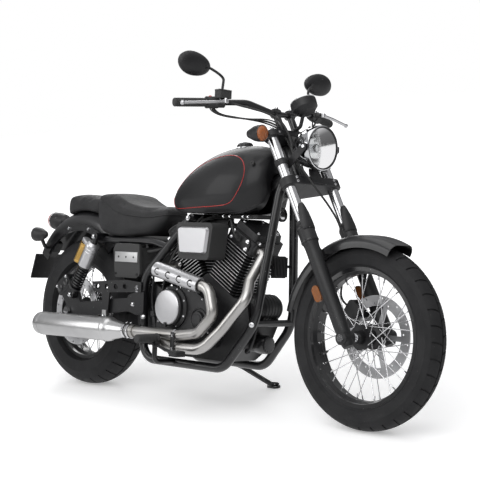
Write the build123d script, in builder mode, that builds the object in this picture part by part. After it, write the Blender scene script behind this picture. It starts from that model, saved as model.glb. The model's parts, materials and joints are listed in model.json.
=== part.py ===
from build123d import *
from math import atan2, cos, degrees, hypot, radians, sin, sqrt
import os

# A V-twin bobber motorcycle, parked on its side stand.
# Every piece is modelled with the motorcycle upright: X forward from the rear axle, Y to its left,
# Z up from the floor. PARKED then leans all pieces together onto the side stand.
# The row's origin is on the floor, at the middle of the parked motorcycle's box.

# Whole motorcycle
WHEELBASE = 1570.0
LEAN = 11.0
RUNNING = 0.1            # radial clearance of a turning fit
SEATED = 0.3             # gap between pieces that are bolted or laid together
CLEAR = 6.0              # gap between pieces that move past each other

# Front wheel
FRONT_TYRE_R = 331.0
FRONT_TYRE_HALF = 50.0
FRONT_CROWN_R = 58.0
FRONT_TYRE_DEPTH = 91.0
FRONT_BEAD_HALF = 31.0

# Rear wheel
REAR_TYRE_R = 323.0
REAR_TYRE_HALF = 75.0
REAR_CROWN_R = 95.0
REAR_TYRE_DEPTH = 120.0
REAR_BEAD_HALF = 41.0

# Both wheels
RIM_WALL = 5.0
FLANGE_HEIGHT = 9.0
FLANGE_WIDTH = 8.0
RIM_WELL = 10.0
AXLE_R = 10.0
SPOKE_D = 3.5
SPOKE_COUNT = 36
SPOKE_SWEEP = 62.0
SPOKE_RIM_Y = 7.0
HUB_BARREL_R = 28.0
SPOKE_SEAT = 7.0
# Hub flange: radius, distance from the middle, thickness
FRONT_HUB_FLANGE = (46.0, 33.0, 5.0)
REAR_HUB_FLANGE = (58.0, 40.0, 6.0)
FRONT_DISC_Y = 53.5
REAR_DISC_Y = -94.5
DISC_R = 149.0
DISC_BAND = 38.0
DISC_T = 5.0
DISC_HOLE_R = 4.0
DISC_HOLE_RING = 12

# Steering
RAKE = 29.0
TRAIL = 130.0
FORK_SPAN_HALF = 116.0
FORK_TUBE_R = 20.5
SLIDER_R = 27.0
GUARD_R = 32.0
SLIDER_TOP = 372.0
GUARD_TOP = 449.0
LOWER_YOKE = 600.0
LOWER_YOKE_T = 36.0
UPPER_YOKE = 806.0
UPPER_YOKE_T = 26.0
STEM_R = 15.0
HEAD_TUBE_R = 29.0
STEERING_STOP = 36.0

# Handlebar, as points of its left half: ahead of the steering axis, left, above the upper yoke
BAR_R = 11.1
BAR_CLAMP_AT = (40.1, 50.0, 94.4)
BAR_BEND_AT = (17.2, 150.0, 146.0)
BAR_END_AT = (-77.4, 424.0, 173.3)
GRIP_R = 16.5
GRIP_LENGTH = 124.0

# Frame
TUBE_R = 17.5
BACKBONE_R = 26.0
RAIL_R = 14.0
RAIL_Y = 112.0
RAIL_RISE = 317.0          # from the rear axle up to the seat rails
CRADLE_Y = 113.0
CRADLE_Z = 162.0
UPRIGHT_Y = 129.0
PIVOT = (446.0, 380.0)
ARM_INNER = 112.0
ARM_OUTER = 140.0

# Rear fender
REAR_FENDER_RISE = 77.0     # from the rear axle up to the fender's centre
REAR_FENDER_R = 360.0
REAR_FENDER_HALF = 92.0
REAR_FENDER_EDGE_R = 272.0
FENDER_ANGLES = (42.0, 150.0)
FENDER_WALL = 3.0
STRUT_T = 9.0

# Engine
CRANK = (815.0, 350.0)
BANK_ANGLE = 30.0
CASE_HALF = 80.0
CASE_FRONT = 1058.0
CASE_REAR = 545.0
BARREL_BASE = 150.0
BARREL_TOP = 330.0
BARREL_R = 58.0
FIN_HALF_LENGTH = 85.0
FIN_HALF_WIDTH = 88.0
FIN_COUNT = 14
FIN_T = 3.0
HEAD_TOP = 385.0
COVER_TOP = 412.0
HEAD_HALF_LENGTH = 78.0
HEAD_HALF_WIDTH = 80.0
LEFT_FACE = 128.0
CLUTCH_FACE = 172.0
CLUTCH_CENTRE = (712.0, 383.0)
CLUTCH_R = 72.0

# Exhaust
PIPE_R = 22.0
PIPE_Y = 200.0
MUFFLER_R = 50.0
MUFFLER_DROP = 61.0         # from the rear axle down to the muffler's end
MUFFLER_LENGTH = 500.0
MUFFLER_TAPER = 92.0
PIPE_JOIN = (800.0, 280.0)

# Belt drive
BELT_Y = (87.0, 103.5)
BELT_T = 6.0
REAR_PULLEY_R = 125.0
FRONT_PULLEY = (590.0, 360.0)
FRONT_PULLEY_R = 45.0

# Side hangers
HANGER_Y = (149.3, 155.3)

# Seats and tank
SEAT_HALF = 150.0
TANK_TUNNEL_HALF = 38.0
TANK_TUNNEL_TOP = 884.0

# Side stand
STAND_PIVOT = (785.0, 152.0, 148.0)
STAND_FOOT_X = 835.0
STAND_FOOT_Y = 300.0
STAND_LEG_R = 10.0
STAND_EYE_R = 17.0
STAND_EYE_T = 14.0
STAND_PIN_R = 6.0
STAND_LUG_AT = 11.5

# Values that follow from the sizes above
STEER_COS = cos(radians(RAKE))
STEER_SIN = sin(radians(RAKE))
AXIS_FOOT_X = WHEELBASE + TRAIL
AXLE_ALONG = TRAIL * STEER_SIN + FRONT_TYRE_R * STEER_COS
FORK_OFFSET = FRONT_TYRE_R * STEER_SIN - TRAIL * STEER_COS
STEER = Plane(
    origin=(AXIS_FOOT_X - AXLE_ALONG * STEER_SIN, 0, AXLE_ALONG * STEER_COS),
    x_dir=(STEER_COS, 0, STEER_SIN),
    z_dir=(-STEER_SIN, 0, STEER_COS),
)
HUB_BORE_R = AXLE_R + RUNNING
FRONT_SEAT_R = FRONT_TYRE_R - FRONT_TYRE_DEPTH
REAR_SEAT_R = REAR_TYRE_R - REAR_TYRE_DEPTH
RAIL_Z = REAR_TYRE_R + RAIL_RISE
REAR_FENDER_CENTRE = (0.0, REAR_TYRE_R + REAR_FENDER_RISE)
REAR_FENDER_TOP = REAR_FENDER_CENTRE[1] + REAR_FENDER_R
YOKE_TOP = UPPER_YOKE + UPPER_YOKE_T
FRONT_AXLE = Plane(origin=(WHEELBASE, 0, FRONT_TYRE_R), x_dir=(1, 0, 0), z_dir=(0, 1, 0))
REAR_AXLE = Plane(origin=(0, 0, REAR_TYRE_R), x_dir=(1, 0, 0), z_dir=(0, 1, 0))
CROWN_SINK = REAR_CROWN_R * (1 - cos(radians(LEAN)))
SOLE_Z = (STAND_FOOT_Y * sin(radians(LEAN)) - CROWN_SINK) / cos(radians(LEAN))


def steered(ahead, left, up):
    """A point given from the steering axis at axle height: ahead, left and up along the axis."""
    return tuple(STEER.from_local_coords(Vector(ahead, left, up)))


def over_yoke(ahead, left, above):
    """A point given from the steering axis at the upper yoke's top: ahead, left and above."""
    return steered(ahead, left, YOKE_TOP + above)


def from_fender(x, up):
    """An (x, z) point given up from the rear fender's centre."""
    return (x, REAR_FENDER_CENTRE[1] + up)


def from_rails(x, up):
    """An (x, z) point given up from the seat rails."""
    return (x, RAIL_Z + up)


def mirrored(point, side):
    """The point on the left (side 1) or on the right (side -1)."""
    return (point[0], side * point[1], point[2])


BAR_CLAMP = over_yoke(*BAR_CLAMP_AT)
BAR_BEND = over_yoke(*BAR_BEND_AT)
BAR_END = over_yoke(*BAR_END_AT)


def block(xs, ys, zs, corner=0.0):
    """A block between two values on each axis, its upright edges rounded."""
    with BuildPart() as solid:
        with BuildSketch(Plane.XY.offset(zs[0])) as base:
            with Locations(((xs[0] + xs[1]) / 2, (ys[0] + ys[1]) / 2)):
                Rectangle(xs[1] - xs[0], ys[1] - ys[0])
            if corner:
                fillet(base.vertices(), corner)
        extrude(amount=zs[1] - zs[0])
    return solid.part


def side_plate(outline, low_y, high_y, corner=0.0):
    """A plate with an (x, z) outline, between two distances to the left."""
    with BuildPart() as solid:
        with BuildSketch(Plane.XZ.offset(-high_y)) as face:
            with BuildLine():
                Polyline(*outline, close=True)
            make_face()
            if corner:
                fillet(face.vertices(), corner)
        extrude(amount=high_y - low_y)
    return solid.part


def rod(start, end, radius, bore=0.0):
    """A round bar between two points."""
    span = Vector(*end) - Vector(*start)
    with BuildPart() as bar:
        with BuildSketch(Plane(origin=start, z_dir=span)):
            Circle(radius)
            if bore:
                Circle(bore, mode=Mode.SUBTRACT)
        extrude(amount=span.length)
    return bar.part


def bent_tube(points, bends, radius):
    """A round tube on straight runs joined by tangent arcs, one bend radius for each corner."""
    with BuildPart() as tube:
        with BuildLine() as path:
            FilletPolyline(*points, radius=bends)
        with BuildSketch(Plane(origin=path.line @ 0, z_dir=path.line % 0)):
            Circle(radius)
        sweep(path=path.wire())
    return tube.part


def turned(outline, place):
    """An outline of (radius, height) points turned about the axis of a plane."""
    with BuildPart() as solid:
        with BuildSketch(Plane.XZ):
            with BuildLine():
                Polyline(*outline, close=True)
            make_face()
        revolve(axis=Axis.Z)
    return place.location * solid.part


def both_sides(piece):
    """A left piece with its mirror image on the right."""
    with BuildPart() as pair:
        add(piece)
        mirror(about=Plane.XZ)
    return pair.part


def along_bar(distance, ahead=0.0, above=0.0, side=1):
    """A point on the handlebar's outer run, measured in from its end."""
    bend = Vector(*mirrored(BAR_BEND, side))
    end = Vector(*mirrored(BAR_END, side))
    run = (bend - end).normalized()
    forward = run.cross(Vector(0, 0, side)).normalized()
    forward = forward if forward.X > 0 else forward * -1
    return tuple(end + run * distance + forward * ahead + Vector(0, 0, above))


# Wheels
def tyre(axle, outer_r, half, crown_r, seat_r, bead_half, shoulder_share):
    """A closed tyre: bead, bulging sidewalls and a round crown."""
    shoulder = half * shoulder_share
    shoulder_r = outer_r - crown_r + sqrt(crown_r**2 - shoulder**2)
    flange_r = seat_r + FLANGE_HEIGHT + SEATED
    foot = bead_half + FLANGE_WIDTH
    middle_r = (flange_r + shoulder_r) / 2
    with BuildPart() as ring:
        with BuildSketch(Plane(origin=axle.origin, x_dir=(0, 1, 0), z_dir=(1, 0, 0))):
            with BuildLine():
                Polyline(
                    (-foot, flange_r),
                    (-bead_half, flange_r),
                    (-bead_half, seat_r),
                    (bead_half, seat_r),
                    (bead_half, flange_r),
                    (foot, flange_r),
                )
                ThreePointArc((foot, flange_r), (half, middle_r), (shoulder, shoulder_r))
                ThreePointArc((shoulder, shoulder_r), (0, outer_r), (-shoulder, shoulder_r))
                ThreePointArc((-shoulder, shoulder_r), (-half, middle_r), (-foot, flange_r))
            make_face()
        revolve(axis=Axis(axle.origin, (0, 1, 0)))
    return ring.part


def rim(axle, seat_r, bead_half):
    """A rim with two flanges and a well that the spokes pull on."""
    outer = seat_r - SEATED
    inner = outer - RIM_WALL
    lip = outer + FLANGE_HEIGHT
    inside = bead_half + SEATED
    outside = inside + FLANGE_WIDTH
    well = inner - RIM_WELL
    half_section = [
        (well, inside * 0.4),
        (inner, inside * 0.8),
        (inner, outside),
        (lip, outside),
        (lip, inside),
        (outer, inside),
    ]
    other_half = [(radius, -across) for radius, across in reversed(half_section)]
    return turned(half_section + other_half, axle)


def spokes(axle, rim_r, flange_r, flange_y, flange_t, outer_room):
    """Laced wire spokes, half leaning each way; the outer ones clear the flange's edge by outer_room."""
    per_set = SPOKE_COUNT // 4
    step = 360 / per_set
    # Columns: side of the hub, inner or outer face of the flange, lean, start angle
    sets = [
        (1, 1, 1, 0.0),
        (1, -1, -1, step / 2),
        (-1, 1, 1, step / 4),
        (-1, -1, -1, step * 3 / 4),
    ]
    wires = []
    for side, face, lean, start in sets:
        hub_y = side * (flange_y + face * (flange_t + SPOKE_D) / 2 + (outer_room if face > 0 else -SEATED))
        for number in range(per_set):
            rim_angle = radians(start + number * step)
            hub_angle = rim_angle + lean * radians(SPOKE_SWEEP)
            wires.append(
                rod(
                    (flange_r * cos(hub_angle), flange_r * sin(hub_angle), hub_y),
                    (rim_r * cos(rim_angle), rim_r * sin(rim_angle), side * SPOKE_RIM_Y),
                    SPOKE_D / 2,
                )
            )
    return axle.location * Compound(children=wires)


def brake_disc(axle, inner_y, bore):
    """A drilled brake disc on a five-armed carrier, its left face at inner_y plus its thickness."""
    with BuildPart() as disc:
        with BuildSketch(axle.offset(inner_y)):
            Circle(DISC_R)
            Circle(DISC_R - DISC_BAND, mode=Mode.SUBTRACT)
            with PolarLocations((DISC_R - DISC_BAND / 2) / 2 + bore / 2, 5):
                Rectangle(DISC_R - DISC_BAND / 2 - bore, DISC_BAND / 2)
            Circle(bore + DISC_BAND / 2)
            Circle(bore, mode=Mode.SUBTRACT)
            for row in (-1, 1):
                with PolarLocations(
                    DISC_R - DISC_BAND / 2 + row * DISC_BAND / 4,
                    DISC_HOLE_RING,
                    start_angle=row * 90 / DISC_HOLE_RING,
                ):
                    Circle(DISC_HOLE_R, mode=Mode.SUBTRACT)
        extrude(amount=DISC_T)
    return disc.part


def hub(axle, flange, left_end, right_end, left_seat_r, right_seat_r):
    """A wheel hub with two spoke flanges and a seat at each end."""
    flange_r, flange_y, flange_t = flange
    outline = [
        (HUB_BORE_R, right_end),
        (right_seat_r, right_end),
        (right_seat_r, -flange_y - flange_t / 2),
        (flange_r, -flange_y - flange_t / 2),
        (flange_r, -flange_y + flange_t / 2),
        (flange_r - SPOKE_SEAT, -flange_y + flange_t / 2),
        (HUB_BARREL_R, -flange_y + 2 * flange_t),
        (HUB_BARREL_R, flange_y - 2 * flange_t),
        (flange_r - SPOKE_SEAT, flange_y - flange_t / 2),
        (flange_r, flange_y - flange_t / 2),
        (flange_r, flange_y + flange_t / 2),
        (left_seat_r, flange_y + flange_t / 2),
        (left_seat_r, left_end),
        (HUB_BORE_R, left_end),
    ]
    return turned(outline, axle)


with BuildPart() as front_tyre:
    add(tyre(FRONT_AXLE, FRONT_TYRE_R, FRONT_TYRE_HALF, FRONT_CROWN_R, FRONT_SEAT_R, FRONT_BEAD_HALF, 0.8))

with BuildPart() as front_rim:
    add(rim(FRONT_AXLE, FRONT_SEAT_R, FRONT_BEAD_HALF))

FRONT_WELL_R = FRONT_SEAT_R - SEATED - RIM_WALL - RIM_WELL
with BuildPart() as front_hub:
    add(hub(FRONT_AXLE, FRONT_HUB_FLANGE, FRONT_DISC_Y, -62.0, 34.0, 24.0))

front_spokes = BuildPart()
front_spokes.part = spokes(FRONT_AXLE, FRONT_WELL_R - 1.0, FRONT_HUB_FLANGE[0] - 2, *FRONT_HUB_FLANGE[1:], 1.2)

with BuildPart() as front_brake_disc:
    add(brake_disc(FRONT_AXLE, FRONT_DISC_Y, 22.0))

with BuildPart() as rear_tyre:
    add(tyre(REAR_AXLE, REAR_TYRE_R, REAR_TYRE_HALF, REAR_CROWN_R, REAR_SEAT_R, REAR_BEAD_HALF, 0.8))

with BuildPart() as rear_rim:
    add(rim(REAR_AXLE, REAR_SEAT_R, REAR_BEAD_HALF))

REAR_WELL_R = REAR_SEAT_R - SEATED - RIM_WALL - RIM_WELL
with BuildPart() as rear_hub:
    add(hub(REAR_AXLE, REAR_HUB_FLANGE, BELT_Y[0] - 1, REAR_DISC_Y + DISC_T, 44.0, 40.0))

rear_spokes = BuildPart()
rear_spokes.part = spokes(REAR_AXLE, REAR_WELL_R - 1.0, REAR_HUB_FLANGE[0] - 2, *REAR_HUB_FLANGE[1:], 2.5)

with BuildPart() as rear_brake_disc:
    add(brake_disc(REAR_AXLE, REAR_DISC_Y, 24.0))

# The rear pulley: a ring with one flange, on five arms
PULLEY_Y = (BELT_Y[0] - 1, BELT_Y[1] + 2.5)
with BuildPart() as drive_pulley:
    with BuildSketch(REAR_AXLE.offset(PULLEY_Y[0])):
        Circle(REAR_PULLEY_R)
        Circle(REAR_PULLEY_R - 14, mode=Mode.SUBTRACT)
        with PolarLocations(REAR_PULLEY_R / 2, 5):
            Rectangle(REAR_PULLEY_R - 14, 24)
        Circle(48)
        Circle(24, mode=Mode.SUBTRACT)
    extrude(amount=PULLEY_Y[1] - PULLEY_Y[0])
    with BuildSketch(REAR_AXLE.offset(BELT_Y[1] + 0.5)):
        Circle(REAR_PULLEY_R + 5)
        Circle(REAR_PULLEY_R - 14, mode=Mode.SUBTRACT)
    extrude(amount=PULLEY_Y[1] - BELT_Y[1] - 0.5)

# Front axle, fork and yokes
AXLE_NUT_T = 5.0
AXLE_HALF = FORK_SPAN_HALF + SLIDER_R - 1.6 + AXLE_NUT_T
front_spacers = [
    rod((WHEELBASE, 88.7, FRONT_TYRE_R), (WHEELBASE, FRONT_DISC_Y + DISC_T + 1.5, FRONT_TYRE_R), 18),
    rod((WHEELBASE, -88.7, FRONT_TYRE_R), (WHEELBASE, -63.5, FRONT_TYRE_R), 18),
]
with BuildPart() as front_axle:
    with BuildSketch(FRONT_AXLE.offset(-AXLE_HALF)):
        Circle(AXLE_R)
    extrude(amount=2 * AXLE_HALF)
    add(front_spacers)
    for start in (-AXLE_HALF, AXLE_HALF - AXLE_NUT_T):
        with BuildSketch(FRONT_AXLE.offset(start)):
            RegularPolygon(15, 6)
        extrude(amount=AXLE_NUT_T)

with BuildPart() as fork_tubes:
    for side in (-1, 1):
        with BuildSketch(STEER.offset(GUARD_TOP)):
            with Locations((FORK_OFFSET, side * FORK_SPAN_HALF)):
                Circle(FORK_TUBE_R)
        extrude(amount=YOKE_TOP + 6 - GUARD_TOP)

FENDER_HALF = 64.0
FRONT_FENDER_R = FRONT_TYRE_R + 31.0
FENDER_LUG = (FRONT_FENDER_R - 50.0, FRONT_FENDER_R - 18.0)
slider_outline = [
    (0.0, -34.0),
    (18.0, -34.0),
    (22.0, -24.0),
    (SLIDER_R, 40.0),
    (SLIDER_R, SLIDER_TOP - 20),
    (SLIDER_R + 2, SLIDER_TOP),
    (GUARD_R, SLIDER_TOP + 2),
    (GUARD_R, GUARD_TOP - 12),
    (GUARD_R - 6, GUARD_TOP),
    (0.0, GUARD_TOP),
]
slider_bodies = [
    turned(slider_outline, Plane(origin=steered(FORK_OFFSET, side * FORK_SPAN_HALF, 0), z_dir=STEER.z_dir))
    for side in (-1, 1)
]
axle_boss = [
    rod(
        (WHEELBASE, side * 89, FRONT_TYRE_R),
        (WHEELBASE, side * (AXLE_HALF - AXLE_NUT_T - SEATED), FRONT_TYRE_R),
        24,
    )
    for side in (-1, 1)
]
fender_lugs = [
    STEER.location
    * block((FORK_OFFSET - 14, FORK_OFFSET + 14), sorted((side * 87, side * 105)), FENDER_LUG)
    for side in (-1, 1)
]
with BuildPart() as fork_sliders:
    add(slider_bodies)
    add(axle_boss)
    add(fender_lugs)
    with BuildSketch(FRONT_AXLE.offset(-AXLE_HALF)):
        Circle(AXLE_R + RUNNING)
    extrude(amount=2 * AXLE_HALF, mode=Mode.SUBTRACT)

YOKE_BOSS_R = 34.0
CLAMP_R = 33.0


def yoke(low, thickness):
    """A triple clamp between the steering stem and the two fork tubes."""
    with BuildPart() as clamp:
        with BuildSketch(STEER.offset(low)):
            Circle(YOKE_BOSS_R)
            with Locations((FORK_OFFSET, FORK_SPAN_HALF), (FORK_OFFSET, -FORK_SPAN_HALF)):
                Circle(CLAMP_R)
            make_hull()
            with Locations((FORK_OFFSET, FORK_SPAN_HALF), (FORK_OFFSET, -FORK_SPAN_HALF)):
                Circle(FORK_TUBE_R + RUNNING, mode=Mode.SUBTRACT)
        extrude(amount=thickness)
        edges = clamp.edges().filter_by(lambda edge: abs(edge.tangent_at(0.5).dot(STEER.z_dir)) < 0.01)
        chamfer(edges.group_by(SortBy.LENGTH)[-1], 3)
    return clamp.part


yoke_pair = [yoke(LOWER_YOKE, LOWER_YOKE_T), yoke(UPPER_YOKE, UPPER_YOKE_T)]
stem = rod(steered(0, 0, LOWER_YOKE + 4), over_yoke(0, 0, 12), STEM_R)
with BuildPart() as fork_yokes:
    add(yoke_pair)
    add(stem)

# Handlebar with its two risers and clamp caps
RISER_Y = 38.0
RISER_CLAMP_HALF = 13.0
bar_points = [mirrored(BAR_END, 1), mirrored(BAR_BEND, 1), mirrored(BAR_CLAMP, 1)]
bar_points += [mirrored(BAR_CLAMP, -1), mirrored(BAR_BEND, -1), mirrored(BAR_END, -1)]
bar = bent_tube(bar_points, [90, 60, 60, 90], BAR_R)
risers = [
    rod(
        over_yoke(BAR_CLAMP_AT[0], side * RISER_Y, SEATED),
        over_yoke(BAR_CLAMP_AT[0], side * RISER_Y, BAR_CLAMP_AT[2]),
        14,
    )
    for side in (-1, 1)
]
riser_clamps = [
    rod(
        (BAR_CLAMP[0], side * RISER_Y - RISER_CLAMP_HALF, BAR_CLAMP[2]),
        (BAR_CLAMP[0], side * RISER_Y + RISER_CLAMP_HALF, BAR_CLAMP[2]),
        19,
    )
    for side in (-1, 1)
]
with BuildPart() as handlebar:
    add(bar)
    add(risers)
    add(riser_clamps)

grips = [
    rod(along_bar(0, side=side), along_bar(GRIP_LENGTH, side=side), GRIP_R, BAR_R + RUNNING)
    for side in (-1, 1)
]
caps = [rod(along_bar(-5, side=side), along_bar(0, side=side), GRIP_R) for side in (-1, 1)]
with BuildPart() as handlebar_grips:
    add(grips)
    add(caps)

SWITCH_IN = GRIP_LENGTH + 1.0
SWITCH_LENGTH = 46.0
PERCH_IN = SWITCH_IN + SWITCH_LENGTH - 1
PERCH_R = 20.0
PERCH_LENGTH = 26.0
PERCH_AHEAD = 38.0


def hand_control(side):
    """Switch housing and lever perch, with a fluid reservoir on the right."""
    switch = rod(
        along_bar(SWITCH_IN, side=side),
        along_bar(SWITCH_IN + SWITCH_LENGTH, side=side),
        22,
        BAR_R + RUNNING,
    )
    perch = rod(
        along_bar(PERCH_IN, side=side),
        along_bar(PERCH_IN + PERCH_LENGTH, side=side),
        PERCH_R,
        BAR_R + RUNNING,
    )
    middle = PERCH_IN + PERCH_LENGTH / 2
    arm_from = Vector(*along_bar(middle, ahead=BAR_R + 4, side=side))
    arm_to = Vector(*along_bar(middle, ahead=PERCH_AHEAD, side=side))
    arm = rod(tuple(arm_from), tuple(arm_to), 11)
    pieces = [switch, perch, arm]
    if side < 0:
        cup = Vector(*along_bar(middle - 4, ahead=PERCH_AHEAD - 6, above=12, side=side))
        pieces.append(block((cup.X - 17, cup.X + 17), (cup.Y - 30, cup.Y + 30), (cup.Z, cup.Z + 26), 6))
    return pieces


controls = [hand_control(side) for side in (-1, 1)]
with BuildPart() as hand_controls:
    add(controls[0])
    add(controls[1])

LEVER_GAP = 78.0


def lever(side):
    """A hand lever from its pivot on the perch to its ball end."""
    middle = PERCH_IN + PERCH_LENGTH / 2
    root = along_bar(middle, ahead=PERCH_AHEAD + 11 + SEATED, side=side)
    knee = along_bar(middle - 50, ahead=LEVER_GAP - 12, above=-4, side=side)
    tip = along_bar(2, ahead=LEVER_GAP - 4, above=-8, side=side)
    blade = bent_tube([root, knee, tip], [60], 6)
    with BuildPart() as whole:
        add(blade)
        with Locations(tip):
            Sphere(9)
        with Locations(root):
            Cylinder(11, 12)
    return whole.part


lever_pair = [lever(side) for side in (-1, 1)]
with BuildPart() as hand_levers:
    add(lever_pair)

MIRROR_CENTRE = over_yoke(1.9, 339.0, 301.9)
MIRROR_ROOT = over_yoke(4.0, 302.0, 299.6)
MIRROR_BEND = over_yoke(20.0, 230.0, 243.9)


def mirror_piece(side):
    """A mirror: a teardrop head on a bent stem that stands on the perch."""
    foot = along_bar(PERCH_IN + PERCH_LENGTH / 2 + 4, above=PERCH_R + 1.7, side=side)
    stem_tube = bent_tube(
        [foot, mirrored(MIRROR_BEND, side), mirrored(MIRROR_ROOT, side)],
        [20],
        5,
    )
    centre = mirrored(MIRROR_CENTRE, side)
    with BuildPart() as head:
        # Columns: distance ahead, half width, half height
        for ahead, half_width, half_height in ((-8, 74, 42), (4, 78, 46), (22, 46, 26)):
            with BuildSketch(Plane(origin=(centre[0] + ahead, centre[1], centre[2]), z_dir=(1, 0, 0))):
                Ellipse(half_width, half_height)
        loft(ruled=True)
    with BuildPart() as whole:
        add(head.part)
        add(stem_tube)
    return whole.part


mirror_pair = [mirror_piece(side) for side in (-1, 1)]
with BuildPart() as mirrors:
    add(mirror_pair)

# Headlight, lens and its bracket from the lower yoke
LAMP_CENTRE = steered(FORK_OFFSET + 110.8, 0, LOWER_YOKE + 111.5)
LAMP_R = 84.0
lamp_plane = Plane(origin=LAMP_CENTRE, x_dir=(0, 1, 0), z_dir=(1, 0, 0))
lamp_outline = [
    (0.0, -118.0),
    (34.0, -112.0),
    (62.0, -86.0),
    (78.0, -46.0),
    (LAMP_R - 2, -14.0),
    (LAMP_R, -12.0),
    (LAMP_R, 4.0),
    (LAMP_R - 7, 6.0),
    (LAMP_R - 7, -8.0),
    (0.0, -8.0),
]
lamp_bowl = turned(lamp_outline, lamp_plane)
yoke_front = FORK_OFFSET + CLAMP_R + SEATED
with BuildPart() as lamp_leg:
    with BuildSketch(STEER.offset(LOWER_YOKE + 4)):
        with Locations((yoke_front + 9, 0)):
            Rectangle(18, 60)
    extrude(amount=58)
with BuildPart() as headlight:
    add(lamp_bowl)
    add(lamp_leg.part)

lens_outline = [(0.0, -7.5), (LAMP_R - 7.3, -7.5), (LAMP_R - 7.3, 4.0), (50.0, 12.0), (0.0, 16.0)]
with BuildPart() as headlight_lens:
    add(turned(lens_outline, lamp_plane))

# Speedometer on an arm from the upper yoke
METER_AHEAD = 150.0
METER_UP = YOKE_TOP + 38.0
METER_R = 50.0
meter_plane = Plane(origin=steered(METER_AHEAD, 0, METER_UP), z_dir=STEER.z_dir)
meter_outline = [(0.0, 0.0), (34.0, 0.0), (METER_R - 2, 14.0), (METER_R, 38.0), (METER_R, 44.0), (0.0, 44.0)]
meter_can = turned(meter_outline, meter_plane)
METER_ARM_R = 7.0
meter_arm = bent_tube(
    [
        over_yoke(66, 0, METER_ARM_R + SEATED),
        over_yoke(100, 0, METER_ARM_R + SEATED),
        steered(METER_AHEAD - 10, 0, METER_UP + 12),
    ],
    [14],
    METER_ARM_R,
)
with BuildPart() as speedometer:
    add(meter_can)
    add(meter_arm)


def turn_signal(centre, stalk_from, radius=31.0, length=78.0, facing=1):
    """A bullet turn signal on its stalk; the lens side faces forward or back."""
    outline = [(0.0, 0.0), (radius, 0.0), (radius, 16.0), (radius * 0.9, 34.0), (radius * 0.5, length - 12)]
    outline += [(0.0, length)]
    bullet = turned(outline, Plane(origin=centre, x_dir=(0, 1, 0), z_dir=(-facing, 0, 0)))
    knee = (stalk_from[0], (stalk_from[1] + centre[1]) / 2, stalk_from[2])
    stalk = bent_tube([stalk_from, knee, (centre[0] - facing * 24, centre[1], centre[2])], [10], 8)
    with BuildPart() as whole:
        add(bullet)
        add(stalk)
    return whole.part


SIGNAL_Y = 190.0
front_signal_pair = []
for side in (-1, 1):
    lamp_at = steered(FORK_OFFSET + 22, side * SIGNAL_Y, UPPER_YOKE + UPPER_YOKE_T / 2 - 10)
    clamp_side = side * (FORK_SPAN_HALF + CLAMP_R + SEATED)
    root = steered(FORK_OFFSET, clamp_side, UPPER_YOKE + UPPER_YOKE_T / 2)
    front_signal_pair.append(turn_signal(lamp_at, root))
with BuildPart() as front_turn_signals:
    add(front_signal_pair)

# Fork reflectors, on the outside behind each slider
reflector_pair = []
for side in (-1, 1):
    middle = Vector(*steered(FORK_OFFSET - SLIDER_R - 24, side * (FORK_SPAN_HALF - 4), 195))
    face = Plane(origin=tuple(middle), x_dir=STEER.z_dir, z_dir=(0, side, 0))
    with BuildPart() as oval:
        with BuildSketch(face):
            SlotOverall(62, 34)
        extrude(amount=9)
    arm = block(
        (FORK_OFFSET - SLIDER_R - 16, FORK_OFFSET - SLIDER_R - SEATED),
        sorted((side * (FORK_SPAN_HALF - 4), side * (FORK_SPAN_HALF + 1))),
        (188, 202),
    )
    with BuildPart() as reflector:
        add(oval.part)
        add(STEER.location * arm)
    reflector_pair.append(reflector.part)
with BuildPart() as fork_reflectors:
    add(reflector_pair)


def fender_shell(centre, half, outer_r, edge_r, corner, start, end):
    """A fender: a rounded channel turned about a wheel's axis between two angles."""
    spin = radians(start)
    place = Plane(origin=centre, x_dir=(0, 1, 0), z_dir=(sin(spin), 0, -cos(spin)))
    with BuildPart() as shell:
        with BuildSketch(place):
            with BuildLine():
                outside = FilletPolyline(
                    (-half, edge_r), (-half, outer_r), (half, outer_r), (half, edge_r), radius=corner
                )
                inside = FilletPolyline(
                    (half - FENDER_WALL, edge_r),
                    (half - FENDER_WALL, outer_r - FENDER_WALL),
                    (FENDER_WALL - half, outer_r - FENDER_WALL),
                    (FENDER_WALL - half, edge_r),
                    radius=corner - FENDER_WALL,
                )
                Line(outside @ 1, inside @ 0)
                Line(inside @ 1, outside @ 0)
            make_face()
        revolve(axis=Axis(centre, (0, -1, 0)), revolution_arc=end - start)
    return shell.part


# Front fender with a stay to each fork leg
front_shell = fender_shell(
    (WHEELBASE, 0, FRONT_TYRE_R), FENDER_HALF, FRONT_FENDER_R, FRONT_FENDER_R - 46.0, 34.0, 66.0, 168.0
)
stays = [
    STEER.location
    * block(
        (FORK_OFFSET - 22, FORK_OFFSET + 22),
        sorted((side * (FENDER_HALF - 2), side * (87 - SEATED))),
        (FENDER_LUG[0] + 6, FENDER_LUG[1] - 6),
    )
    for side in (-1, 1)
]
with BuildPart() as front_fender:
    add(front_shell)
    add(stays)


def caliper(axle, disc_y, angle):
    """A brake caliper: two cheeks over the edge of a disc, joined outside it."""
    low = disc_y - CLEAR
    high = disc_y + DISC_T + CLEAR
    with BuildPart() as body:
        with BuildSketch(axle.offset(low - CALIPER_CHEEK)) as outline:
            with Locations((CALIPER_OUTER_R - 31, 0)):
                Rectangle(62, 96)
            fillet(outline.vertices(), 14)
        extrude(amount=high - low + 2 * CALIPER_CHEEK)
        with BuildSketch(axle.offset(low)):
            Circle(DISC_R + CLEAR)
        extrude(amount=high - low, mode=Mode.SUBTRACT)
    return body.part.rotate(Axis(axle.origin, (0, 1, 0)), -angle)


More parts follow.
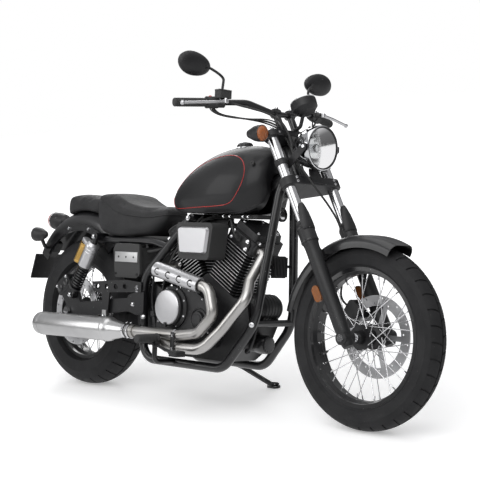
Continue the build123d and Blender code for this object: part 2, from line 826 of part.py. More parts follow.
# Front caliper on the back of the left fork leg
CALIPER_CHEEK = 12.0
CALIPER_OUTER_R = DISC_R + 19
FRONT_CALIPER_ANGLE = 147.0
bracket_up = 100.0
caliper_arm = STEER.location * block(
    (FORK_OFFSET - SLIDER_R - 34, FORK_OFFSET - SLIDER_R - SEATED),
    (FRONT_DISC_Y + DISC_T + CLEAR + 2, FORK_SPAN_HALF + 8),
    (bracket_up - 12, bracket_up + 12),
)
with BuildPart() as front_caliper:
    add(caliper(FRONT_AXLE, FRONT_DISC_Y, FRONT_CALIPER_ANGLE))
    add(caliper_arm)

# Brake hose from the right reservoir down to the lower yoke and round to the caliper
HOSE_R = 4.0
perch_end = PERCH_IN + PERCH_LENGTH
hose_points = [
    along_bar(perch_end + SEATED, ahead=BAR_R + HOSE_R + 0.6, side=-1),
    along_bar(perch_end + 16, ahead=BAR_R + HOSE_R + 0.6, side=-1),
    along_bar(perch_end + 40, ahead=30, above=-10, side=-1),
    steered(70, -128, 905),
    steered(92, -84, 858),
    steered(88, -66, 792),
    steered(74, -76, 716),
    steered(92, -62, 640),
    steered(94, -38, 576),
    steered(78, 18, 522),
    steered(64, 62, 452),
    steered(40, 76, 380),
    steered(2, 76, 300),
]
cheek_middle = FRONT_DISC_Y + DISC_T + CLEAR + CALIPER_CHEEK / 2
caliper_spin = radians(FRONT_CALIPER_ANGLE)
for reach in (CALIPER_OUTER_R + 62, CALIPER_OUTER_R + SEATED):
    hose_points.append(
        (WHEELBASE + reach * cos(caliper_spin), cheek_middle, FRONT_TYRE_R + reach * sin(caliper_spin))
    )
hose_bends = []
for before, corner, after in zip(hose_points, hose_points[1:], hose_points[2:]):
    run_in = Vector(*corner) - Vector(*before)
    run_out = Vector(*after) - Vector(*corner)
    half_turn = radians(run_in.get_angle(run_out) / 2)
    hose_bends.append(round(0.45 * min(run_in.length, run_out.length) * cos(half_turn) / sin(half_turn), 1))
with BuildPart() as brake_hose:
    add(bent_tube(hose_points, hose_bends, HOSE_R))

# Frame: head tube, backbone, double cradle, seat rails, fender struts and pivot plates
head_low = LOWER_YOKE + LOWER_YOKE_T + CLEAR
head_high = UPPER_YOKE - CLEAR
head_tube = rod(steered(0, 0, head_low), steered(0, 0, head_high), HEAD_TUBE_R)
head_joint = steered(0, 0, head_low + 58)


def from_head(x, y, z):
    """A point given from where the backbone meets the head tube."""
    return (head_joint[0] + x, y, head_joint[2] + z)


backbone_points = [head_joint, from_head(-149.7, 0, -70.6), (590.0, 0, 812.0)]
backbone = bent_tube(backbone_points, [120], BACKBONE_R)
backbone_room = bent_tube(backbone_points, [120], BACKBONE_R + CLEAR)
UPRIGHT_KNEE = (PIVOT[0] + 44, PIVOT[1] + 110)
UPRIGHT_TOP = (735.0, 105.0, 738.0)
cradle_points = [
    steered(-6, 20, head_low + 80),
    steered(-75, 41, head_low + 0.6),
    (CASE_FRONT + 54, 104.0, CRANK[1] - 10),
    (CASE_FRONT - 98, CRADLE_Y, CRADLE_Z),
    (PIVOT[0] + 59, UPRIGHT_Y, CRADLE_Z),
    (UPRIGHT_KNEE[0], UPRIGHT_Y, UPRIGHT_KNEE[1]),
    UPRIGHT_TOP,
]
cradle_tube = bent_tube(cradle_points, [150, 200, 90, 70, 120], TUBE_R)
cross_tube = rod(UPRIGHT_TOP, mirrored(UPRIGHT_TOP, -1), TUBE_R)
saddle_web = block((UPRIGHT_TOP[0] - 23, UPRIGHT_TOP[0] + 23), (-14, 14), (UPRIGHT_TOP[2], UPRIGHT_TOP[2] + 62))
gusset_outline = []
for ahead, up in ((-9.7, -32.6), (-69.7, -40.6), (-129.7, -70.6), (-79.7, -120.6), (-29.7, -84.6)):
    corner = from_head(ahead, 0, up)
    gusset_outline.append((corner[0], corner[2]))
head_gusset = side_plate(gusset_outline, -12, 12)
FRONT_CROSS = (CASE_FRONT + 48, CRANK[1] - 5)
REAR_CROSS = (PIVOT[0] + 54, CRADLE_Z + 90)
front_cross = rod((FRONT_CROSS[0], 100.0, FRONT_CROSS[1]), (FRONT_CROSS[0], -100.0, FRONT_CROSS[1]), 13)
rear_cross = rod((REAR_CROSS[0], UPRIGHT_Y, REAR_CROSS[1]), (REAR_CROSS[0], -UPRIGHT_Y, REAR_CROSS[1]), 12)
engine_lugs = []
for y in (-60, 26):
    front_reach = (CASE_FRONT + SEATED, FRONT_CROSS[0] - 2)
    rear_reach = (REAR_CROSS[0] + 2, CASE_REAR - SEATED)
    engine_lugs.append(block(front_reach, (y, y + 34), (FRONT_CROSS[1] - 9, FRONT_CROSS[1] + 5)))
    engine_lugs.append(block(rear_reach, (y, y + 34), (REAR_CROSS[1], REAR_CROSS[1] + 12)))
rail_root_z = RAIL_Z - 18
upright_slope = (UPRIGHT_TOP[0] - UPRIGHT_KNEE[0]) / (UPRIGHT_TOP[2] - UPRIGHT_KNEE[1])
rail_root_x = UPRIGHT_KNEE[0] + upright_slope * (rail_root_z - UPRIGHT_KNEE[1]) - 8.4
seat_rail = bent_tube(
    [(rail_root_x, 118.0, rail_root_z), (520.0, RAIL_Y, RAIL_Z), (164.0, RAIL_Y, RAIL_Z)],
    [200],
    RAIL_R,
)
seat_cross = rod((420.0, RAIL_Y, RAIL_Z), (420.0, -RAIL_Y, RAIL_Z), 10)
SHOCK_Y = 152.0
SHOCK_TOP = from_rails(193.0, 10.0)
SHOCK_BOTTOM = (41.0, REAR_TYRE_R + 72.0)
SHOCK_EYE_HALF = 13.0
SHOCK_EYE_R = 17.0
SHOCK_PIN_R = 8.0
CAN_R = 30.0
boss_end = (SHOCK_TOP[0], SHOCK_Y - SHOCK_EYE_HALF - SEATED, SHOCK_TOP[1])
pin_end = (SHOCK_TOP[0], SHOCK_Y + SHOCK_EYE_HALF + 2, SHOCK_TOP[1])
shock_boss = rod((SHOCK_TOP[0], 98, SHOCK_TOP[1]), boss_end, 16)
shock_pin = rod((SHOCK_TOP[0], 100, SHOCK_TOP[1]), pin_end, SHOCK_PIN_R)
plate_outline = []
for ahead, up in ((-36, -30), (24, -45), (70, -35), (68, 60), (24, 50), (-31, 35)):
    plate_outline.append((PIVOT[0] + ahead, PIVOT[1] + up))
pivot_plate = side_plate(plate_outline, ARM_OUTER + 1.5, HANGER_Y[0] - SEATED, 12)

# The fender strut: an arc beside the fender, from the seat rail to behind the rear light
STRUT_R = 288.0
STRUT_HEIGHT = 30.0
STRUT_ANGLES = (50.0, 143.0)
strut_y = REAR_FENDER_HALF + SEATED
with BuildPart() as strut:
    with BuildSketch(Plane.XZ.offset(-strut_y - STRUT_T)):
        with Locations(REAR_FENDER_CENTRE):
            Circle(STRUT_R + STRUT_HEIGHT / 2)
            Circle(STRUT_R - STRUT_HEIGHT / 2, mode=Mode.SUBTRACT)
        wedge = [REAR_FENDER_CENTRE]
        for angle in (STRUT_ANGLES[0], sum(STRUT_ANGLES) / 2, STRUT_ANGLES[1]):
            wedge.append(
                (
                    REAR_FENDER_CENTRE[0] + 500 * cos(radians(angle)),
                    REAR_FENDER_CENTRE[1] + 500 * sin(radians(angle)),
                )
            )
        with BuildLine():
            Polyline(*wedge, close=True)
        make_face(mode=Mode.INTERSECT)
    extrude(amount=STRUT_T)

PEG_X = 700.0
PEG_Z = 262.0
PEG_R = 16.0
peg_bracket = bent_tube(
    [(PEG_X, 120.0, 168.0), (PEG_X, 238.0, 170.0), (PEG_X, 238.0, PEG_Z - PEG_R - SEATED)], [24], 10
)
stand_lug_axis = Vector(STAND_FOOT_X, STAND_FOOT_Y, SOLE_Z) - Vector(*STAND_PIVOT)
STAND_DOWN = stand_lug_axis.normalized()
STAND_BACK = Vector(-0.98, 0.14, -0.14).normalized()
STAND_AXIS = STAND_DOWN.cross(STAND_BACK).normalized()
STAND_SWING = degrees(atan2(STAND_DOWN.cross(STAND_BACK).length, STAND_DOWN.dot(STAND_BACK)))
stand_plane = Plane(origin=STAND_PIVOT, x_dir=STAND_DOWN, z_dir=STAND_AXIS)

frame_left = [cradle_tube, seat_rail, shock_boss, shock_pin, pivot_plate, strut.part]
frame_pairs = [both_sides(piece) for piece in frame_left]
with BuildPart() as stand_lug:
    with BuildSketch(stand_plane.offset(STAND_LUG_AT)):
        Circle(STAND_EYE_R)
        lug_root = stand_plane.to_local_coords(Vector(STAND_PIVOT[0], CRADLE_Y + 4, CRADLE_Z + 4))
        with Locations((lug_root.X, lug_root.Y)):
            Circle(12)
        make_hull()
    extrude(amount=9)
stand_pin = rod(
    tuple(stand_plane.from_local_coords(Vector(0, 0, -STAND_EYE_T / 2 - 3))),
    tuple(stand_plane.from_local_coords(Vector(0, 0, STAND_LUG_AT + 8))),
    STAND_PIN_R,
)
with BuildPart() as frame:
    add(head_tube)
    add(backbone)
    add(frame_pairs)
    add([cross_tube, saddle_web, head_gusset, front_cross, rear_cross, seat_cross])
    add(engine_lugs)
    add([peg_bracket, mirror(peg_bracket, about=Plane.XZ, mode=Mode.PRIVATE)])
    add([stand_lug.part, stand_pin])
    with BuildSketch(STEER.offset(head_low - 1)):
        Circle(STEM_R + RUNNING)
    extrude(amount=head_high - head_low + 2, mode=Mode.SUBTRACT)

# Side stand: an eye round the pin, a leg and a tilted foot
SOLE_T = 8.0
leg_start = tuple(stand_plane.from_local_coords(Vector(STAND_EYE_R - 4, 0, 0)))
sole_plane = Plane(
    origin=(STAND_FOOT_X, STAND_FOOT_Y, SOLE_Z),
    x_dir=(1, 0, 0),
    z_dir=(0, -sin(radians(LEAN)), cos(radians(LEAN))),
)
leg_end = tuple(sole_plane.from_local_coords(Vector(0, -6, STAND_LEG_R + 1)))
with BuildPart() as side_stand:
    with BuildSketch(stand_plane.offset(-STAND_EYE_T / 2)):
        Circle(STAND_EYE_R)
    extrude(amount=STAND_EYE_T)
    add(rod(leg_start, leg_end, STAND_LEG_R))
    with BuildSketch(sole_plane):
        SlotOverall(64, 34)
    extrude(amount=SOLE_T)
    with BuildSketch(stand_plane.offset(-STAND_EYE_T / 2)):
        Circle(STAND_PIN_R + RUNNING)
    extrude(amount=STAND_EYE_T, mode=Mode.SUBTRACT)

# Swingarm, rear axle and rear caliper
with BuildPart() as swingarm:
    with BuildSketch(Plane.XZ.offset(-ARM_OUTER)):
        with Locations(PIVOT):
            Circle(27)
        with Locations((0, REAR_TYRE_R)):
            Circle(32)
        make_hull()
        with Locations((0, REAR_TYRE_R)):
            Circle(AXLE_R + RUNNING, mode=Mode.SUBTRACT)
    extrude(amount=ARM_OUTER - ARM_INNER)
    with BuildSketch(Plane.XZ.offset(-ARM_OUTER + 4)):
        with Locations(SHOCK_BOTTOM):
            Circle(SHOCK_EYE_R - 1)
        with Locations((SHOCK_BOTTOM[0] + 12, REAR_TYRE_R + 22)):
            Rectangle(56, 12)
        make_hull()
    extrude(amount=16)
    with BuildSketch(Plane.XZ.offset(-SHOCK_Y - SHOCK_EYE_HALF - 2)):
        with Locations(SHOCK_BOTTOM):
            Circle(SHOCK_PIN_R)
    extrude(amount=SHOCK_Y + SHOCK_EYE_HALF + 2 - ARM_OUTER + 8)
    mirror(about=Plane.XZ)
    with BuildSketch(Plane.XZ.offset(-ARM_OUTER)):
        with Locations(PIVOT):
            Circle(24)
    extrude(amount=2 * ARM_OUTER)

REAR_AXLE_HALF = ARM_OUTER + 16
rear_spacer_r = 20.0
rear_spacers = [
    rod((0, PULLEY_Y[1] + 2, REAR_TYRE_R), (0, ARM_INNER - SEATED, REAR_TYRE_R), rear_spacer_r),
    rod((0, REAR_DISC_Y - 2, REAR_TYRE_R), (0, -ARM_INNER + SEATED, REAR_TYRE_R), rear_spacer_r),
]
with BuildPart() as rear_axle:
    with BuildSketch(REAR_AXLE.offset(-REAR_AXLE_HALF)):
        Circle(AXLE_R)
    extrude(amount=2 * REAR_AXLE_HALF)
    add(rear_spacers)
    for start in (-REAR_AXLE_HALF, REAR_AXLE_HALF - 12):
        with BuildSketch(REAR_AXLE.offset(start)):
            RegularPolygon(18, 6)
        extrude(amount=12)

REAR_CALIPER_ANGLE = 128.0
rear_caliper_body = caliper(REAR_AXLE, REAR_DISC_Y, REAR_CALIPER_ANGLE)
spin = radians(REAR_CALIPER_ANGLE)
caliper_bracket = side_plate(
    [
        (-34, REAR_TYRE_R - 6),
        (-2, REAR_TYRE_R + 33),
        (DISC_R * cos(spin) + 36, REAR_TYRE_R + DISC_R * sin(spin) + 22),
        (DISC_R * cos(spin) - 24, REAR_TYRE_R + DISC_R * sin(spin) - 26),
    ],
    -ARM_INNER + SEATED,
    -ARM_INNER + 7,
    4,
)
with BuildPart() as rear_caliper:
    add(rear_caliper_body)
    add(caliper_bracket)

# Shock absorbers: two eyes, a damper, a spring of stacked rings under a silver can
shock_top = Vector(SHOCK_TOP[0], SHOCK_Y, SHOCK_TOP[1])
shock_bottom = Vector(SHOCK_BOTTOM[0], SHOCK_Y, SHOCK_BOTTOM[1])
shock_line = shock_top - shock_bottom
shock_plane = Plane(origin=tuple(shock_bottom), x_dir=(0, 1, 0), z_dir=shock_line)
SHOCK_LENGTH = shock_line.length
SPRING_R = 26.5
SPRING_PITCH = 13.0
can_low = SHOCK_LENGTH * 0.44
shock_outline = [(0.0, 8.0), (13.0, 8.0), (13.0, 24.0), (22.0, 30.0), (26.0, 32.0), (26.0, 40.0), (20.0, 41.0)]
for turn in range(int((can_low - 46) / SPRING_PITCH)):
    low = 45 + turn * SPRING_PITCH
    shock_outline += [(20.0, low), (SPRING_R, low + 2), (SPRING_R, low + 6), (20.0, low + 8)]
shock_outline += [
    (20.0, can_low - 2),
    (CAN_R, can_low),
    (CAN_R, SHOCK_LENGTH - 46),
    (24.0, SHOCK_LENGTH - 36),
    (12.5, SHOCK_LENGTH - 26),
    (12.5, SHOCK_LENGTH - 12),
    (0.0, SHOCK_LENGTH - 12),
]
shock_body = turned(shock_outline, shock_plane)
eyes = [
    rod(
        (place[0], SHOCK_Y - SHOCK_EYE_HALF, place[1]),
        (place[0], SHOCK_Y + SHOCK_EYE_HALF, place[1]),
        SHOCK_EYE_R,
    )
    for place in (SHOCK_TOP, SHOCK_BOTTOM)
]
with BuildPart() as shock_absorbers:
    add(shock_body)
    add(eyes)
    for place in (SHOCK_TOP, SHOCK_BOTTOM):
        with BuildSketch(Plane.XZ.offset(-SHOCK_Y - SHOCK_EYE_HALF)):
            with Locations(place):
                Circle(SHOCK_PIN_R + RUNNING)
        extrude(amount=2 * SHOCK_EYE_HALF, mode=Mode.SUBTRACT)
    mirror(about=Plane.XZ)

RESERVOIR_R = 20.0
RESERVOIR_GAP = CAN_R + RESERVOIR_R + SEATED
reservoir_low = SHOCK_LENGTH * 0.46
reservoir_outline = [
    (0.0, 0.0),
    (RESERVOIR_R - 4, 0.0),
    (RESERVOIR_R, 5.0),
    (RESERVOIR_R, 92.0),
    (RESERVOIR_R - 5, 100.0),
    (0.0, 100.0),
]
side_way = Vector(0, 1, 0).cross(shock_line).normalized()
side_way = side_way if side_way.X < 0 else side_way * -1
reservoir_at = shock_plane.from_local_coords(Vector(0, 0, reservoir_low)) + side_way * RESERVOIR_GAP
reservoir = turned(reservoir_outline, Plane(origin=tuple(reservoir_at), z_dir=shock_line))
with BuildPart() as shock_reservoirs:
    add(reservoir)
    mirror(about=Plane.XZ)

# Drive belt round the rear pulley and the hidden front pulley
belt_inner = REAR_PULLEY_R + 0.4
with BuildPart() as drive_belt:
    with BuildSketch(Plane.XZ.offset(-BELT_Y[1])):
        with Locations((0, REAR_TYRE_R)):
            Circle(belt_inner + BELT_T)
        with Locations(FRONT_PULLEY):
            Circle(FRONT_PULLEY_R + BELT_T)
        make_hull()
    extrude(amount=BELT_Y[1] - BELT_Y[0])
    with BuildSketch(Plane.XZ.offset(-BELT_Y[1])):
        with Locations((0, REAR_TYRE_R)):
            Circle(belt_inner)
        with Locations(FRONT_PULLEY):
            Circle(FRONT_PULLEY_R)
        make_hull()
    extrude(amount=BELT_Y[1] - BELT_Y[0], mode=Mode.SUBTRACT)


def bank_plane(lean, distance):
    """A plane across a cylinder's axis, at a distance from the crankshaft; lean 1 is the front one."""
    tilt = radians(lean * BANK_ANGLE)
    return Plane(
        origin=(CRANK[0] + distance * sin(tilt), 0, CRANK[1] + distance * cos(tilt)),
        x_dir=(cos(tilt), 0, -sin(tilt)),
        z_dir=(sin(tilt), 0, cos(tilt)),
    )


# Crankcase: the core between the two cylinder seats, with its side covers
def seat_point(lean, across):
    """An (x, z) point on a cylinder's seat, across the axis from its middle."""
    spot = bank_plane(lean, BARREL_BASE).from_local_coords(Vector(across, 0, 0))
    return (spot.X, spot.Z)


core_outline = [
    seat_point(-1, -FIN_HALF_LENGTH),
    seat_point(-1, BARREL_BASE * sin(radians(BANK_ANGLE)) / cos(radians(BANK_ANGLE))),
    seat_point(1, FIN_HALF_LENGTH),
    (1044.0, 420.0),
    (CASE_FRONT, 350.0),
    (CASE_FRONT, 334.0),
    (1012.0, 240.0),
    (940.0, 186.0),
    (600.0, 186.0),
    (CASE_REAR, 250.0),
    (CASE_REAR, 415.0),
]
right_cover_outline = [
    (612, 300),
    (640, 236),
    (800, 214),
    (900, 240),
    (940, 320),
    (900, 420),
    (800, 466),
    (720, 458),
    (650, 428),
    (616, 392),
]
left_cover_outline = [(670, 300), (700, 226), (800, 214), (900, 240)]
left_cover_outline += [(940, 320), (900, 420), (800, 466), (700, 452)]
engine_core = side_plate(core_outline, -CASE_HALF, CASE_HALF)
right_cover = side_plate(right_cover_outline, -CLUTCH_FACE + 12, -CASE_HALF, 30)
left_cover = side_plate(left_cover_outline, CASE_HALF, LEFT_FACE, 30)
oil_filter = rod((1000.0, -6.0, 262.0), (1066.0, -6.0, 262.0), 33)
alternator = turned(
    [(0.0, 0.0), (96.0, 0.0), (92.0, 18.0), (60.0, 26.0), (0.0, 26.0)],
    Plane(origin=(812, LEFT_FACE, 340), x_dir=(1, 0, 0), z_dir=(0, 1, 0)),
)
pulley_cover_outline = [(524, 312), (580, 292), (650, 310), (650, 410), (580, 430), (524, 410)]
pulley_cover = side_plate(pulley_cover_outline, BELT_Y[1] + CLEAR, LEFT_FACE, 22)
cover_neck = side_plate([(640, 320), (680, 310), (680, 420), (640, 408)], BELT_Y[1] + CLEAR, LEFT_FACE)
points_cover = turned(
    [(0.0, 0.0), (32.0, 0.0), (30.0, 10.0), (0.0, 12.0)],
    Plane(origin=(862, -CLUTCH_FACE + 12, 345), x_dir=(1, 0, 0), z_dir=(0, -1, 0)),
)
with BuildPart() as crankcase:
    add(engine_core)
    add(right_cover)
    add(left_cover)
    add(oil_filter)
    add(alternator)
    add(pulley_cover)
    add(cover_neck)
    add(points_cover)
    with BuildSketch(Plane.XZ.offset(-BELT_Y[1])):
        with Locations(FRONT_PULLEY):
            Circle(FRONT_PULLEY_R - SEATED)
    extrude(amount=BELT_Y[1] - CASE_HALF)

clutch_outline = [
    (0.0, 0.0),
    (CLUTCH_R + 12, 0.0),
    (CLUTCH_R + 12, 6.0),
    (CLUTCH_R, 12.0),
    (CLUTCH_R, 26.0),
    (CLUTCH_R - 8, 32.0),
    (CLUTCH_R - 22, 32.0),
    (CLUTCH_R - 26, 28.0),
    (0.0, 28.0),
]
clutch_plane = Plane(
    origin=(CLUTCH_CENTRE[0], -CLUTCH_FACE + 12, CLUTCH_CENTRE[1]),
    x_dir=(1, 0, 0),
    z_dir=(0, -1, 0),
)
with BuildPart() as clutch_cover:
    add(turned(clutch_outline, clutch_plane))

# Cylinders with their cooling fins, and the heads with rocker covers
fin_pitch = (BARREL_TOP - BARREL_BASE - FIN_T - 8) / (FIN_COUNT - 1)


def finned_barrel(lean):
    """A round barrel inside a stack of square fins with rounded corners."""
    with BuildPart() as barrel:
        with BuildSketch(bank_plane(lean, BARREL_BASE)):
            Circle(BARREL_R)
        extrude(amount=BARREL_TOP - BARREL_BASE)
        for number in range(FIN_COUNT):
            with BuildSketch(bank_plane(lean, BARREL_BASE + 8 + number * fin_pitch)) as fin:
                RectangleRounded(2 * FIN_HALF_LENGTH, 2 * FIN_HALF_WIDTH, 22)
            extrude(amount=FIN_T)
    return barrel.part


def cylinder_head(lean):
    """A head with a narrower rocker cover on it."""
    with BuildPart() as head:
        with BuildSketch(bank_plane(lean, BARREL_TOP)):
            RectangleRounded(2 * HEAD_HALF_LENGTH, 2 * HEAD_HALF_WIDTH, 16)
        extrude(amount=HEAD_TOP - BARREL_TOP)
        with BuildSketch(bank_plane(lean, HEAD_TOP)):
            RectangleRounded(2 * HEAD_HALF_LENGTH - 18, 2 * HEAD_HALF_WIDTH - 14, 20)
        extrude(amount=COVER_TOP - HEAD_TOP, taper=12)
    return head.part


barrels = [finned_barrel(lean) for lean in (-1, 1)]
heads = [cylinder_head(lean) for lean in (-1, 1)]
with BuildPart() as cylinders:
    add(barrels)
    with Locations((CRANK[0], 0, CRANK[1] + BARREL_TOP / 2)):
        Box(FIN_T, 4 * FIN_HALF_WIDTH, BARREL_TOP, mode=Mode.SUBTRACT)
with BuildPart() as cylinder_heads:
    add(heads)

# Air filter box in the V, its cover and the intake between the heads
box_outline = [(735, 719), (945, 719), (925, 576), (755, 576)]
cover_outline = [(752, 702), (928, 702), (912, 598), (768, 598)]
BOX_Y = (-95.0, -182.0)
intake = rod((820, -96, 650), (820, -10, 650), 28)
PORT_UP = 345.0
RUNNER_R = 12.0
RUNNER_LENGTH = 66.0
runners = []
for lean in (-1, 1):
    port_place = bank_plane(lean, PORT_UP)
    port_at = port_place.from_local_coords(Vector(-lean * (HEAD_HALF_LENGTH + SEATED), -10, 0))
    port_end = port_place.from_local_coords(Vector(-lean * (HEAD_HALF_LENGTH + RUNNER_LENGTH), -10, 0))
    runners.append(rod(tuple(port_at), tuple(port_end), RUNNER_R))
plenum_z = port_end.Z
plenum = rod((CRANK[0] - 52, -10, plenum_z), (CRANK[0] + 52, -10, plenum_z), RUNNER_R + 6)
riser = rod((820, -10, 650), (820, -10, plenum_z), 20)
with BuildPart() as air_filter_box:
    add(side_plate(box_outline, BOX_Y[1], BOX_Y[0], 18))
    add(intake)
    add([*runners, plenum, riser])
with BuildPart() as air_filter_cover:
    with BuildSketch(Plane.XZ.offset(-BOX_Y[1])) as face:
        with BuildLine():
            Polyline(*cover_outline, close=True)
        make_face()
        fillet(face.vertices(), 16)
    extrude(amount=12, taper=25)

# Exhaust: the rear pipe loops forward under its shield, the front pipe joins it at the muffler
MUFFLER_REAR = (-128.0, REAR_TYRE_R - MUFFLER_DROP)
pipe_slope = (PIPE_JOIN[1] - MUFFLER_REAR[1]) / (PIPE_JOIN[0] - MUFFLER_REAR[0])


def on_muffler_line(x):
    """A point on the line of the muffler and of the pipe that enters it."""
    return (x, -PIPE_Y, MUFFLER_REAR[1] + pipe_slope * (x - MUFFLER_REAR[0]))


rear_pipe_points = [
    (640, -FIN_HALF_WIDTH - SEATED, 532),
    (640, -PIPE_Y, 532),
    (955, -PIPE_Y, 470),
    (985, -PIPE_Y, 372),
    (905, -PIPE_Y, 296),
    on_muffler_line(PIPE_JOIN[0]),
    on_muffler_line(470),
]
port = bank_plane(1, 357).from_local_coords(Vector(HEAD_HALF_LENGTH + SEATED, -48, 0))
port_out = bank_plane(1, 357).from_local_coords(Vector(HEAD_HALF_LENGTH + 34, -48, 0))
front_pipe_points = [
    tuple(port),
    tuple(port_out),
    (1084, -112, 505),
    (1112, -154, 440),
    (1016, -184, 317),
    (930, -PIPE_Y, 236),
    (760, -PIPE_Y, 230),
    on_muffler_line(590),
]
rear_pipe = bent_tube(rear_pipe_points, [34, 48, 45, 70, 120], PIPE_R)
front_pipe = bent_tube(front_pipe_points, [24, 40, 50, 120, 120, 150], PIPE_R - 0.6)
collar = rod(on_muffler_line(510), on_muffler_line(534), PIPE_R + 5)
with BuildPart() as exhaust_pipes:
    add(rear_pipe)
    add(front_pipe)
    add(collar)

muffler_outline = [
    (30.0, 0.0),
    (40.0, 2.0),
    (MUFFLER_R - 2, 14.0),
    (MUFFLER_R, 30.0),
    (MUFFLER_R, MUFFLER_LENGTH),
    (MUFFLER_R - 8, MUFFLER_LENGTH + 20),
    (PIPE_R + 6, MUFFLER_LENGTH + MUFFLER_TAPER),
    (PIPE_R + 4, MUFFLER_LENGTH + MUFFLER_TAPER + 26),
    (PIPE_R + SEATED, MUFFLER_LENGTH + MUFFLER_TAPER + 26),
    (PIPE_R + SEATED, MUFFLER_LENGTH + MUFFLER_TAPER - 30),
    (0.0, MUFFLER_LENGTH + MUFFLER_TAPER - 30),
    (0.0, 60.0),
    (30.0, 60.0),
]
muffler_aim = Vector(*on_muffler_line(PIPE_JOIN[0])) - Vector(*on_muffler_line(MUFFLER_REAR[0]))
muffler_plane = Plane(origin=(MUFFLER_REAR[0], -PIPE_Y, MUFFLER_REAR[1]), x_dir=(0, 1, 0), z_dir=muffler_aim)
TAB_X = (262.0, 288.0)
tab_root = on_muffler_line(275)[2]
muffler_tab = block(TAB_X, (-HANGER_Y[1] - 6 - SEATED, -HANGER_Y[1] - SEATED), (tab_root, tab_root + 74))
with BuildPart() as muffler:
    add(turned(muffler_outline, muffler_plane))
    add(muffler_tab)

# Heat shield: a half shell over the straight run of the rear pipe, with four curved slots
shield_start = Vector(*rear_pipe_points[1])
shield_run = (Vector(*rear_pipe_points[2]) - shield_start).normalized()
shield_from = shield_start + shield_run * 14
shield_to = shield_start + shield_run * 276
shield_line = shield_to - shield_from
shield_plane = Plane(origin=tuple(shield_from), x_dir=(0, -1, 0), z_dir=shield_line)
SHIELD_R = PIPE_R + 9
slot_plane = Plane(
    origin=(shield_from.X, -PIPE_Y - 12, shield_from.Z), x_dir=shield_line.normalized(), z_dir=(0, -1, 0)
)
shield_clip = [
    rod(
        tuple(shield_from + shield_line * share),
        tuple(shield_from + shield_line * share + shield_line.normalized() * 10),
        SHIELD_R - 2,
        PIPE_R + SEATED,
    )
    for share in (0.16, 0.92)
]
with BuildPart() as heat_shield:
    with BuildSketch(shield_plane):
        Circle(SHIELD_R)
        Circle(SHIELD_R - 3, mode=Mode.SUBTRACT)
        with Locations((-SHIELD_R, 0)):
            Rectangle(2 * SHIELD_R - 4, 3 * SHIELD_R, mode=Mode.SUBTRACT)
    extrude(amount=shield_line.length)
    add(shield_clip)
    with BuildSketch(slot_plane):
        with GridLocations(shield_line.length / 4, 1, 4, 1, align=(Align.MIN, Align.CENTER)):
            with Locations((shield_line.length / 8, 0)):
                Circle(15)
                Circle(9, mode=Mode.SUBTRACT)
                with Locations((12, 0)):
                    Rectangle(16, 16, mode=Mode.SUBTRACT)
    extrude(amount=40, mode=Mode.SUBTRACT)

# Fuel tank: a teardrop loft, tunnelled for the backbone and notched for the steering head
# Columns: x, bottom half width, widest half width, shoulder half width, bottom, widest, shoulder, top
tank_sections = [
    (552, 26, 34, 24, 786, 800, 812, 818),
    (650, 84, 100, 66, 762, 815, 895, 924),
    (780, 112, 132, 88, 757, 828, 950, 990),
    (930, 116, 140, 92, 758, 850, 982, 1022),
    (1040, 92, 118, 80, 768, 875, 985, 1018),
    (1104, 46, 62, 46, 842, 905, 968, 984),
]
with BuildPart() as fuel_tank:
    for x, low_half, wide_half, top_half, low, wide, shoulder, top in tank_sections:
        with BuildSketch(Plane(origin=(x, 0, 0), x_dir=(0, 1, 0), z_dir=(1, 0, 0))):
            with BuildLine():
                Line((-low_half, low), (low_half, low))
                ThreePointArc((low_half, low), (wide_half, wide), (top_half, shoulder))
                ThreePointArc((top_half, shoulder), (0, top), (-top_half, shoulder))
                ThreePointArc((-top_half, shoulder), (-wide_half, wide), (-low_half, low))
            make_face()
    loft()
    with Locations((850, 0, 810)):
        Box(640, 2 * TANK_TUNNEL_HALF, 2 * (TANK_TUNNEL_TOP - 810), mode=Mode.SUBTRACT)
    add(backbone_room, mode=Mode.SUBTRACT)
    with BuildSketch(STEER.offset(head_low - 60)):
        Circle(YOKE_BOSS_R + 10)
    extrude(amount=head_high - head_low + 200, mode=Mode.SUBTRACT)

CAP_AT = (918.0, 0.0, 1017.0)
cap_outline = [(0.0, 0.0), (30.0, 0.0), (30.0, 14.0), (26.0, 19.0), (0.0, 22.0)]
with BuildPart() as filler_cap:
    add(turned(cap_outline, Plane(origin=CAP_AT, z_dir=(-0.12, 0, 1))))
    add(fuel_tank.part, mode=Mode.SUBTRACT)

# Rider seat: a bucket with a raised rear lip, cut round the fender and the rails
seat_outline_side = [
    from_rails(548, 88),
    from_rails(544, 144),
    from_rails(480, 132),
    from_rails(410, 128),
    from_rails(330, 148),
    from_rails(250, 186),
    from_rails(196, 196),
    from_rails(150, 188),
    from_rails(142, 130),
    from_rails(170, 60),
    from_rails(214, 22),
    from_rails(300, RAIL_R + SEATED),
    from_rails(470, RAIL_R + SEATED),
]
with BuildPart() as rider_seat:
    with BuildSketch(Plane.XZ.offset(-SEAT_HALF)) as side_face:
        with BuildLine():
            FilletPolyline(*seat_outline_side, radius=18, close=True)
        make_face()
    extrude(amount=2 * SEAT_HALF)
    with BuildSketch(Plane.XY.offset(RAIL_Z - 40)):
        with BuildLine():
            FilletPolyline(
                (560, -62),
                (480, -88),
                (360, -SEAT_HALF),
                (190, -SEAT_HALF),
                (128, -92),
                (128, 92),
                (190, SEAT_HALF),
                (360, SEAT_HALF),
                (480, 88),
                (560, 62),
                radius=26,
                close=True,
            )
        make_face()
    extrude(amount=300, mode=Mode.INTERSECT)
    with BuildSketch(Plane.XZ.offset(-REAR_FENDER_HALF - 1)):
        with Locations(REAR_FENDER_CENTRE):
            Circle(REAR_FENDER_R + SEATED)
    extrude(amount=2 * REAR_FENDER_HALF + 2, mode=Mode.SUBTRACT)

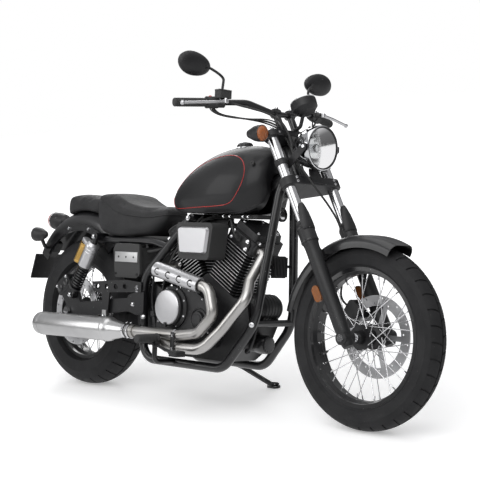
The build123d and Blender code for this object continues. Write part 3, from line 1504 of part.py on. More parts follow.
with BuildPart() as pillion_seat:
    with BuildSketch(Plane.XZ.offset(-86)):
        with BuildLine():
            FilletPolyline(
                (-140, REAR_FENDER_TOP - 30),
                (-140, REAR_FENDER_TOP + 30),
                (-100, REAR_FENDER_TOP + 68),
                (0, REAR_FENDER_TOP + 70),
                (120, REAR_FENDER_TOP + 52),
                (132, REAR_FENDER_TOP + 20),
                (132, REAR_FENDER_TOP - 60),
                radius=[24, 30, 26, 60, 24, 18, 10],
                close=True,
            )
        make_face()
    extrude(amount=172)
    with BuildSketch(Plane.XY.offset(REAR_FENDER_TOP - 70)):
        with Locations((-4, 0)):
            RectangleRounded(270, 172, 60)
    extrude(amount=200, mode=Mode.INTERSECT)
    with BuildSketch(Plane.XZ.offset(-120)):
        with Locations(REAR_FENDER_CENTRE):
            Circle(REAR_FENDER_R + SEATED)
    extrude(amount=240, mode=Mode.SUBTRACT)

with BuildPart() as rear_fender:
    add(
        fender_shell(
            (REAR_FENDER_CENTRE[0], 0, REAR_FENDER_CENTRE[1]),
            REAR_FENDER_HALF,
            REAR_FENDER_R,
            REAR_FENDER_EDGE_R,
            52.0,
            FENDER_ANGLES[0],
            FENDER_ANGLES[1],
        )
    )

# Tail light: a bullet on a foot that stands on the fender
TAIL_AT = (-334.0, 0.0, REAR_FENDER_CENTRE[1] + 315.0)
tail_outline = [
    (0.0, 0.0),
    (26.0, 2.0),
    (37.0, 12.0),
    (38.0, 22.0),
    (38.0, 60.0),
    (28.0, 100.0),
    (0.0, 126.0),
]
with BuildPart() as tail_light:
    add(turned(tail_outline, Plane(origin=TAIL_AT, x_dir=(0, 1, 0), z_dir=(1, 0, 0))))
    add(block((-286, -236), (-14, 14), (TAIL_AT[2] - 115, TAIL_AT[2] - 15), 4))
    with BuildSketch(Plane.XZ.offset(-100)):
        with Locations(REAR_FENDER_CENTRE):
            Circle(REAR_FENDER_R + SEATED)
    extrude(amount=200, mode=Mode.SUBTRACT)

rear_signal_pair = []
for side in (-1, 1):
    lamp_at = (-246.0, side * 150.0, REAR_FENDER_CENTRE[1] + 250.0)
    root = (-212.0, side * (strut_y + STRUT_T + SEATED), REAR_FENDER_CENTRE[1] + 194.0)
    rear_signal_pair.append(turn_signal(lamp_at, root, facing=-1))
with BuildPart() as rear_turn_signals:
    add(rear_signal_pair)

# Number plate with its bracket under the fender's tail
PLATE_HALF = 90.0
plate_face = [from_fender(-328, 160), from_fender(-331, 161), from_fender(-368, 49), from_fender(-365, 48)]
plate_foot = [from_fender(-284.9, 214.7), from_fender(-307.3, 181), from_fender(-310.9, 174.6)]
plate_foot += [from_fender(-329, 160), from_fender(-334, 145), from_fender(-300, 170), from_fender(-276, 210)]
with BuildPart() as number_plate:
    add(side_plate(plate_face, -PLATE_HALF, PLATE_HALF))
    add(side_plate(plate_foot, -20, 20))

# Side covers over the battery box between the upright tubes and the wheel
SIDE_COVER_Y = (119.0, 131.0)
BOX_LOW = RAIL_Z - 148
BOX_HIGH = RAIL_Z - 30
box_half = SIDE_COVER_Y[0] - SEATED
tyre_reach = sqrt(REAR_TYRE_R**2 - (BOX_LOW - REAR_TYRE_R) ** 2)
box_rear = max(REAR_FENDER_R * cos(radians(FENDER_ANGLES[0])) + 30.5, tyre_reach + 4 * CLEAR)
cover_side = [from_rails(285, -40), from_rails(300, -14), from_rails(452, -14)]
cover_side += [from_rails(462, -140), from_rails(440, -156), from_rails(300, -156)]
with BuildPart() as side_covers:
    add(side_plate(cover_side, *SIDE_COVER_Y, 12))
    mirror(about=Plane.XZ)
with BuildPart() as battery_box:
    add(block((box_rear, 448), (-box_half, box_half), (BOX_LOW, BOX_HIGH), 8))
    add(block((400, 440), (-40, 40), (BOX_HIGH - 1, RAIL_Z - 10 - SEATED), 4))

# Side hangers: perforated plates outside the swingarm that carry the muffler
hanger_outline = [
    (504, 470),
    (404, 476),
    (180, 459),
    (184, 420),
    (250, 412),
    (TAB_X[0], tab_root + 34),
    (TAB_X[1], tab_root + 34),
    (300, 420),
    (504, 430),
]
hanger_left_outline = [(504, 470), (404, 476), (180, 459), (184, 420), (320, 424), (504, 430)]
with BuildPart() as side_hangers:
    add(side_plate(hanger_outline, -HANGER_Y[1], -HANGER_Y[0], 5))
    add(side_plate(hanger_left_outline, HANGER_Y[0], HANGER_Y[1], 5))
    with BuildSketch(Plane.XZ.offset(-HANGER_Y[1] - 1)):
        with Locations((220, 440), (280, 443), (340, 446), (400, 449)):
            Circle(11)
    extrude(amount=2 * HANGER_Y[1] + 2, mode=Mode.SUBTRACT)

# Rider footpegs, brake pedal and gear lever
peg_left = rod((PEG_X, 227, PEG_Z), (PEG_X, 332, PEG_Z), PEG_R)
pedal_right = [
    bent_tube([(PEG_X + 14, -240, 238), (770, -244, 222), (852, -250, 216)], [40], 6),
    block((838, 884), (-290, -238), (206, 222), 8),
]
gear_left = [
    bent_tube([(PEG_X + 14, 240, 238), (770, 240, 226), (860, 242, 230)], [40], 6),
    rod((860, 236, 230), (860, 290, 230), 9),
]
with BuildPart() as footpegs_and_pedals:
    add(peg_left)
    mirror(about=Plane.XZ)
    add(pedal_right)
    add(gear_left)

pieces = {
    "front_tyre": front_tyre,
    "front_rim": front_rim,
    "front_hub": front_hub,
    "front_spokes": front_spokes,
    "front_brake_disc": front_brake_disc,
    "rear_tyre": rear_tyre,
    "rear_rim": rear_rim,
    "rear_hub": rear_hub,
    "rear_spokes": rear_spokes,
    "rear_brake_disc": rear_brake_disc,
    "drive_pulley": drive_pulley,
    "front_axle": front_axle,
    "fork_tubes": fork_tubes,
    "fork_sliders": fork_sliders,
    "fork_yokes": fork_yokes,
    "handlebar": handlebar,
    "handlebar_grips": handlebar_grips,
    "hand_controls": hand_controls,
    "hand_levers": hand_levers,
    "mirrors": mirrors,
    "headlight": headlight,
    "headlight_lens": headlight_lens,
    "speedometer": speedometer,
    "front_turn_signals": front_turn_signals,
    "fork_reflectors": fork_reflectors,
    "front_fender": front_fender,
    "front_caliper": front_caliper,
    "brake_hose": brake_hose,
    "frame": frame,
    "side_stand": side_stand,
    "swingarm": swingarm,
    "rear_axle": rear_axle,
    "rear_caliper": rear_caliper,
    "shock_absorbers": shock_absorbers,
    "shock_reservoirs": shock_reservoirs,
    "drive_belt": drive_belt,
    "crankcase": crankcase,
    "clutch_cover": clutch_cover,
    "cylinders": cylinders,
    "cylinder_heads": cylinder_heads,
    "air_filter_box": air_filter_box,
    "air_filter_cover": air_filter_cover,
    "exhaust_pipes": exhaust_pipes,
    "muffler": muffler,
    "heat_shield": heat_shield,
    "fuel_tank": fuel_tank,
    "filler_cap": filler_cap,
    "rider_seat": rider_seat,
    "pillion_seat": pillion_seat,
    "rear_fender": rear_fender,
    "tail_light": tail_light,
    "rear_turn_signals": rear_turn_signals,
    "number_plate": number_plate,
    "side_covers": side_covers,
    "battery_box": battery_box,
    "side_hangers": side_hangers,
    "footpegs_and_pedals": footpegs_and_pedals,
}

# All pieces lean together, and the row's origin goes to the floor at the middle of their box
leaned = Pos(0, 0, CROWN_SINK) * Rot(-LEAN, 0, 0)
leaned_box = Compound(children=[leaned * piece.part for piece in pieces.values()]).bounding_box()
PARKED = Pos(-leaned_box.center().X, -leaned_box.center().Y, -leaned_box.min.Z) * leaned
os.makedirs("parts", exist_ok=True)
for name, piece in pieces.items():
    piece.part = PARKED * piece.part
    piece.part.label = name
    export_step(piece.part, f"parts/{name}.step")
print("parked box", leaned_box.size, "stand swing", round(STAND_SWING, 1))
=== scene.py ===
"""A V-twin bobber motorcycle, parked on its side stand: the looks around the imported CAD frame."""

from dataclasses import dataclass, field
from enum import Enum
import json
import logging
import math
from typing import Callable, Sequence

import bpy
from mathutils import Matrix, Vector
from mathutils.bvhtree import BVHTree


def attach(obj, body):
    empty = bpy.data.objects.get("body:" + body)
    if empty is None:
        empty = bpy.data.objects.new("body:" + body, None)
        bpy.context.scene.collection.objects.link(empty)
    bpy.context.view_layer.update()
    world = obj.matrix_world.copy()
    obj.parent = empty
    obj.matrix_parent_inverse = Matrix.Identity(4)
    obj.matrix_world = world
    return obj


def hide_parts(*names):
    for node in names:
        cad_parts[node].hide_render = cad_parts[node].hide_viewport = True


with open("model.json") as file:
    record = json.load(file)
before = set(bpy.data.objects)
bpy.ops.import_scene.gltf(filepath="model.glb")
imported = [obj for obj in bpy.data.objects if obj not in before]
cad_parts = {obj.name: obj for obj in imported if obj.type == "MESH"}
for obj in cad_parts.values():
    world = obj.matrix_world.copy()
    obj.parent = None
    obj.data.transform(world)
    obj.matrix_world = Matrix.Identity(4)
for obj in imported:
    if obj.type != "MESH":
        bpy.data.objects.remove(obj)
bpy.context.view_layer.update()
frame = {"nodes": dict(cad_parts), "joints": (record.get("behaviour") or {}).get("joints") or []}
LOG = logging.getLogger("bobber")

MM = 0.001
LEAN = math.radians(11.0)
RAKE = math.radians(29.0)
WHEELBASE = 1570.0
FRONT_AXLE_Z = 331.0
REAR_AXLE_Z = 323.0
STEER_FOOT = (1529.093, 0.0, 308.325)
FORK_OFFSET = 46.77
FORK_HALF = 116.0
BAR_BEND = Vector((1070.0, 150.0, 1172.0))
BAR_END = Vector((974.0, 424.0, 1150.0))
CRANK = Vector((815.0, 0.0, 350.0))
BANK_ANGLE = math.radians(30.0)
SMOOTH_ANGLE = math.radians(35.0)
COPY_SMOOTH_ANGLE = math.radians(32.0)
MERGE_TURNED = 0.002
MERGE_COIL = 0.001
MERGE_LINE = 0.05
MERGE_NODE_M = 0.00002

Point = Sequence[float]


def parked_matrix() -> Matrix:
    """The move from the upright motorcycle, in millimetres, to the parked one.

    Returns:
        The matrix, in metres after it.
    """
    joint = next(j for j in frame["joints"] if j["name"] == "rear_wheel")
    lean = Matrix.Rotation(-LEAN, 4, "X")
    shift = Vector(joint["pos_m"]) - lean @ Vector((0, 0, REAR_AXLE_Z * MM))
    return Matrix.Translation(shift) @ lean @ Matrix.Scale(MM, 4)


PARKED = parked_matrix()


def steered(ahead: float, left: float, up: float) -> Vector:
    """A point given from the steering axis at axle height.

    Args:
        ahead: millimetres ahead of the axis, square to it.
        left: millimetres to the left.
        up: millimetres up along the axis.

    Returns:
        The point on the upright motorcycle, in millimetres.
    """
    return Vector(
        (
            STEER_FOOT[0] + ahead * math.cos(RAKE) - up * math.sin(RAKE),
            left,
            STEER_FOOT[2] + ahead * math.sin(RAKE) + up * math.cos(RAKE),
        )
    )


def along_bar(distance: float, ahead: float = 0.0, above: float = 0.0, side: int = 1) -> Vector:
    """A point near the handlebar's outer run.

    Args:
        distance: millimetres in from the end of the bar.
        ahead: millimetres in front of the bar.
        above: millimetres above it.
        side: 1 on the left, -1 on the right.

    Returns:
        The point on the upright motorcycle, in millimetres.
    """
    flip = Vector((1, side, 1))
    bend, end = BAR_BEND * flip, BAR_END * flip
    run = (bend - end).normalized()
    forward = run.cross(Vector((0, 0, side))).normalized()
    forward = forward if forward.x > 0 else -forward
    return end + run * distance + forward * ahead + Vector((0, 0, above))


def aimed(origin: Point, way: Point, roll_to: Point = (1, 0, 0)) -> Matrix:
    """A place whose Z axis points along a way and whose X axis lies nearest to another.

    Args:
        origin: where the place is, in millimetres.
        way: the direction of its Z axis.
        roll_to: the direction that its X axis leans to.

    Returns:
        The matrix of the place.
    """
    z_axis = Vector(way).normalized()
    x_axis = Vector(roll_to)
    if abs(x_axis.normalized().dot(z_axis)) > 0.99:
        x_axis = Vector((0, 0, 1)) if abs(z_axis.z) < 0.9 else Vector((0, 1, 0))
    x_axis = (x_axis - z_axis * x_axis.dot(z_axis)).normalized()
    y_axis = z_axis.cross(x_axis)
    turn = Matrix((x_axis, y_axis, z_axis)).transposed().to_4x4()
    return Matrix.Translation(Vector(origin)) @ turn


def bank_place(lean: int, distance: float) -> Matrix:
    """A place across a cylinder's axis.

    Args:
        lean: 1 for the front cylinder, -1 for the rear one.
        distance: millimetres from the crankshaft.

    Returns:
        The matrix of the place, its X axis forward.
    """
    way = Vector((lean * math.sin(BANK_ANGLE), 0, math.cos(BANK_ANGLE)))
    return aimed(CRANK + way * distance, way)


class Grain(Enum):
    """How the small relief of a finish looks."""

    NOISE = "noise"
    BRUSHED = "brushed"
    LEATHER = "leather"
    RINGS = "rings"


def fill_inputs(tree: bpy.types.NodeTree, node: bpy.types.Node, inputs: dict[str | int, object]) -> None:
    """Sets or links a node's inputs.

    Args:
        tree: the node tree.
        node: the node.
        inputs: by name or number, a value or the socket that feeds the input.
    """
    for key, value in inputs.items():
        if isinstance(value, bpy.types.NodeSocket):
            tree.links.new(value, node.inputs[key])
        else:
            node.inputs[key].default_value = value


def node_of(tree: bpy.types.NodeTree, kind: str, inputs: dict[str | int, object],
            **settings: object) -> bpy.types.Node:
    """Adds a shader node.

    Args:
        tree: the node tree.
        kind: its type, without the word they all begin with.
        inputs: by name or number, a value or the socket that feeds the input.
        settings: properties of the node.

    Returns:
        The node.
    """
    made = tree.nodes.new(f"ShaderNode{kind}")
    for key, value in settings.items():
        setattr(made, key, value)
    fill_inputs(tree, made, inputs)
    return made


def math_of(tree: bpy.types.NodeTree, operation: str, *inputs: object) -> bpy.types.NodeSocket:
    """The result of an operation on one or two numbers or sockets."""
    return node_of(tree, "Math", dict(enumerate(inputs)), operation=operation).outputs["Value"]


@dataclass(frozen=True)
class Finish:
    """A procedural finish: two tones, worn places, roughness and relief."""

    name: str
    tone: tuple[float, float, float]
    second: tuple[float, float, float]
    rough: tuple[float, float] = (0.35, 0.55)
    metal: float = 0.0
    coat: float = 0.0
    relief: float = 0.1
    relief_scale: float = 900.0
    patch_scale: float = 14.0
    grain: Grain = Grain.NOISE
    stretch: tuple[float, float, float] = (1.0, 1.0, 1.0)
    centre: tuple[float, float, float] = (0.0, 0.0, 0.0)
    turn: tuple[float, float, float] = (0.0, 0.0, 0.0)
    wear: float = 0.0
    wear_tone: tuple[float, float, float] = (0.3, 0.3, 0.3)
    specular: float = 0.5

    def _coordinates(self, tree: bpy.types.NodeTree) -> bpy.types.NodeSocket:
        """The Object coordinates, centred, turned and stretched for the grain."""
        place = node_of(tree, "TexCoord", {}).outputs["Object"]
        mapping = node_of(tree, "Mapping", {"Vector": place, "Location": self.centre, "Rotation": self.turn},
                          vector_type="TEXTURE")
        scaled = node_of(tree, "Mapping", {"Vector": mapping.outputs["Vector"], "Scale": self.stretch})
        return scaled.outputs["Vector"]

    def _relief(self, tree: bpy.types.NodeTree, vector: bpy.types.NodeSocket) -> bpy.types.NodeSocket:
        """The height that drives the bump."""
        if self.grain is Grain.LEATHER:
            cells = node_of(tree, "TexVoronoi", {"Vector": vector, "Scale": self.relief_scale},
                            feature="DISTANCE_TO_EDGE")
            shape = node_of(tree, "MapRange", {"Value": cells.outputs["Distance"], "From Max": 0.16})
            return shape.outputs["Result"]
        if self.grain is Grain.RINGS:
            rings = node_of(tree, "TexWave", {"Vector": vector, "Scale": self.relief_scale,
                                              "Distortion": 0.4},
                            wave_type="RINGS", rings_direction="Y")
            return rings.outputs["Fac"]
        noise = node_of(tree, "TexNoise", {"Vector": vector, "Scale": self.relief_scale, "Detail": 3.0})
        return noise.outputs["Fac"]

    def tone_socket(self, tree: bpy.types.NodeTree) -> bpy.types.NodeSocket:
        """The colour: two tones in soft patches, with specks of wear.

        Args:
            tree: the material's node tree.

        Returns:
            The socket that gives the colour.
        """
        place = node_of(tree, "TexCoord", {}).outputs["Object"]
        patches = node_of(tree, "TexNoise", {"Vector": place, "Scale": self.patch_scale, "Detail": 4.0})
        ramp = node_of(tree, "ValToRGB", {"Fac": patches.outputs["Fac"]})
        ramp.color_ramp.elements[0].position = 0.35
        ramp.color_ramp.elements[0].color = (*self.tone, 1)
        ramp.color_ramp.elements[1].position = 0.68
        ramp.color_ramp.elements[1].color = (*self.second, 1)
        if not self.wear:
            return ramp.outputs["Color"]
        specks = node_of(tree, "TexNoise", {"Vector": place, "Scale": 160.0, "Detail": 6.0})
        edge = node_of(tree, "MapRange", {"Value": specks.outputs["Fac"], "From Min": 0.70 - 0.1 * self.wear,
                                          "From Max": 0.78})
        blend = node_of(tree, "Mix", {"Factor": edge.outputs["Result"], "A": ramp.outputs["Color"],
                                      "B": (*self.wear_tone, 1)}, data_type="RGBA")
        return blend.outputs["Result"]

    def material(self) -> bpy.types.Material:
        """The Blender material of this finish, made once."""
        made = bpy.data.materials.get(self.name)
        if made:
            return made
        made = bpy.data.materials.new(self.name)
        made.use_nodes = True
        tree = made.node_tree
        vector = self._coordinates(tree)
        haze = node_of(tree, "TexNoise", {"Vector": vector, "Scale": self.patch_scale * 3, "Detail": 5.0})
        spread = node_of(tree, "MapRange", {"Value": haze.outputs["Fac"], "To Min": self.rough[0],
                                            "To Max": self.rough[1]})
        bump = node_of(tree, "Bump", {"Height": self._relief(tree, vector), "Strength": self.relief,
                                      "Distance": 0.0006})
        fill_inputs(tree, tree.nodes["Principled BSDF"], {
            "Base Color": self.tone_socket(tree),
            "Metallic": self.metal,
            "Coat Weight": self.coat,
            "Coat Roughness": 0.08,
            "Specular IOR Level": self.specular,
            "Roughness": spread.outputs["Result"],
            "Normal": bump.outputs["Normal"],
        })
        return made


@dataclass(frozen=True)
class LitPlastic:
    """A clear or coloured lens with fine ribs moulded in it."""

    name: str
    tone: tuple[float, float, float]
    clear: float = 0.7
    rib_scale: float = 90.0
    ribbed: float = 0.25

    def material(self) -> bpy.types.Material:
        """The Blender material of this lens, made once."""
        made = bpy.data.materials.get(self.name)
        if made:
            return made
        made = bpy.data.materials.new(self.name)
        made.use_nodes = True
        tree = made.node_tree
        place = node_of(tree, "TexCoord", {}).outputs["Object"]
        patches = node_of(tree, "TexNoise", {"Vector": place, "Scale": 60.0}).outputs["Fac"]
        ramp = node_of(tree, "ValToRGB", {"Fac": patches})
        ramp.color_ramp.elements[0].color = (*[v * 0.8 for v in self.tone], 1)
        ramp.color_ramp.elements[1].color = (*self.tone, 1)
        ribs = node_of(tree, "TexWave", {"Vector": place, "Scale": self.rib_scale}, bands_direction="Z")
        bump = node_of(tree, "Bump", {"Height": ribs.outputs["Fac"], "Strength": self.ribbed,
                                      "Distance": 0.0008})
        rough = node_of(tree, "MapRange", {"Value": patches, "To Min": 0.04, "To Max": 0.14})
        fill_inputs(tree, tree.nodes["Principled BSDF"], {
            "Base Color": ramp.outputs["Color"],
            "Roughness": rough.outputs["Result"],
            "Normal": bump.outputs["Normal"],
            "Transmission Weight": self.clear,
            "IOR": 1.46,
        })
        return made


@dataclass(frozen=True)
class FinnedFinish(Finish):
    """Dark engine paint whose fin edges and machined faces are bright."""

    edge_tone: tuple[float, float, float] = (0.62, 0.62, 0.63)

    def material(self) -> bpy.types.Material:
        """The paint, with bright metal where a fin's outer edge is."""
        made = bpy.data.materials.get(self.name)
        if made:
            return made
        made = super().material()
        tree = made.node_tree
        shader = tree.nodes["Principled BSDF"]
        place = node_of(tree, "TexCoord", {}).outputs["Object"]
        either = math_of(tree, "MAXIMUM", *[self._edge_mask(tree, place, lean) for lean in (1, -1)])
        paint = shader.inputs["Base Color"].links[0].from_socket
        blend = node_of(tree, "Mix", {"Factor": either, "A": paint, "B": (*self.edge_tone, 1)},
                        data_type="RGBA")
        fill_inputs(tree, shader, {"Base Color": blend.outputs["Result"], "Metallic": either})
        return made

    def _edge_mask(
        self, tree: bpy.types.NodeTree, vector: bpy.types.NodeSocket, lean: int
    ) -> bpy.types.NodeSocket:
        """1 on the outer faces of one cylinder's fins, 0 elsewhere.

        Args:
            tree: the material's node tree.
            vector: the Object coordinates.
            lean: 1 for the front cylinder, -1 for the rear one.

        Returns:
            The socket with the mask.
        """
        bank = PARKED @ bank_place(lean, 0.0)
        mapping = node_of(tree, "Mapping", {"Vector": vector, "Location": bank.translation,
                                            "Rotation": bank.to_euler()}, vector_type="TEXTURE")
        parts = node_of(tree, "SeparateXYZ", {"Vector": mapping.outputs["Vector"]}).outputs
        shares = []
        for axis, half in (("X", 0.085), ("Y", 0.088)):
            shares.append(math_of(tree, "GREATER_THAN", math_of(tree, "ABSOLUTE", parts[axis]),
                                  half - 0.0006))
        above = math_of(tree, "GREATER_THAN", parts["Z"], 0.152)
        within = math_of(tree, "MULTIPLY", math_of(tree, "MAXIMUM", *shares), above)
        reach = math_of(tree, "LESS_THAN", math_of(tree, "ABSOLUTE", parts["X"]), 0.1)
        return math_of(tree, "MULTIPLY", within, reach)


DISC_AXIS_TURN = (-LEAN, 0.0, 0.0)
TYRE = Finish("tyre_rubber", (0.011, 0.011, 0.012), (0.019, 0.019, 0.020), (0.62, 0.85), relief=0.35,
              relief_scale=420.0, patch_scale=9.0, wear=0.4, wear_tone=(0.05, 0.048, 0.045), specular=0.35)
BLACK_GLOSS = Finish("black_powder_coat", (0.004, 0.004, 0.005), (0.008, 0.008, 0.009), (0.26, 0.40),
                     coat=0.35, relief=0.10, relief_scale=700.0, wear=0.15)
BLACK_SATIN = Finish("satin_black_paint", (0.006, 0.006, 0.007), (0.011, 0.011, 0.012), (0.42, 0.56),
                     relief=0.12, relief_scale=1100.0, wear=0.12)
TANK_PAINT = Finish("tank_paint", (0.004, 0.004, 0.005), (0.008, 0.008, 0.009), (0.44, 0.52), coat=0.12,
                    metal=0.15, relief=0.04, relief_scale=300.0, patch_scale=5.0)
FENDER_PAINT = Finish("fender_paint", (0.006, 0.006, 0.007), (0.010, 0.010, 0.011), (0.36, 0.46), coat=0.4,
                      relief=0.05, relief_scale=400.0, patch_scale=6.0)
ENGINE_PAINT = FinnedFinish("engine_crackle", (0.008, 0.008, 0.009), (0.016, 0.016, 0.017), (0.44, 0.62),
                            relief=0.4, relief_scale=1300.0, wear=0.2, wear_tone=(0.09, 0.09, 0.09))
COVER_PAINT = Finish("cover_paint", (0.011, 0.011, 0.012), (0.020, 0.020, 0.021), (0.38, 0.50), relief=0.2,
                     relief_scale=900.0, wear=0.2, wear_tone=(0.1, 0.1, 0.1))
CHROME = Finish("polished_chrome", (0.60, 0.61, 0.62), (0.72, 0.72, 0.73), (0.07, 0.14), metal=1.0,
                relief=0.02, relief_scale=200.0)
BRIGHT_STEEL = Finish("bright_steel", (0.55, 0.55, 0.56), (0.70, 0.70, 0.71), (0.18, 0.30), metal=1.0,
                      relief=0.06, relief_scale=600.0, wear=0.3, wear_tone=(0.32, 0.31, 0.30))
PIPE_STEEL = Finish("brushed_pipe_steel", (0.44, 0.43, 0.41), (0.56, 0.55, 0.54), (0.26, 0.38), metal=1.0,
                    relief=0.10, relief_scale=260.0, stretch=(0.15, 3.0, 3.0), grain=Grain.BRUSHED,
                    patch_scale=7.0)
MUFFLER_STEEL = Finish("brushed_muffler_steel", (0.52, 0.52, 0.52), (0.68, 0.68, 0.68), (0.26, 0.38),
                       metal=1.0, relief=0.08, relief_scale=260.0, stretch=(0.2, 3.0, 3.0),
                       grain=Grain.BRUSHED, patch_scale=4.0)
CAST_ALLOY = Finish("cast_alloy", (0.36, 0.36, 0.37), (0.46, 0.46, 0.47), (0.34, 0.46), metal=0.9, relief=0.2,
                    relief_scale=900.0, wear=0.2, wear_tone=(0.35, 0.35, 0.35))
GOLD_ALLOY = Finish("gold_anodised", (0.50, 0.31, 0.09), (0.62, 0.40, 0.13), (0.25, 0.36), metal=1.0,
                    relief=0.08, relief_scale=800.0)
BLACK_PLASTIC = Finish("black_plastic", (0.008, 0.008, 0.008), (0.014, 0.014, 0.014), (0.50, 0.66),
                       relief=0.35, relief_scale=1500.0)
BLACK_RUBBER = Finish("black_rubber", (0.010, 0.010, 0.010), (0.018, 0.018, 0.018), (0.66, 0.84), relief=0.3,
                      relief_scale=800.0, specular=0.3)
LEATHERETTE = Finish("grained_leatherette", (0.011, 0.011, 0.012), (0.019, 0.019, 0.020), (0.50, 0.64),
                     relief=0.55, relief_scale=420.0, grain=Grain.LEATHER, patch_scale=10.0, specular=0.45)
DISC_STEEL_FRONT = Finish("front_disc_steel", (0.42, 0.42, 0.43), (0.56, 0.56, 0.57), (0.22, 0.40), metal=1.0,
                          relief=0.25, relief_scale=420.0, grain=Grain.RINGS,
                          centre=tuple(PARKED @ Vector((WHEELBASE, 0, FRONT_AXLE_Z))), turn=DISC_AXIS_TURN)
DISC_STEEL_REAR = Finish("rear_disc_steel", (0.42, 0.42, 0.43), (0.56, 0.56, 0.57), (0.22, 0.40), metal=1.0,
                         relief=0.25, relief_scale=420.0, grain=Grain.RINGS,
                         centre=tuple(PARKED @ Vector((0, 0, REAR_AXLE_Z))), turn=DISC_AXIS_TURN)
RED_LINE = Finish("red_pinstripe", (0.42, 0.012, 0.010), (0.52, 0.018, 0.014), (0.25, 0.35), coat=0.5,
                  relief=0.05)
RED_SWITCH = Finish("red_switch", (0.50, 0.02, 0.015), (0.62, 0.03, 0.02), (0.35, 0.45), relief=0.1)
DIAL_FACE = Finish("dial_face", (0.01, 0.01, 0.01), (0.015, 0.015, 0.016), (0.5, 0.6), relief=0.05)
DIAL_MARKS = Finish("dial_marks", (0.75, 0.75, 0.74), (0.82, 0.82, 0.80), (0.5, 0.6), relief=0.05)
MIRROR_GLASS = Finish("mirror_glass", (0.85, 0.86, 0.87), (0.88, 0.89, 0.90), (0.02, 0.05), metal=1.0,
                      relief=0.01)
REFLECTOR_BOWL = Finish("reflector_bowl", (0.80, 0.80, 0.81), (0.90, 0.90, 0.90), (0.06, 0.14), metal=1.0,
                        relief=0.02)
SIDE_PLATE = Finish("brushed_side_plate", (0.50, 0.50, 0.50), (0.60, 0.60, 0.60), (0.40, 0.52), metal=0.8,
                    relief=0.12, relief_scale=300.0, stretch=(0.1, 3.0, 3.0), grain=Grain.BRUSHED,
                    patch_scale=5.0)
FORK_CHROME = Finish("fork_chrome", (0.56, 0.56, 0.57), (0.64, 0.64, 0.65), (0.16, 0.22), metal=1.0,
                     relief=0.01)
AMBER = LitPlastic("amber_lens", (0.44, 0.135, 0.04), clear=0.2, rib_scale=160.0)
AMBER_REFLEX = LitPlastic("amber_reflector", (0.26, 0.085, 0.018), clear=0.0, rib_scale=320.0)
RED_LENS = LitPlastic("red_lens", (0.62, 0.01, 0.01), clear=0.30, rib_scale=160.0)
CLEAR_LENS = LitPlastic("clear_lens", (0.97, 0.98, 0.98), clear=1.0, rib_scale=12.0, ribbed=0.02)

NODE_TREES: dict[str, BVHTree] = {}


def deselect() -> None:
    """Leaves edit mode and deselects every object."""
    if bpy.context.object and bpy.context.object.mode != "OBJECT":
        bpy.ops.object.mode_set(mode="OBJECT")
    for thing in bpy.context.selected_objects:
        thing.select_set(False)


def take(thing: bpy.types.Object) -> bpy.types.Object:
    """Makes one object the only selected and active one."""
    deselect()
    thing.select_set(True)
    bpy.context.view_layer.objects.active = thing
    return thing


def select_faces(thing: bpy.types.Object, wanted: Callable[[bpy.types.MeshPolygon], bool]) -> None:
    """Selects the faces that a test picks, and leaves the object in edit mode.

    Args:
        thing: the object, active.
        wanted: tells whether a face is picked.
    """
    bpy.ops.object.mode_set(mode="EDIT")
    bpy.ops.mesh.select_mode(type="FACE")
    bpy.ops.mesh.select_all(action="DESELECT")
    bpy.ops.object.mode_set(mode="OBJECT")
    for face in thing.data.polygons:
        face.select = wanted(face)
    bpy.ops.object.mode_set(mode="EDIT")


def apply_modifier(thing: bpy.types.Object, kind: str, **settings: object) -> None:
    """Adds a modifier and applies it.

    Args:
        thing: the object.
        kind: the modifier's type.
        settings: its properties.
    """
    take(thing)
    modifier = thing.modifiers.new(kind.lower(), kind)
    for key, value in settings.items():
        setattr(modifier, key, value)
    bpy.ops.object.modifier_apply(modifier=modifier.name)


def rounded(thing: bpy.types.Object, width: float, segments: int = 2) -> bpy.types.Object:
    """Bevels the sharp edges of an object.

    Args:
        thing: the object.
        width: the bevel's width in millimetres.
        segments: its segments.

    Returns:
        The same object.
    """
    apply_modifier(thing, "BEVEL", width=width, segments=segments, limit_method="ANGLE")
    return thing


def turned(name: str, profile: Sequence[tuple[float, float]], steps: int = 48, place: Matrix | None = None,
           angle: float = 360.0) -> bpy.types.Object:
    """Spins a closed outline of (radius, height) points about the Z axis of a place.

    Args:
        name: the object's name.
        profile: the outline, in millimetres.
        steps: steps of the spin.
        place: where the axis stands.
        angle: degrees of the spin.

    Returns:
        The turned object.
    """
    deselect()
    bpy.ops.mesh.primitive_circle_add(vertices=len(profile), radius=1.0)
    thing = bpy.context.object
    thing.name = name
    for vertex, (radius, height) in zip(thing.data.vertices, profile):
        vertex.co = (radius, 0.0, height)
    bpy.ops.object.mode_set(mode="EDIT")
    bpy.ops.mesh.select_all(action="SELECT")
    bpy.ops.mesh.spin(steps=steps, angle=math.radians(angle), center=(0, 0, 0), axis=(0, 0, 1))
    bpy.ops.mesh.select_all(action="SELECT")
    bpy.ops.mesh.remove_doubles(threshold=MERGE_TURNED)
    bpy.ops.mesh.delete_loose(use_verts=False, use_edges=True, use_faces=False)
    bpy.ops.mesh.normals_make_consistent(inside=False)
    bpy.ops.object.mode_set(mode="OBJECT")
    if place:
        thing.data.transform(place)
    return thing


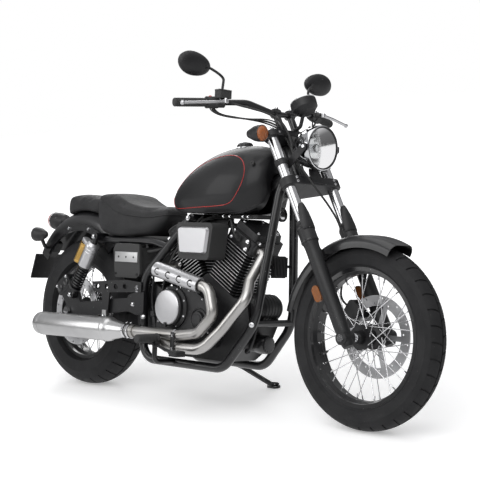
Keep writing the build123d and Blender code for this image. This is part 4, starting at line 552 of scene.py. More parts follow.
def plate(name: str, outline: Sequence[tuple[float, float]], thickness: float,
          place: Matrix | None = None) -> bpy.types.Object:
    """Extrudes a flat outline of (x, y) points along the Z axis of a place.

    Args:
        name: the object's name.
        outline: the outline, in millimetres.
        thickness: the height of the extrusion.
        place: where the outline lies.

    Returns:
        The plate.
    """
    deselect()
    bpy.ops.mesh.primitive_circle_add(vertices=len(outline), radius=1.0, fill_type="NGON")
    thing = bpy.context.object
    thing.name = name
    for vertex, (x, y) in zip(thing.data.vertices, outline):
        vertex.co = (x, y, 0.0)
    bpy.ops.object.mode_set(mode="EDIT")
    bpy.ops.mesh.select_all(action="SELECT")
    bpy.ops.mesh.extrude_region_move(TRANSFORM_OT_translate={"value": (0, 0, thickness)})
    bpy.ops.mesh.select_all(action="SELECT")
    bpy.ops.mesh.normals_make_consistent(inside=False)
    bpy.ops.object.mode_set(mode="OBJECT")
    if place:
        thing.data.transform(place)
    return thing


def capped(thing: bpy.types.Object, sides: int, merge: float = 0.0) -> bpy.types.Object:
    """Closes the open ends of an object and turns its faces outwards.

    Args:
        thing: the object.
        sides: the most sides of an end that is closed.
        merge: vertices closer than this are merged first, unless it is 0.

    Returns:
        The same object.
    """
    take(thing)
    bpy.ops.object.mode_set(mode="EDIT")
    bpy.ops.mesh.select_all(action="SELECT")
    if merge:
        bpy.ops.mesh.remove_doubles(threshold=merge)
    bpy.ops.mesh.fill_holes(sides=sides)
    bpy.ops.mesh.normals_make_consistent(inside=False)
    bpy.ops.object.mode_set(mode="OBJECT")
    return thing


def coil(radius: float, wire_r: float, foot: float, pitch: float, turns: int, steps: int,
         sides: int) -> bpy.types.Object:
    """A coil spring round the Z axis with closed ends.

    Args:
        radius: from the axis to the middle of the wire, in millimetres.
        wire_r: the wire's radius.
        foot: the height of its lower end.
        pitch: how far one turn climbs.
        turns: how many turns it has.
        steps: the steps of one turn.
        sides: the sides of the wire.

    Returns:
        The spring.
    """
    deselect()
    bpy.ops.mesh.primitive_circle_add(vertices=sides, radius=wire_r, location=(0, 0, 0))
    wire = bpy.context.object
    wire.data.transform(Matrix.Translation((radius, 0, foot)) @ Matrix.Rotation(math.pi / 2, 4, "X"))
    apply_modifier(wire, "SCREW", angle=math.tau, screw_offset=pitch, iterations=turns, steps=steps,
                   render_steps=steps, axis="Z", use_merge_vertices=False)
    return capped(wire, sides + 2, MERGE_COIL)


def smooth_line(points: Sequence[Point], radius: float, name: str, order: int = 3,
                closed: bool = False, sides: int = 4) -> bpy.types.Object:
    """A round tube along a smooth line through its control points, as a mesh.

    Args:
        points: the control points, in millimetres.
        radius: the tube's radius.
        name: the object's name.
        order: the order of the spline.
        closed: whether the line is a loop.
        sides: half of the tube's sides, less two.

    Returns:
        The tube.
    """
    data = bpy.data.curves.new(name, "CURVE")
    data.dimensions = "3D"
    data.bevel_depth = radius
    data.bevel_resolution = sides
    data.use_fill_caps = True
    spline = data.splines.new("NURBS")
    spline.points.add(len(points) - 1)
    for knot, point in zip(spline.points, points):
        knot.co = (*point, 1.0)
    spline.use_cyclic_u = closed
    spline.order_u = order
    spline.use_endpoint_u = not closed
    spline.resolution_u = 8
    thing = bpy.data.objects.new(name, data)
    bpy.context.scene.collection.objects.link(thing)
    take(thing)
    bpy.ops.object.convert(target="MESH")
    return bpy.context.object


def laid_line(target: bpy.types.Object, points: Sequence[Point], radius: float, name: str,
              closed: bool = True, proud: float = 0.0001, resolution: int = 1) -> bpy.types.Object:
    """A line laid on the surface of a parked object.

    Args:
        target: the object it lies on.
        points: its rough points on the upright motorcycle, in millimetres.
        radius: half its width.
        name: its name.
        closed: whether it is a loop.
        proud: how far its middle stands off the surface, in metres.
        resolution: how round it is.

    Returns:
        The line, on the upright motorcycle.
    """
    line = smooth_line(points, 0.01, name, 4, closed, 0)
    take(line)
    bpy.ops.object.mode_set(mode="EDIT")
    bpy.ops.mesh.select_all(action="SELECT")
    bpy.ops.mesh.remove_doubles(threshold=MERGE_LINE)
    bpy.ops.mesh.delete(type="ONLY_FACE")
    bpy.ops.object.mode_set(mode="OBJECT")
    line.data.transform(PARKED)
    apply_modifier(line, "SHRINKWRAP", target=target, wrap_method="NEAREST_SURFACEPOINT", offset=proud)
    take(line)
    bpy.ops.object.convert(target="CURVE")
    curve = bpy.context.object
    curve.data.bevel_depth = radius * MM
    curve.data.bevel_resolution = resolution
    bpy.ops.object.convert(target="MESH")
    made = bpy.context.object
    made.data.transform(PARKED.inverted())
    return made


def copied(thing: bpy.types.Object, place: Matrix, name: str) -> bpy.types.Object:
    """A copy of an object with its own mesh, moved by a matrix."""
    twin = thing.copy()
    twin.data = thing.data.copy()
    twin.name = name
    bpy.context.scene.collection.objects.link(twin)
    twin.data.transform(place)
    return twin


def node_copy(node: str, name: str) -> bpy.types.Object:
    """A merged copy of a CAD node in the shared frame; the node itself is left alone."""
    source = frame["nodes"][node]
    copy = source.copy()
    copy.data = source.data.copy()
    copy.name = name
    copy.hide_render = False
    bpy.context.scene.collection.objects.link(copy)
    place = source.matrix_world.copy()
    copy.parent = None
    copy.matrix_world = Matrix.Identity(4)
    copy.data.transform(place)
    take(copy)
    bpy.ops.object.mode_set(mode="EDIT")
    bpy.ops.mesh.select_all(action="SELECT")
    bpy.ops.mesh.remove_doubles(threshold=MERGE_NODE_M)
    bpy.ops.mesh.normals_make_consistent(inside=False)
    bpy.ops.object.mode_set(mode="OBJECT")
    if copy.data.has_custom_normals:
        bpy.ops.mesh.customdata_custom_splitnormals_clear()
    return copy


def joined(name: str, things: Sequence[bpy.types.Object]) -> bpy.types.Object:
    """Joins several objects into one with a new name."""
    take(things[0])
    for thing in things[1:]:
        thing.select_set(True)
    if len(things) > 1:
        bpy.ops.object.join()
    bpy.context.object.name = name
    return bpy.context.object


def mirrored_copy(thing: bpy.types.Object, name: str) -> bpy.types.Object:
    """The object's mirror image on the other side of the motorcycle, faces outwards."""
    twin = copied(thing, Matrix.Scale(-1, 4, (0, 1, 0)), name)
    twin.data.flip_normals()
    return twin


def finished(thing: bpy.types.Object, finish: "Finish | LitPlastic", body: str,
             soft: bool = True) -> bpy.types.Object:
    """Parks a piece that was made on the upright motorcycle and gives it its finish and body.

    Args:
        thing: the piece, its mesh in millimetres on the upright motorcycle.
        finish: the finish it gets.
        body: the CAD body it rides on.
        soft: whether its round faces are shaded smooth.

    Returns:
        The same piece.
    """
    thing.data.transform(PARKED)
    thing.data.materials.clear()
    thing.data.materials.append(finish.material())
    if soft:
        take(thing)
        bpy.ops.object.shade_smooth_by_angle(angle=SMOOTH_ANGLE)
    deselect()
    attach(thing, body)
    LOG.info("%s: %d faces on %s", thing.name, len(thing.data.polygons), body)
    return thing


def hex_bolt(size: float, length: float) -> bpy.types.Object:
    """A bolt with a round washer and a six-sided head that stands on the XY plane.

    Args:
        size: the radius of the head.
        length: the height of the head.

    Returns:
        The bolt.
    """
    washer = turned("washer", [(0, 0), (size * 1.25, 0), (size * 1.25, length * 0.2), (0, length * 0.2)], 16)
    deselect()
    bpy.ops.mesh.primitive_cylinder_add(vertices=6, radius=size, depth=length, location=(0, 0, length / 2))
    head = bpy.context.object
    bpy.ops.object.transform_apply(location=True, rotation=True, scale=True)
    select_faces(head, lambda face: face.normal.z > 0.9)
    bpy.ops.mesh.inset(thickness=size * 0.15, depth=length * 0.12)
    bpy.ops.object.mode_set(mode="OBJECT")
    return joined("bolt", [head, washer])


def button_bolt(size: float, length: float) -> bpy.types.Object:
    """A socket-headed bolt with a domed head that stands on the XY plane.

    Args:
        size: the radius of the head.
        length: the height of the head.

    Returns:
        The bolt.
    """
    profile = [(0, 0), (size, 0), (size, length * 0.55), (size * 0.8, length), (size * 0.45, length)]
    profile += [(size * 0.42, length * 0.5), (0, length * 0.5)]
    return turned("bolt", profile, 14)


def bolts(name: str, model: bpy.types.Object, places: Sequence[Matrix]) -> bpy.types.Object:
    """Copies one bolt to several places and joins the copies.

    Args:
        name: the name of the joined bolts.
        model: the bolt, which is used up.
        places: where each copy stands.

    Returns:
        The joined bolts.
    """
    copies = [copied(model, place, f"{name}_{number}") for number, place in enumerate(places)]
    bpy.data.objects.remove(model)
    return joined(name, copies)


def landed(node: str, start: Point, way: Point, sink: float = 0.0) -> Matrix:
    """The place where a straight line first meets a CAD node, facing out of it.

    Args:
        node: the node's name.
        start: where the line starts, on the upright motorcycle in millimetres.
        way: its direction.
        sink: millimetres that the place lies under the surface.

    Returns:
        The matrix of the place.
    """
    if node not in NODE_TREES:
        mesh = frame["nodes"][node].data
        NODE_TREES[node] = BVHTree.FromPolygons(
            [vertex.co for vertex in mesh.vertices], [tuple(face.vertices) for face in mesh.polygons]
        )
    turn = PARKED.to_3x3().normalized()
    spot, normal, _, _ = NODE_TREES[node].ray_cast(PARKED @ Vector(start), turn @ Vector(way).normalized())
    if spot is None:
        raise ValueError(f"{node}: nothing there from {tuple(start)}")
    outward = turn.inverted() @ normal
    outward = -outward if outward.dot(Vector(way)) > 0 else outward
    return aimed(PARKED.inverted() @ spot - outward * sink, outward)


@dataclass
class Tyre:
    """A tyre whose tread blocks stand on its carcass, in place of the plain CAD tyre."""

    node: str
    body: str
    axle: tuple[float, float, float]
    outer_r: float
    half: float
    crown_r: float
    seat_r: float
    bead_half: float
    pitches: int
    tread: float = 5.0
    groove: float = 5.5
    skew: float = 24.0

    def crown(self, across: float) -> float:
        """The radius of the tread at a distance from the tyre's middle."""
        return self.outer_r - self.crown_r + math.sqrt(self.crown_r**2 - across**2)

    def build(self) -> None:
        """Makes the carcass and its blocks as one piece that replaces the node."""
        pieces = [self._carcass()]
        for side in (1, -1):
            first = self._block(side)
            for number in range(self.pitches):
                turn = Matrix.Rotation(math.tau * number / self.pitches, 4, "Y")
                pieces.append(copied(first, turn, f"block_{side}_{number}"))
            bpy.data.objects.remove(first)
        whole = joined(f"{self.node}_tread", pieces)
        whole.data.transform(Matrix.Translation(self.axle))
        finished(whole, TYRE, self.body)
        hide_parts(self.node)

    def _carcass(self) -> bpy.types.Object:
        """The carcass: beads, sidewalls with two raised rings, and the floor of the grooves."""
        shoulder = self.half * 0.8
        flange_r = self.seat_r + 9.3
        foot = self.bead_half + 8.0
        middle_r = (flange_r + self.crown(shoulder)) / 2
        side = [
            (flange_r, foot),
            (flange_r + 8, foot + (self.half - foot) * 0.55),
            (flange_r + 10, foot + (self.half - foot) * 0.75 + 1.0),
            (flange_r + 13, foot + (self.half - foot) * 0.75 + 1.0),
            (middle_r - 8, self.half - 0.8),
            (middle_r + 6, self.half - 0.4),
            (middle_r + 8, self.half + 0.4),
            (middle_r + 12, self.half + 0.4),
            (middle_r + 14, self.half - 1.2),
            (self.crown(shoulder) - 8, shoulder + (self.half - shoulder) * 0.55),
            (self.crown(shoulder) - 1.0, shoulder + 1.0),
            (self.crown(shoulder) - self.tread, shoulder - 1.5),
        ]
        floor = [(self.crown(shoulder * share) - self.tread, shoulder * share) for share in (0.75, 0.5,
                                                                                             0.25, 0.0)]
        right = [(radius, -across) for radius, across in reversed(side + floor[:-1])]
        beads = [(flange_r, -self.bead_half), (self.seat_r, -self.bead_half)]
        beads += [(self.seat_r, self.bead_half), (flange_r, self.bead_half)]
        return turned("carcass", side + floor + right + beads, 112, aimed((0, 0, 0), (0, 1, 0)))

    def _block(self, side: int) -> bpy.types.Object:
        """One tread block, laid on the crown between two slanting grooves.

        Args:
            side: 1 for the left half of the tread, -1 for the right.

        Returns:
            The block about the tyre's own axis.
        """
        deselect()
        bpy.ops.mesh.primitive_grid_add(x_subdivisions=3, y_subdivisions=7, size=1.0)
        block = bpy.context.object
        pitch = math.tau / self.pitches
        land = pitch - self.groove / self.outer_r
        inner, outer = self.groove * 0.45, self.half * 0.8 + 0.8
        for vertex in block.data.vertices:
            along, out = vertex.co.x + 0.5, vertex.co.y + 0.5
            across = inner + (outer - inner) * out
            angle = pitch * 0.5 * (side > 0) + land * along
            angle += self.skew / self.outer_r * (out - 0.5 * out**2)
            radius = self.crown(across) if out < 0.99 else self.crown(across) - 0.6
            vertex.co = (radius * math.cos(angle), side * across, radius * math.sin(angle))
        if block.data.polygons[0].normal.dot(block.data.polygons[0].center) < 0:
            block.data.flip_normals()
        apply_modifier(block, "SOLIDIFY", thickness=self.tread + 0.6, offset=-1.0)
        return rounded(block, 0.7, 1)


@dataclass
class WireWheel:
    """Small parts of one wheel: spoke nipples, valve and disc bolts."""

    name: str
    body: str
    axle: tuple[float, float, float]
    well_r: float
    flange: tuple[float, float, float]
    outer_room: float
    disc_face: float
    disc_side: int
    spokes: int = 36
    sweep: float = 62.0
    rim_y: float = 7.0
    spoke_r: float = 1.75

    def build(self) -> None:
        """Makes the nipples, the valve and the bolts of the brake disc."""
        self._nipples()
        self._valve()
        self._disc_bolts()

    def _nipples(self) -> None:
        """A bright nipple where each spoke enters the rim."""
        outline = [(1.8, 0), (2.6, 1), (2.6, 12), (3.6, 13), (3.6, 17), (1.8, 17)]
        first = turned("nipple", outline, 8)
        per_set = self.spokes // 4
        step = math.tau / per_set
        flange_r, flange_y, flange_t = self.flange
        places = []
        # Columns: side of the hub, inner or outer face of the flange, lean, start angle
        for side, face, lean, start in ((1, 1, 1, 0.0), (1, -1, -1, 0.5), (-1, 1, 1, 0.25),
                                        (-1, -1, -1, 0.75)):
            room = self.outer_room if face > 0 else -0.3
            hub_y = side * (flange_y + face * (flange_t / 2 + self.spoke_r) + room)
            for number in range(per_set):
                angle = (start + number) * step
                hub = angle + lean * math.radians(self.sweep)
                foot = Vector(((flange_r - 2) * math.cos(hub), hub_y, (flange_r - 2) * math.sin(hub)))
                tip = Vector((self.well_r * math.cos(angle), side * self.rim_y,
                              self.well_r * math.sin(angle)))
                way = (tip - foot).normalized()
                places.append(Matrix.Translation(self.axle) @ aimed(tip - way * 18, way))
        finished(bolts(f"{self.name}_spoke_nipples", first, places), BRIGHT_STEEL, self.body)

    def _valve(self) -> None:
        """The tyre valve, with its nut and cap."""
        outline = [(0, 0), (5, 0), (5, 4), (3, 4.5), (3, 22), (4.2, 23), (4.2, 32), (2.5, 34), (0, 34)]
        angle = math.radians(200)
        way = Vector((-math.cos(angle), 0, -math.sin(angle)))
        place = Matrix.Translation(self.axle) @ aimed(-way * (self.well_r + 1), way)
        finished(turned(f"{self.name}_valve", outline, 14, place), BLACK_RUBBER, self.body)

    def _disc_bolts(self) -> None:
        """Five bolts through the carrier of the brake disc."""
        places = []
        for number in range(5):
            angle = math.tau * (number + 0.5) / 5
            spot = Vector((31 * math.cos(angle), self.disc_face, 31 * math.sin(angle)))
            places.append(Matrix.Translation(self.axle) @ aimed(spot, (0, self.disc_side, 0)))
        finished(bolts(f"{self.name}_disc_bolts", button_bolt(5.5, 4.5), places), BRIGHT_STEEL, self.body)


@dataclass
class ForkTrim:
    """Seals, caps, clamp bolts and the stem nut of the fork."""

    seal_up: float = 449.3
    lower_yoke: float = 600.0
    upper_yoke: float = 806.0
    clamp_r: float = 33.0
    tube_r: float = 20.5
    yoke_top: float = 832.0

    def build(self) -> None:
        """Makes the fork's small parts on the steering body."""
        way = steered(0, 0, 1) - steered(0, 0, 0)
        seal = [(self.tube_r + 0.2, 0), (26, 0), (26.5, 3), (24, 9), (21.5, 11), (self.tube_r + 0.2, 11)]
        cap = [(0, 0), (19.5, 0), (20, 2), (19, 5), (13, 6), (0, 6)]
        seals, caps, pinch = [], [], []
        for side in (-1, 1):
            leg = side * FORK_HALF
            seals.append(turned("seal", seal, 40, aimed(steered(FORK_OFFSET, leg, self.seal_up), way)))
            caps.append(turned("cap", cap, 40, aimed(steered(FORK_OFFSET, leg, self.yoke_top + 6.2), way)))
            nut = hex_bolt(9.5, 8)
            nut.data.transform(aimed(steered(FORK_OFFSET, leg, self.yoke_top + 12), way))
            caps.append(nut)
            for up in (self.lower_yoke + 10, self.lower_yoke + 26, self.upper_yoke + 13):
                reach = math.sqrt(self.clamp_r**2 - 14**2)
                spot = steered(FORK_OFFSET + reach - 1, leg - side * 14, up)
                pinch.append(aimed(spot, steered(1, 0, 0) - steered(0, 0, 0)))
        finished(joined("fork_dust_seals", seals), BLACK_RUBBER, "steering")
        finished(joined("fork_caps", caps), CHROME, "steering")
        finished(bolts("yoke_pinch_bolts", button_bolt(6, 7), pinch), BRIGHT_STEEL, "steering")
        nut = hex_bolt(17, 11)
        nut.data.transform(aimed(steered(0, 0, self.yoke_top + 12.2), way))
        nut.name = "steering_stem_nut"
        finished(nut, CHROME, "steering")
        self._stone_guards()

    def _stone_guards(self) -> None:
        """Two grooved bands round the top of each slider's stone guard."""
        way = steered(0, 0, 1) - steered(0, 0, 0)
        band = [(31.6, 0), (33.2, 1), (33.2, 4), (31.6, 5)]
        rings = []
        for side in (-1, 1):
            for up in (376, 428):
                rings.append(turned("band", band, 44, aimed(steered(FORK_OFFSET, side * FORK_HALF, up), way)))
        finished(joined("stone_guard_bands", rings), BLACK_GLOSS, "steering")


@dataclass
class Cockpit:
    """Grips, switch gear, levers' pivots, clamps and cables of the handlebar."""

    grip_length: float = 124.0
    bar_r: float = 11.1
    switch_in: float = 125.0
    perch_middle: float = 183.0
    clamp: tuple[float, float, float] = (1115.0, 38.0, 1138.0)

    def build(self) -> None:
        """Makes the handlebar's small parts on the steering body."""
        self._grips()
        self._switches()
        self._pivots()
        self._clamps()
        self._cables()

    def bar_way(self, side: int) -> Vector:
        """The direction of the bar's outer run, inwards."""
        return (along_bar(10, side=side) - along_bar(0, side=side)).normalized()

    def _grips(self) -> None:
        """Rubber grips with ribs round them, a flange inside and a domed end."""
        outline = [(self.bar_r + 0.2, self.grip_length - 0.5), (self.bar_r + 0.2, 0.5), (0, 0.5), (0, -5),
                   (9, -5)]
        outline += [(14, -3.5), (16.3, 0), (16.3, 4)]
        for number in range(15):
            low = 8 + number * 7.2
            outline += [(14.6, low), (16.4, low + 1.2), (16.4, low + 5.0), (14.6, low + 6.2)]
        outline += [(14.6, 118), (16.4, 119), (16.4, self.grip_length - 0.5)]
        pair = []
        for side in (-1, 1):
            pair.append(turned("grip", outline, 32, aimed(along_bar(0, side=side), self.bar_way(side))))
        grips = finished(joined("ribbed_grips", pair), BLACK_RUBBER, "steering")
        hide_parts("handlebar_grips")

    def _switches(self) -> None:
        """Seam, buttons and the red stop switch of the two switch housings."""
        bands, knobs = [], []
        for side in (-1, 1):
            way = self.bar_way(side)
            for along in (self.switch_in + 1, self.switch_in + 42):
                ring = [(21.8, 0), (22.6, 0.6), (22.6, 2.4), (21.8, 3)]
                bands.append(turned("band", ring, 36, aimed(along_bar(along, side=side), way)))
            for along, back, above, radius in ((138, -19, 10, 4.5), (152, -21, 4, 5.5), (160, -17, -10, 4.0)):
                spot = along_bar(along, ahead=back, above=above, side=side)
                outline = [(0, 0), (radius, 0), (radius, 4), (radius * 0.8, 5.5), (0, 6)]
                knobs.append(turned("knob", outline, 16, aimed(spot, spot - along_bar(along, side=side))))
        finished(joined("switch_housing_bands", bands), BLACK_SATIN, "steering")
        finished(joined("switch_buttons", knobs), BLACK_PLASTIC, "steering")
        spot = along_bar(146, ahead=-12, above=19.5, side=-1)
        outline = [(0, 0), (7, 0), (7, 3.5), (5.5, 5), (0, 5.5)]
        place = aimed(spot, spot - along_bar(146, side=-1))
        finished(turned("stop_switch", outline, 20, place), RED_SWITCH, "steering")
        lid = self._reservoir_lid()
        finished(lid, BLACK_GLOSS, "steering")

    def _reservoir_lid(self) -> bpy.types.Object:
        """The lid of the brake reservoir, with its two screws."""
        cup = along_bar(self.perch_middle - 4, ahead=32, above=38, side=-1)
        outline = [(-18.5, -24), (-13, -31.5), (13, -31.5), (18.5, -24)]
        outline += [(ahead, -across) for ahead, across in reversed(outline)]
        lid = rounded(plate("reservoir_lid", outline, 5.5, Matrix.Translation(cup)), 1.2)
        screws = []
        for across in (-20, 20):
            spot = cup + Vector((0, across, 5.3))
            screw = button_bolt(4, 2.5)
            screw.data.transform(Matrix.Translation(spot))
            screws.append(screw)
        return joined("reservoir_lid", [lid, *screws])

    def _pivots(self) -> None:
        """The pivot bolts of the levers and the clamp bolts of their perches."""
        places = []
        for side in (-1, 1):
            root = along_bar(self.perch_middle, ahead=49.3, above=6.2, side=side)
            places.append(aimed(root, (0, 0, 1)))
            for along in (self.perch_middle - 8, self.perch_middle + 8):
                spot = along_bar(along, ahead=18.5, above=12, side=side)
                places.append(aimed(spot, spot - along_bar(along, side=side)))
        finished(bolts("lever_bolts", hex_bolt(5.5, 5), places), BRIGHT_STEEL, "steering")

    def _clamps(self) -> None:
        """Ribbed clamp caps with two bolts each, over the bar on its risers."""
        x, y, z = self.clamp
        caps, places = [], []
        for side in (-1, 1):
            outline = [(-19, 0), (-19, 8), (-12, 17), (0, 20.5), (12, 17), (19, 8), (19, 0)]
            tilt = aimed((x, side * y - 13.4, z), (0, 1, 0), (math.cos(RAKE), 0, math.sin(RAKE)))
            caps.append(rounded(plate("clamp_cap", [(u, -v) for u, v in outline], 26.8, tilt), 1.5))
            for ahead in (-13, 13):
                spot = Vector((x, side * y, z)) + Vector((math.cos(RAKE), 0, math.sin(RAKE))) * ahead
                spot += Vector((-math.sin(RAKE), 0, math.cos(RAKE))) * 15.5
                places.append(aimed(spot, (-math.sin(RAKE), 0, math.cos(RAKE))))
        finished(joined("bar_clamp_caps", caps), BLACK_SATIN, "steering")
        finished(bolts("bar_clamp_bolts", button_bolt(6, 7), places), CHROME, "steering")

    def _cables(self) -> None:
        """Control cables and switch leads, from the bar in to the headlamp bracket."""
        lines = []
        # Columns: side, start along the bar, height below it, bow forward, half spread at the yoke, radius
        table = (
            (-1, 150, -20, 66, 26, 3.6),
            (-1, 141, -20, 84, 40, 2.6),
            (-1, 158, -20, 50, 14, 3.0),
            (1, 150, -20, 66, 24, 3.6),
            (1, 176, -22, 92, 40, 2.8),
        )
        for number, (side, along, below, bow, spread, radius) in enumerate(table):
            start = along_bar(along, above=below, side=side)
            points = [
                start,
                start + Vector((6, side * -8, -22)),
                along_bar(250, ahead=bow * 0.4, above=-48 - bow * 0.2, side=side),
                steered(bow, side * 96, 872),
                steered(66, side * spread * 1.6, 800),
                steered(56, side * spread, 740),
                steered(50, side * spread, 660),
                steered(50, side * spread, 638),
            ]
            lines.append(smooth_line(points, radius, f"cable_{number}"))
        finished(joined("control_cables", lines), BLACK_RUBBER, "steering")


@dataclass
class Mirrors:
    """A pair of mirrors: smooth teardrop housings with glass, on bent stems."""

    centre: tuple[float, float, float] = (981.0, 339.0, 1301.0)
    root: tuple[float, float, float] = (990.0, 300.0, 1300.0)
    bend: tuple[float, float, float] = (1025.0, 230.0, 1259.0)

    def build(self) -> None:
        """Makes both mirrors and puts them in the node's place."""
        shell = self._housing()
        stem = self._stem()
        left = joined("mirror_left", [shell, stem])
        right = mirrored_copy(left, "mirror_right")
        pair = finished(joined("mirror_housings", [left, right]), BLACK_SATIN, "steering")
        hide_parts("mirrors")
        glass = self._glass()
        both = joined("mirror_glasses", [glass, mirrored_copy(glass, "mirror_glass_right")])
        finished(both, MIRROR_GLASS, "steering")

    def _outline(self, grow: float, steps: int = 40) -> list[tuple[float, float]]:
        """A teardrop, fuller on the outside, as (y, z) points about the mirror's centre."""
        points = []
        for number in range(steps):
            angle = math.tau * number / steps
            across = (76 + grow) * math.cos(angle)
            high = (44 + grow) * math.sin(angle) * (1 + 0.10 * math.cos(angle))
            points.append((across, high + 3 * math.cos(angle)))
        return points

    def _housing(self) -> bpy.types.Object:
        """A bowl behind the glass: the outline, drawn in towards the back in smooth steps."""
        deselect()
        place = aimed((self.centre[0] - 8, self.centre[1], self.centre[2]), (1, 0, 0), (0, 1, 0))
        shell = plate("mirror_housing", self._outline(0), 3.0)
        # Columns: share of the width that is left, step towards the back
        for share, step in ((0.985, 5.0), (0.93, 6.0), (0.80, 6.0), (0.58, 5.0), (0.30, 3.0)):
            take(shell)
            top = max(vertex.co.z for vertex in shell.data.vertices)
            last = max(math.hypot(v.co.x, v.co.y) for v in shell.data.vertices if v.co.z > top - 0.01)
            select_faces(shell, lambda face: face.center.z > top - 0.01)
            bpy.ops.mesh.extrude_region_move(TRANSFORM_OT_translate={"value": (0, 0, step)})
            size = share * 79 / last
            bpy.ops.transform.resize(value=(size, size, 1.0), center_override=(0, 0, top))
            bpy.ops.object.mode_set(mode="OBJECT")
        select_faces(shell, lambda face: face.normal.z < -0.9)
        bpy.ops.mesh.inset(thickness=3.0)
        bpy.ops.transform.translate(value=(0, 0, 1.4))
        bpy.ops.object.mode_set(mode="OBJECT")
        shell.data.transform(place)
        return shell

    def _glass(self) -> bpy.types.Object:
        """The mirror's glass, a little inside the rim of its housing."""
        place = aimed((self.centre[0] - 7.4, self.centre[1], self.centre[2]), (1, 0, 0), (0, 1, 0))
        return rounded(plate("mirror_glass", self._outline(-4.0), 1.6, place), 0.4, 1)

    def _stem(self) -> bpy.types.Object:
        """The stem from its nut on the perch, bent towards the mirror's back."""
        foot = along_bar(187, above=19.8)
        up = Vector((0, 0, 1))
        points = [foot, foot + up * 12, foot + (Vector(self.bend) - foot) * 0.7, Vector(self.bend)]
        points += [Vector(self.bend) * 0.4 + Vector(self.root) * 0.6 + Vector((4, 0, 2)), Vector(self.root)]
        tube = smooth_line(points, 5.0, "mirror_stem")
        nut = hex_bolt(9.5, 9)
        nut.data.transform(Matrix.Translation(foot))
        ball = turned("ball", [(0, -8), (7, -7), (9, 0), (7, 7), (0, 8)], 20, aimed(self.root, (1, -0.6, 0)))
        return joined("mirror_stem", [tube, nut, ball])


@dataclass
class Headlamp:
    """A chrome headlamp with a reflector, a bulb shield and a clear lens."""

    centre: Vector = field(default_factory=lambda: steered(FORK_OFFSET + 110.8, 0, 711.5))
    radius: float = 84.0
    yoke_front: float = FORK_OFFSET + 33.3

    def place(self) -> Matrix:
        """The lamp's middle, facing forward."""
        return aimed(self.centre, (1, 0, 0), (0, 1, 0))

    def build(self) -> None:
        """Makes the shell, reflector, bulb, lens and bracket."""
        r = self.radius
        outline = [(0, -118), (20, -116.5), (38, -110), (54, -97), (66, -80), (74, -60), (79, -38), (81, -20)]
        outline += [(81.2, -14.5), (r, -14), (r, 1), (r - 1.5, 5), (r - 4.5, 6), (r - 7, 4), (r - 7.4, -8)]
        outline += [(73, -20), (66, -38), (54, -56), (38, -70), (18, -78), (0, -80)]
        shell = turned("headlamp_shell", outline, 72, self.place())
        screw = button_bolt(4, 4)
        screw.data.transform(aimed(self.centre + Vector((-6, 0, -r)), (0, 0, -1)))
        ring = turned("gasket", [(r - 9.8, 4.4), (r - 6.8, 6.7), (r - 4.4, 6.9), (r - 6.4, 3.6)], 72,
                      self.place())
        finished(joined("headlamp_bracket", [self._bracket(), ring]), BLACK_SATIN, "steering")
        whole = finished(joined("headlamp_shell", [shell, screw]), CHROME, "steering")
        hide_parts("headlight")
        self._reflector()
        lens = [(r - 7.6, -7), (r - 7.6, 3), (70, 6), (50, 11), (26, 14.8), (0, 16)]
        lens += [(0, 13.4), (26, 12.2), (50, 8.4), (70, 3.4), (r - 10.5, 0), (r - 10.5, -7)]
        glass = finished(turned("headlamp_lens", lens, 64, self.place()), CLEAR_LENS, "steering")
        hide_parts("headlight_lens")

    def _reflector(self) -> None:
        """The bright bowl behind the lens, and the bulb's shield."""
        bowl = [(72.5, -11), (65, -33), (53, -51), (37, -64), (18, -72), (13, -73.5)]
        bowl += [(13, -76), (18, -75), (38, -67), (55, -53.5), (67.5, -34), (74.6, -11)]
        finished(turned("headlamp_reflector", bowl, 64, self.place()), REFLECTOR_BOWL, "steering")
        shield = [(0, -16), (14, -18), (17, -24), (17, -46), (15, -46), (15, -26), (0, -24)]
        legs = [turned("shield", shield, 32, self.place())]
        for angle in (90, 210, 330):
            spot = Vector((-44, 60 * math.cos(math.radians(angle)), 60 * math.sin(math.radians(angle))))
            near = Vector((-34, 16 * math.cos(math.radians(angle)), 16 * math.sin(math.radians(angle))))
            legs.append(smooth_line([self.centre + spot, self.centre + near], 1.3, "leg", 2))
        finished(joined("bulb_shield", legs), CHROME, "steering")

    def _bracket(self) -> bpy.types.Object:
        """The foot that joins the shell to the lower yoke."""
        ahead = steered(1, 0, 0) - steered(0, 0, 0)
        outline = [(-30, 4), (30, 4), (30, 40), (22, 62), (-22, 62), (-30, 40)]
        start = steered(self.yoke_front, 0, 600)
        up = steered(0, 0, 1) - steered(0, 0, 0)
        place = Matrix.Translation(start) @ Matrix((ahead, Vector((0, 1, 0)), up)).transposed().to_4x4()
        foot = plate("lamp_bracket", outline, 7.0)
        foot.data.transform(place @ Matrix(((0, 0, 1, 0), (1, 0, 0, 0), (0, 1, 0, 0), (0, 0, 0, 1))))
        return rounded(foot, 1.5)


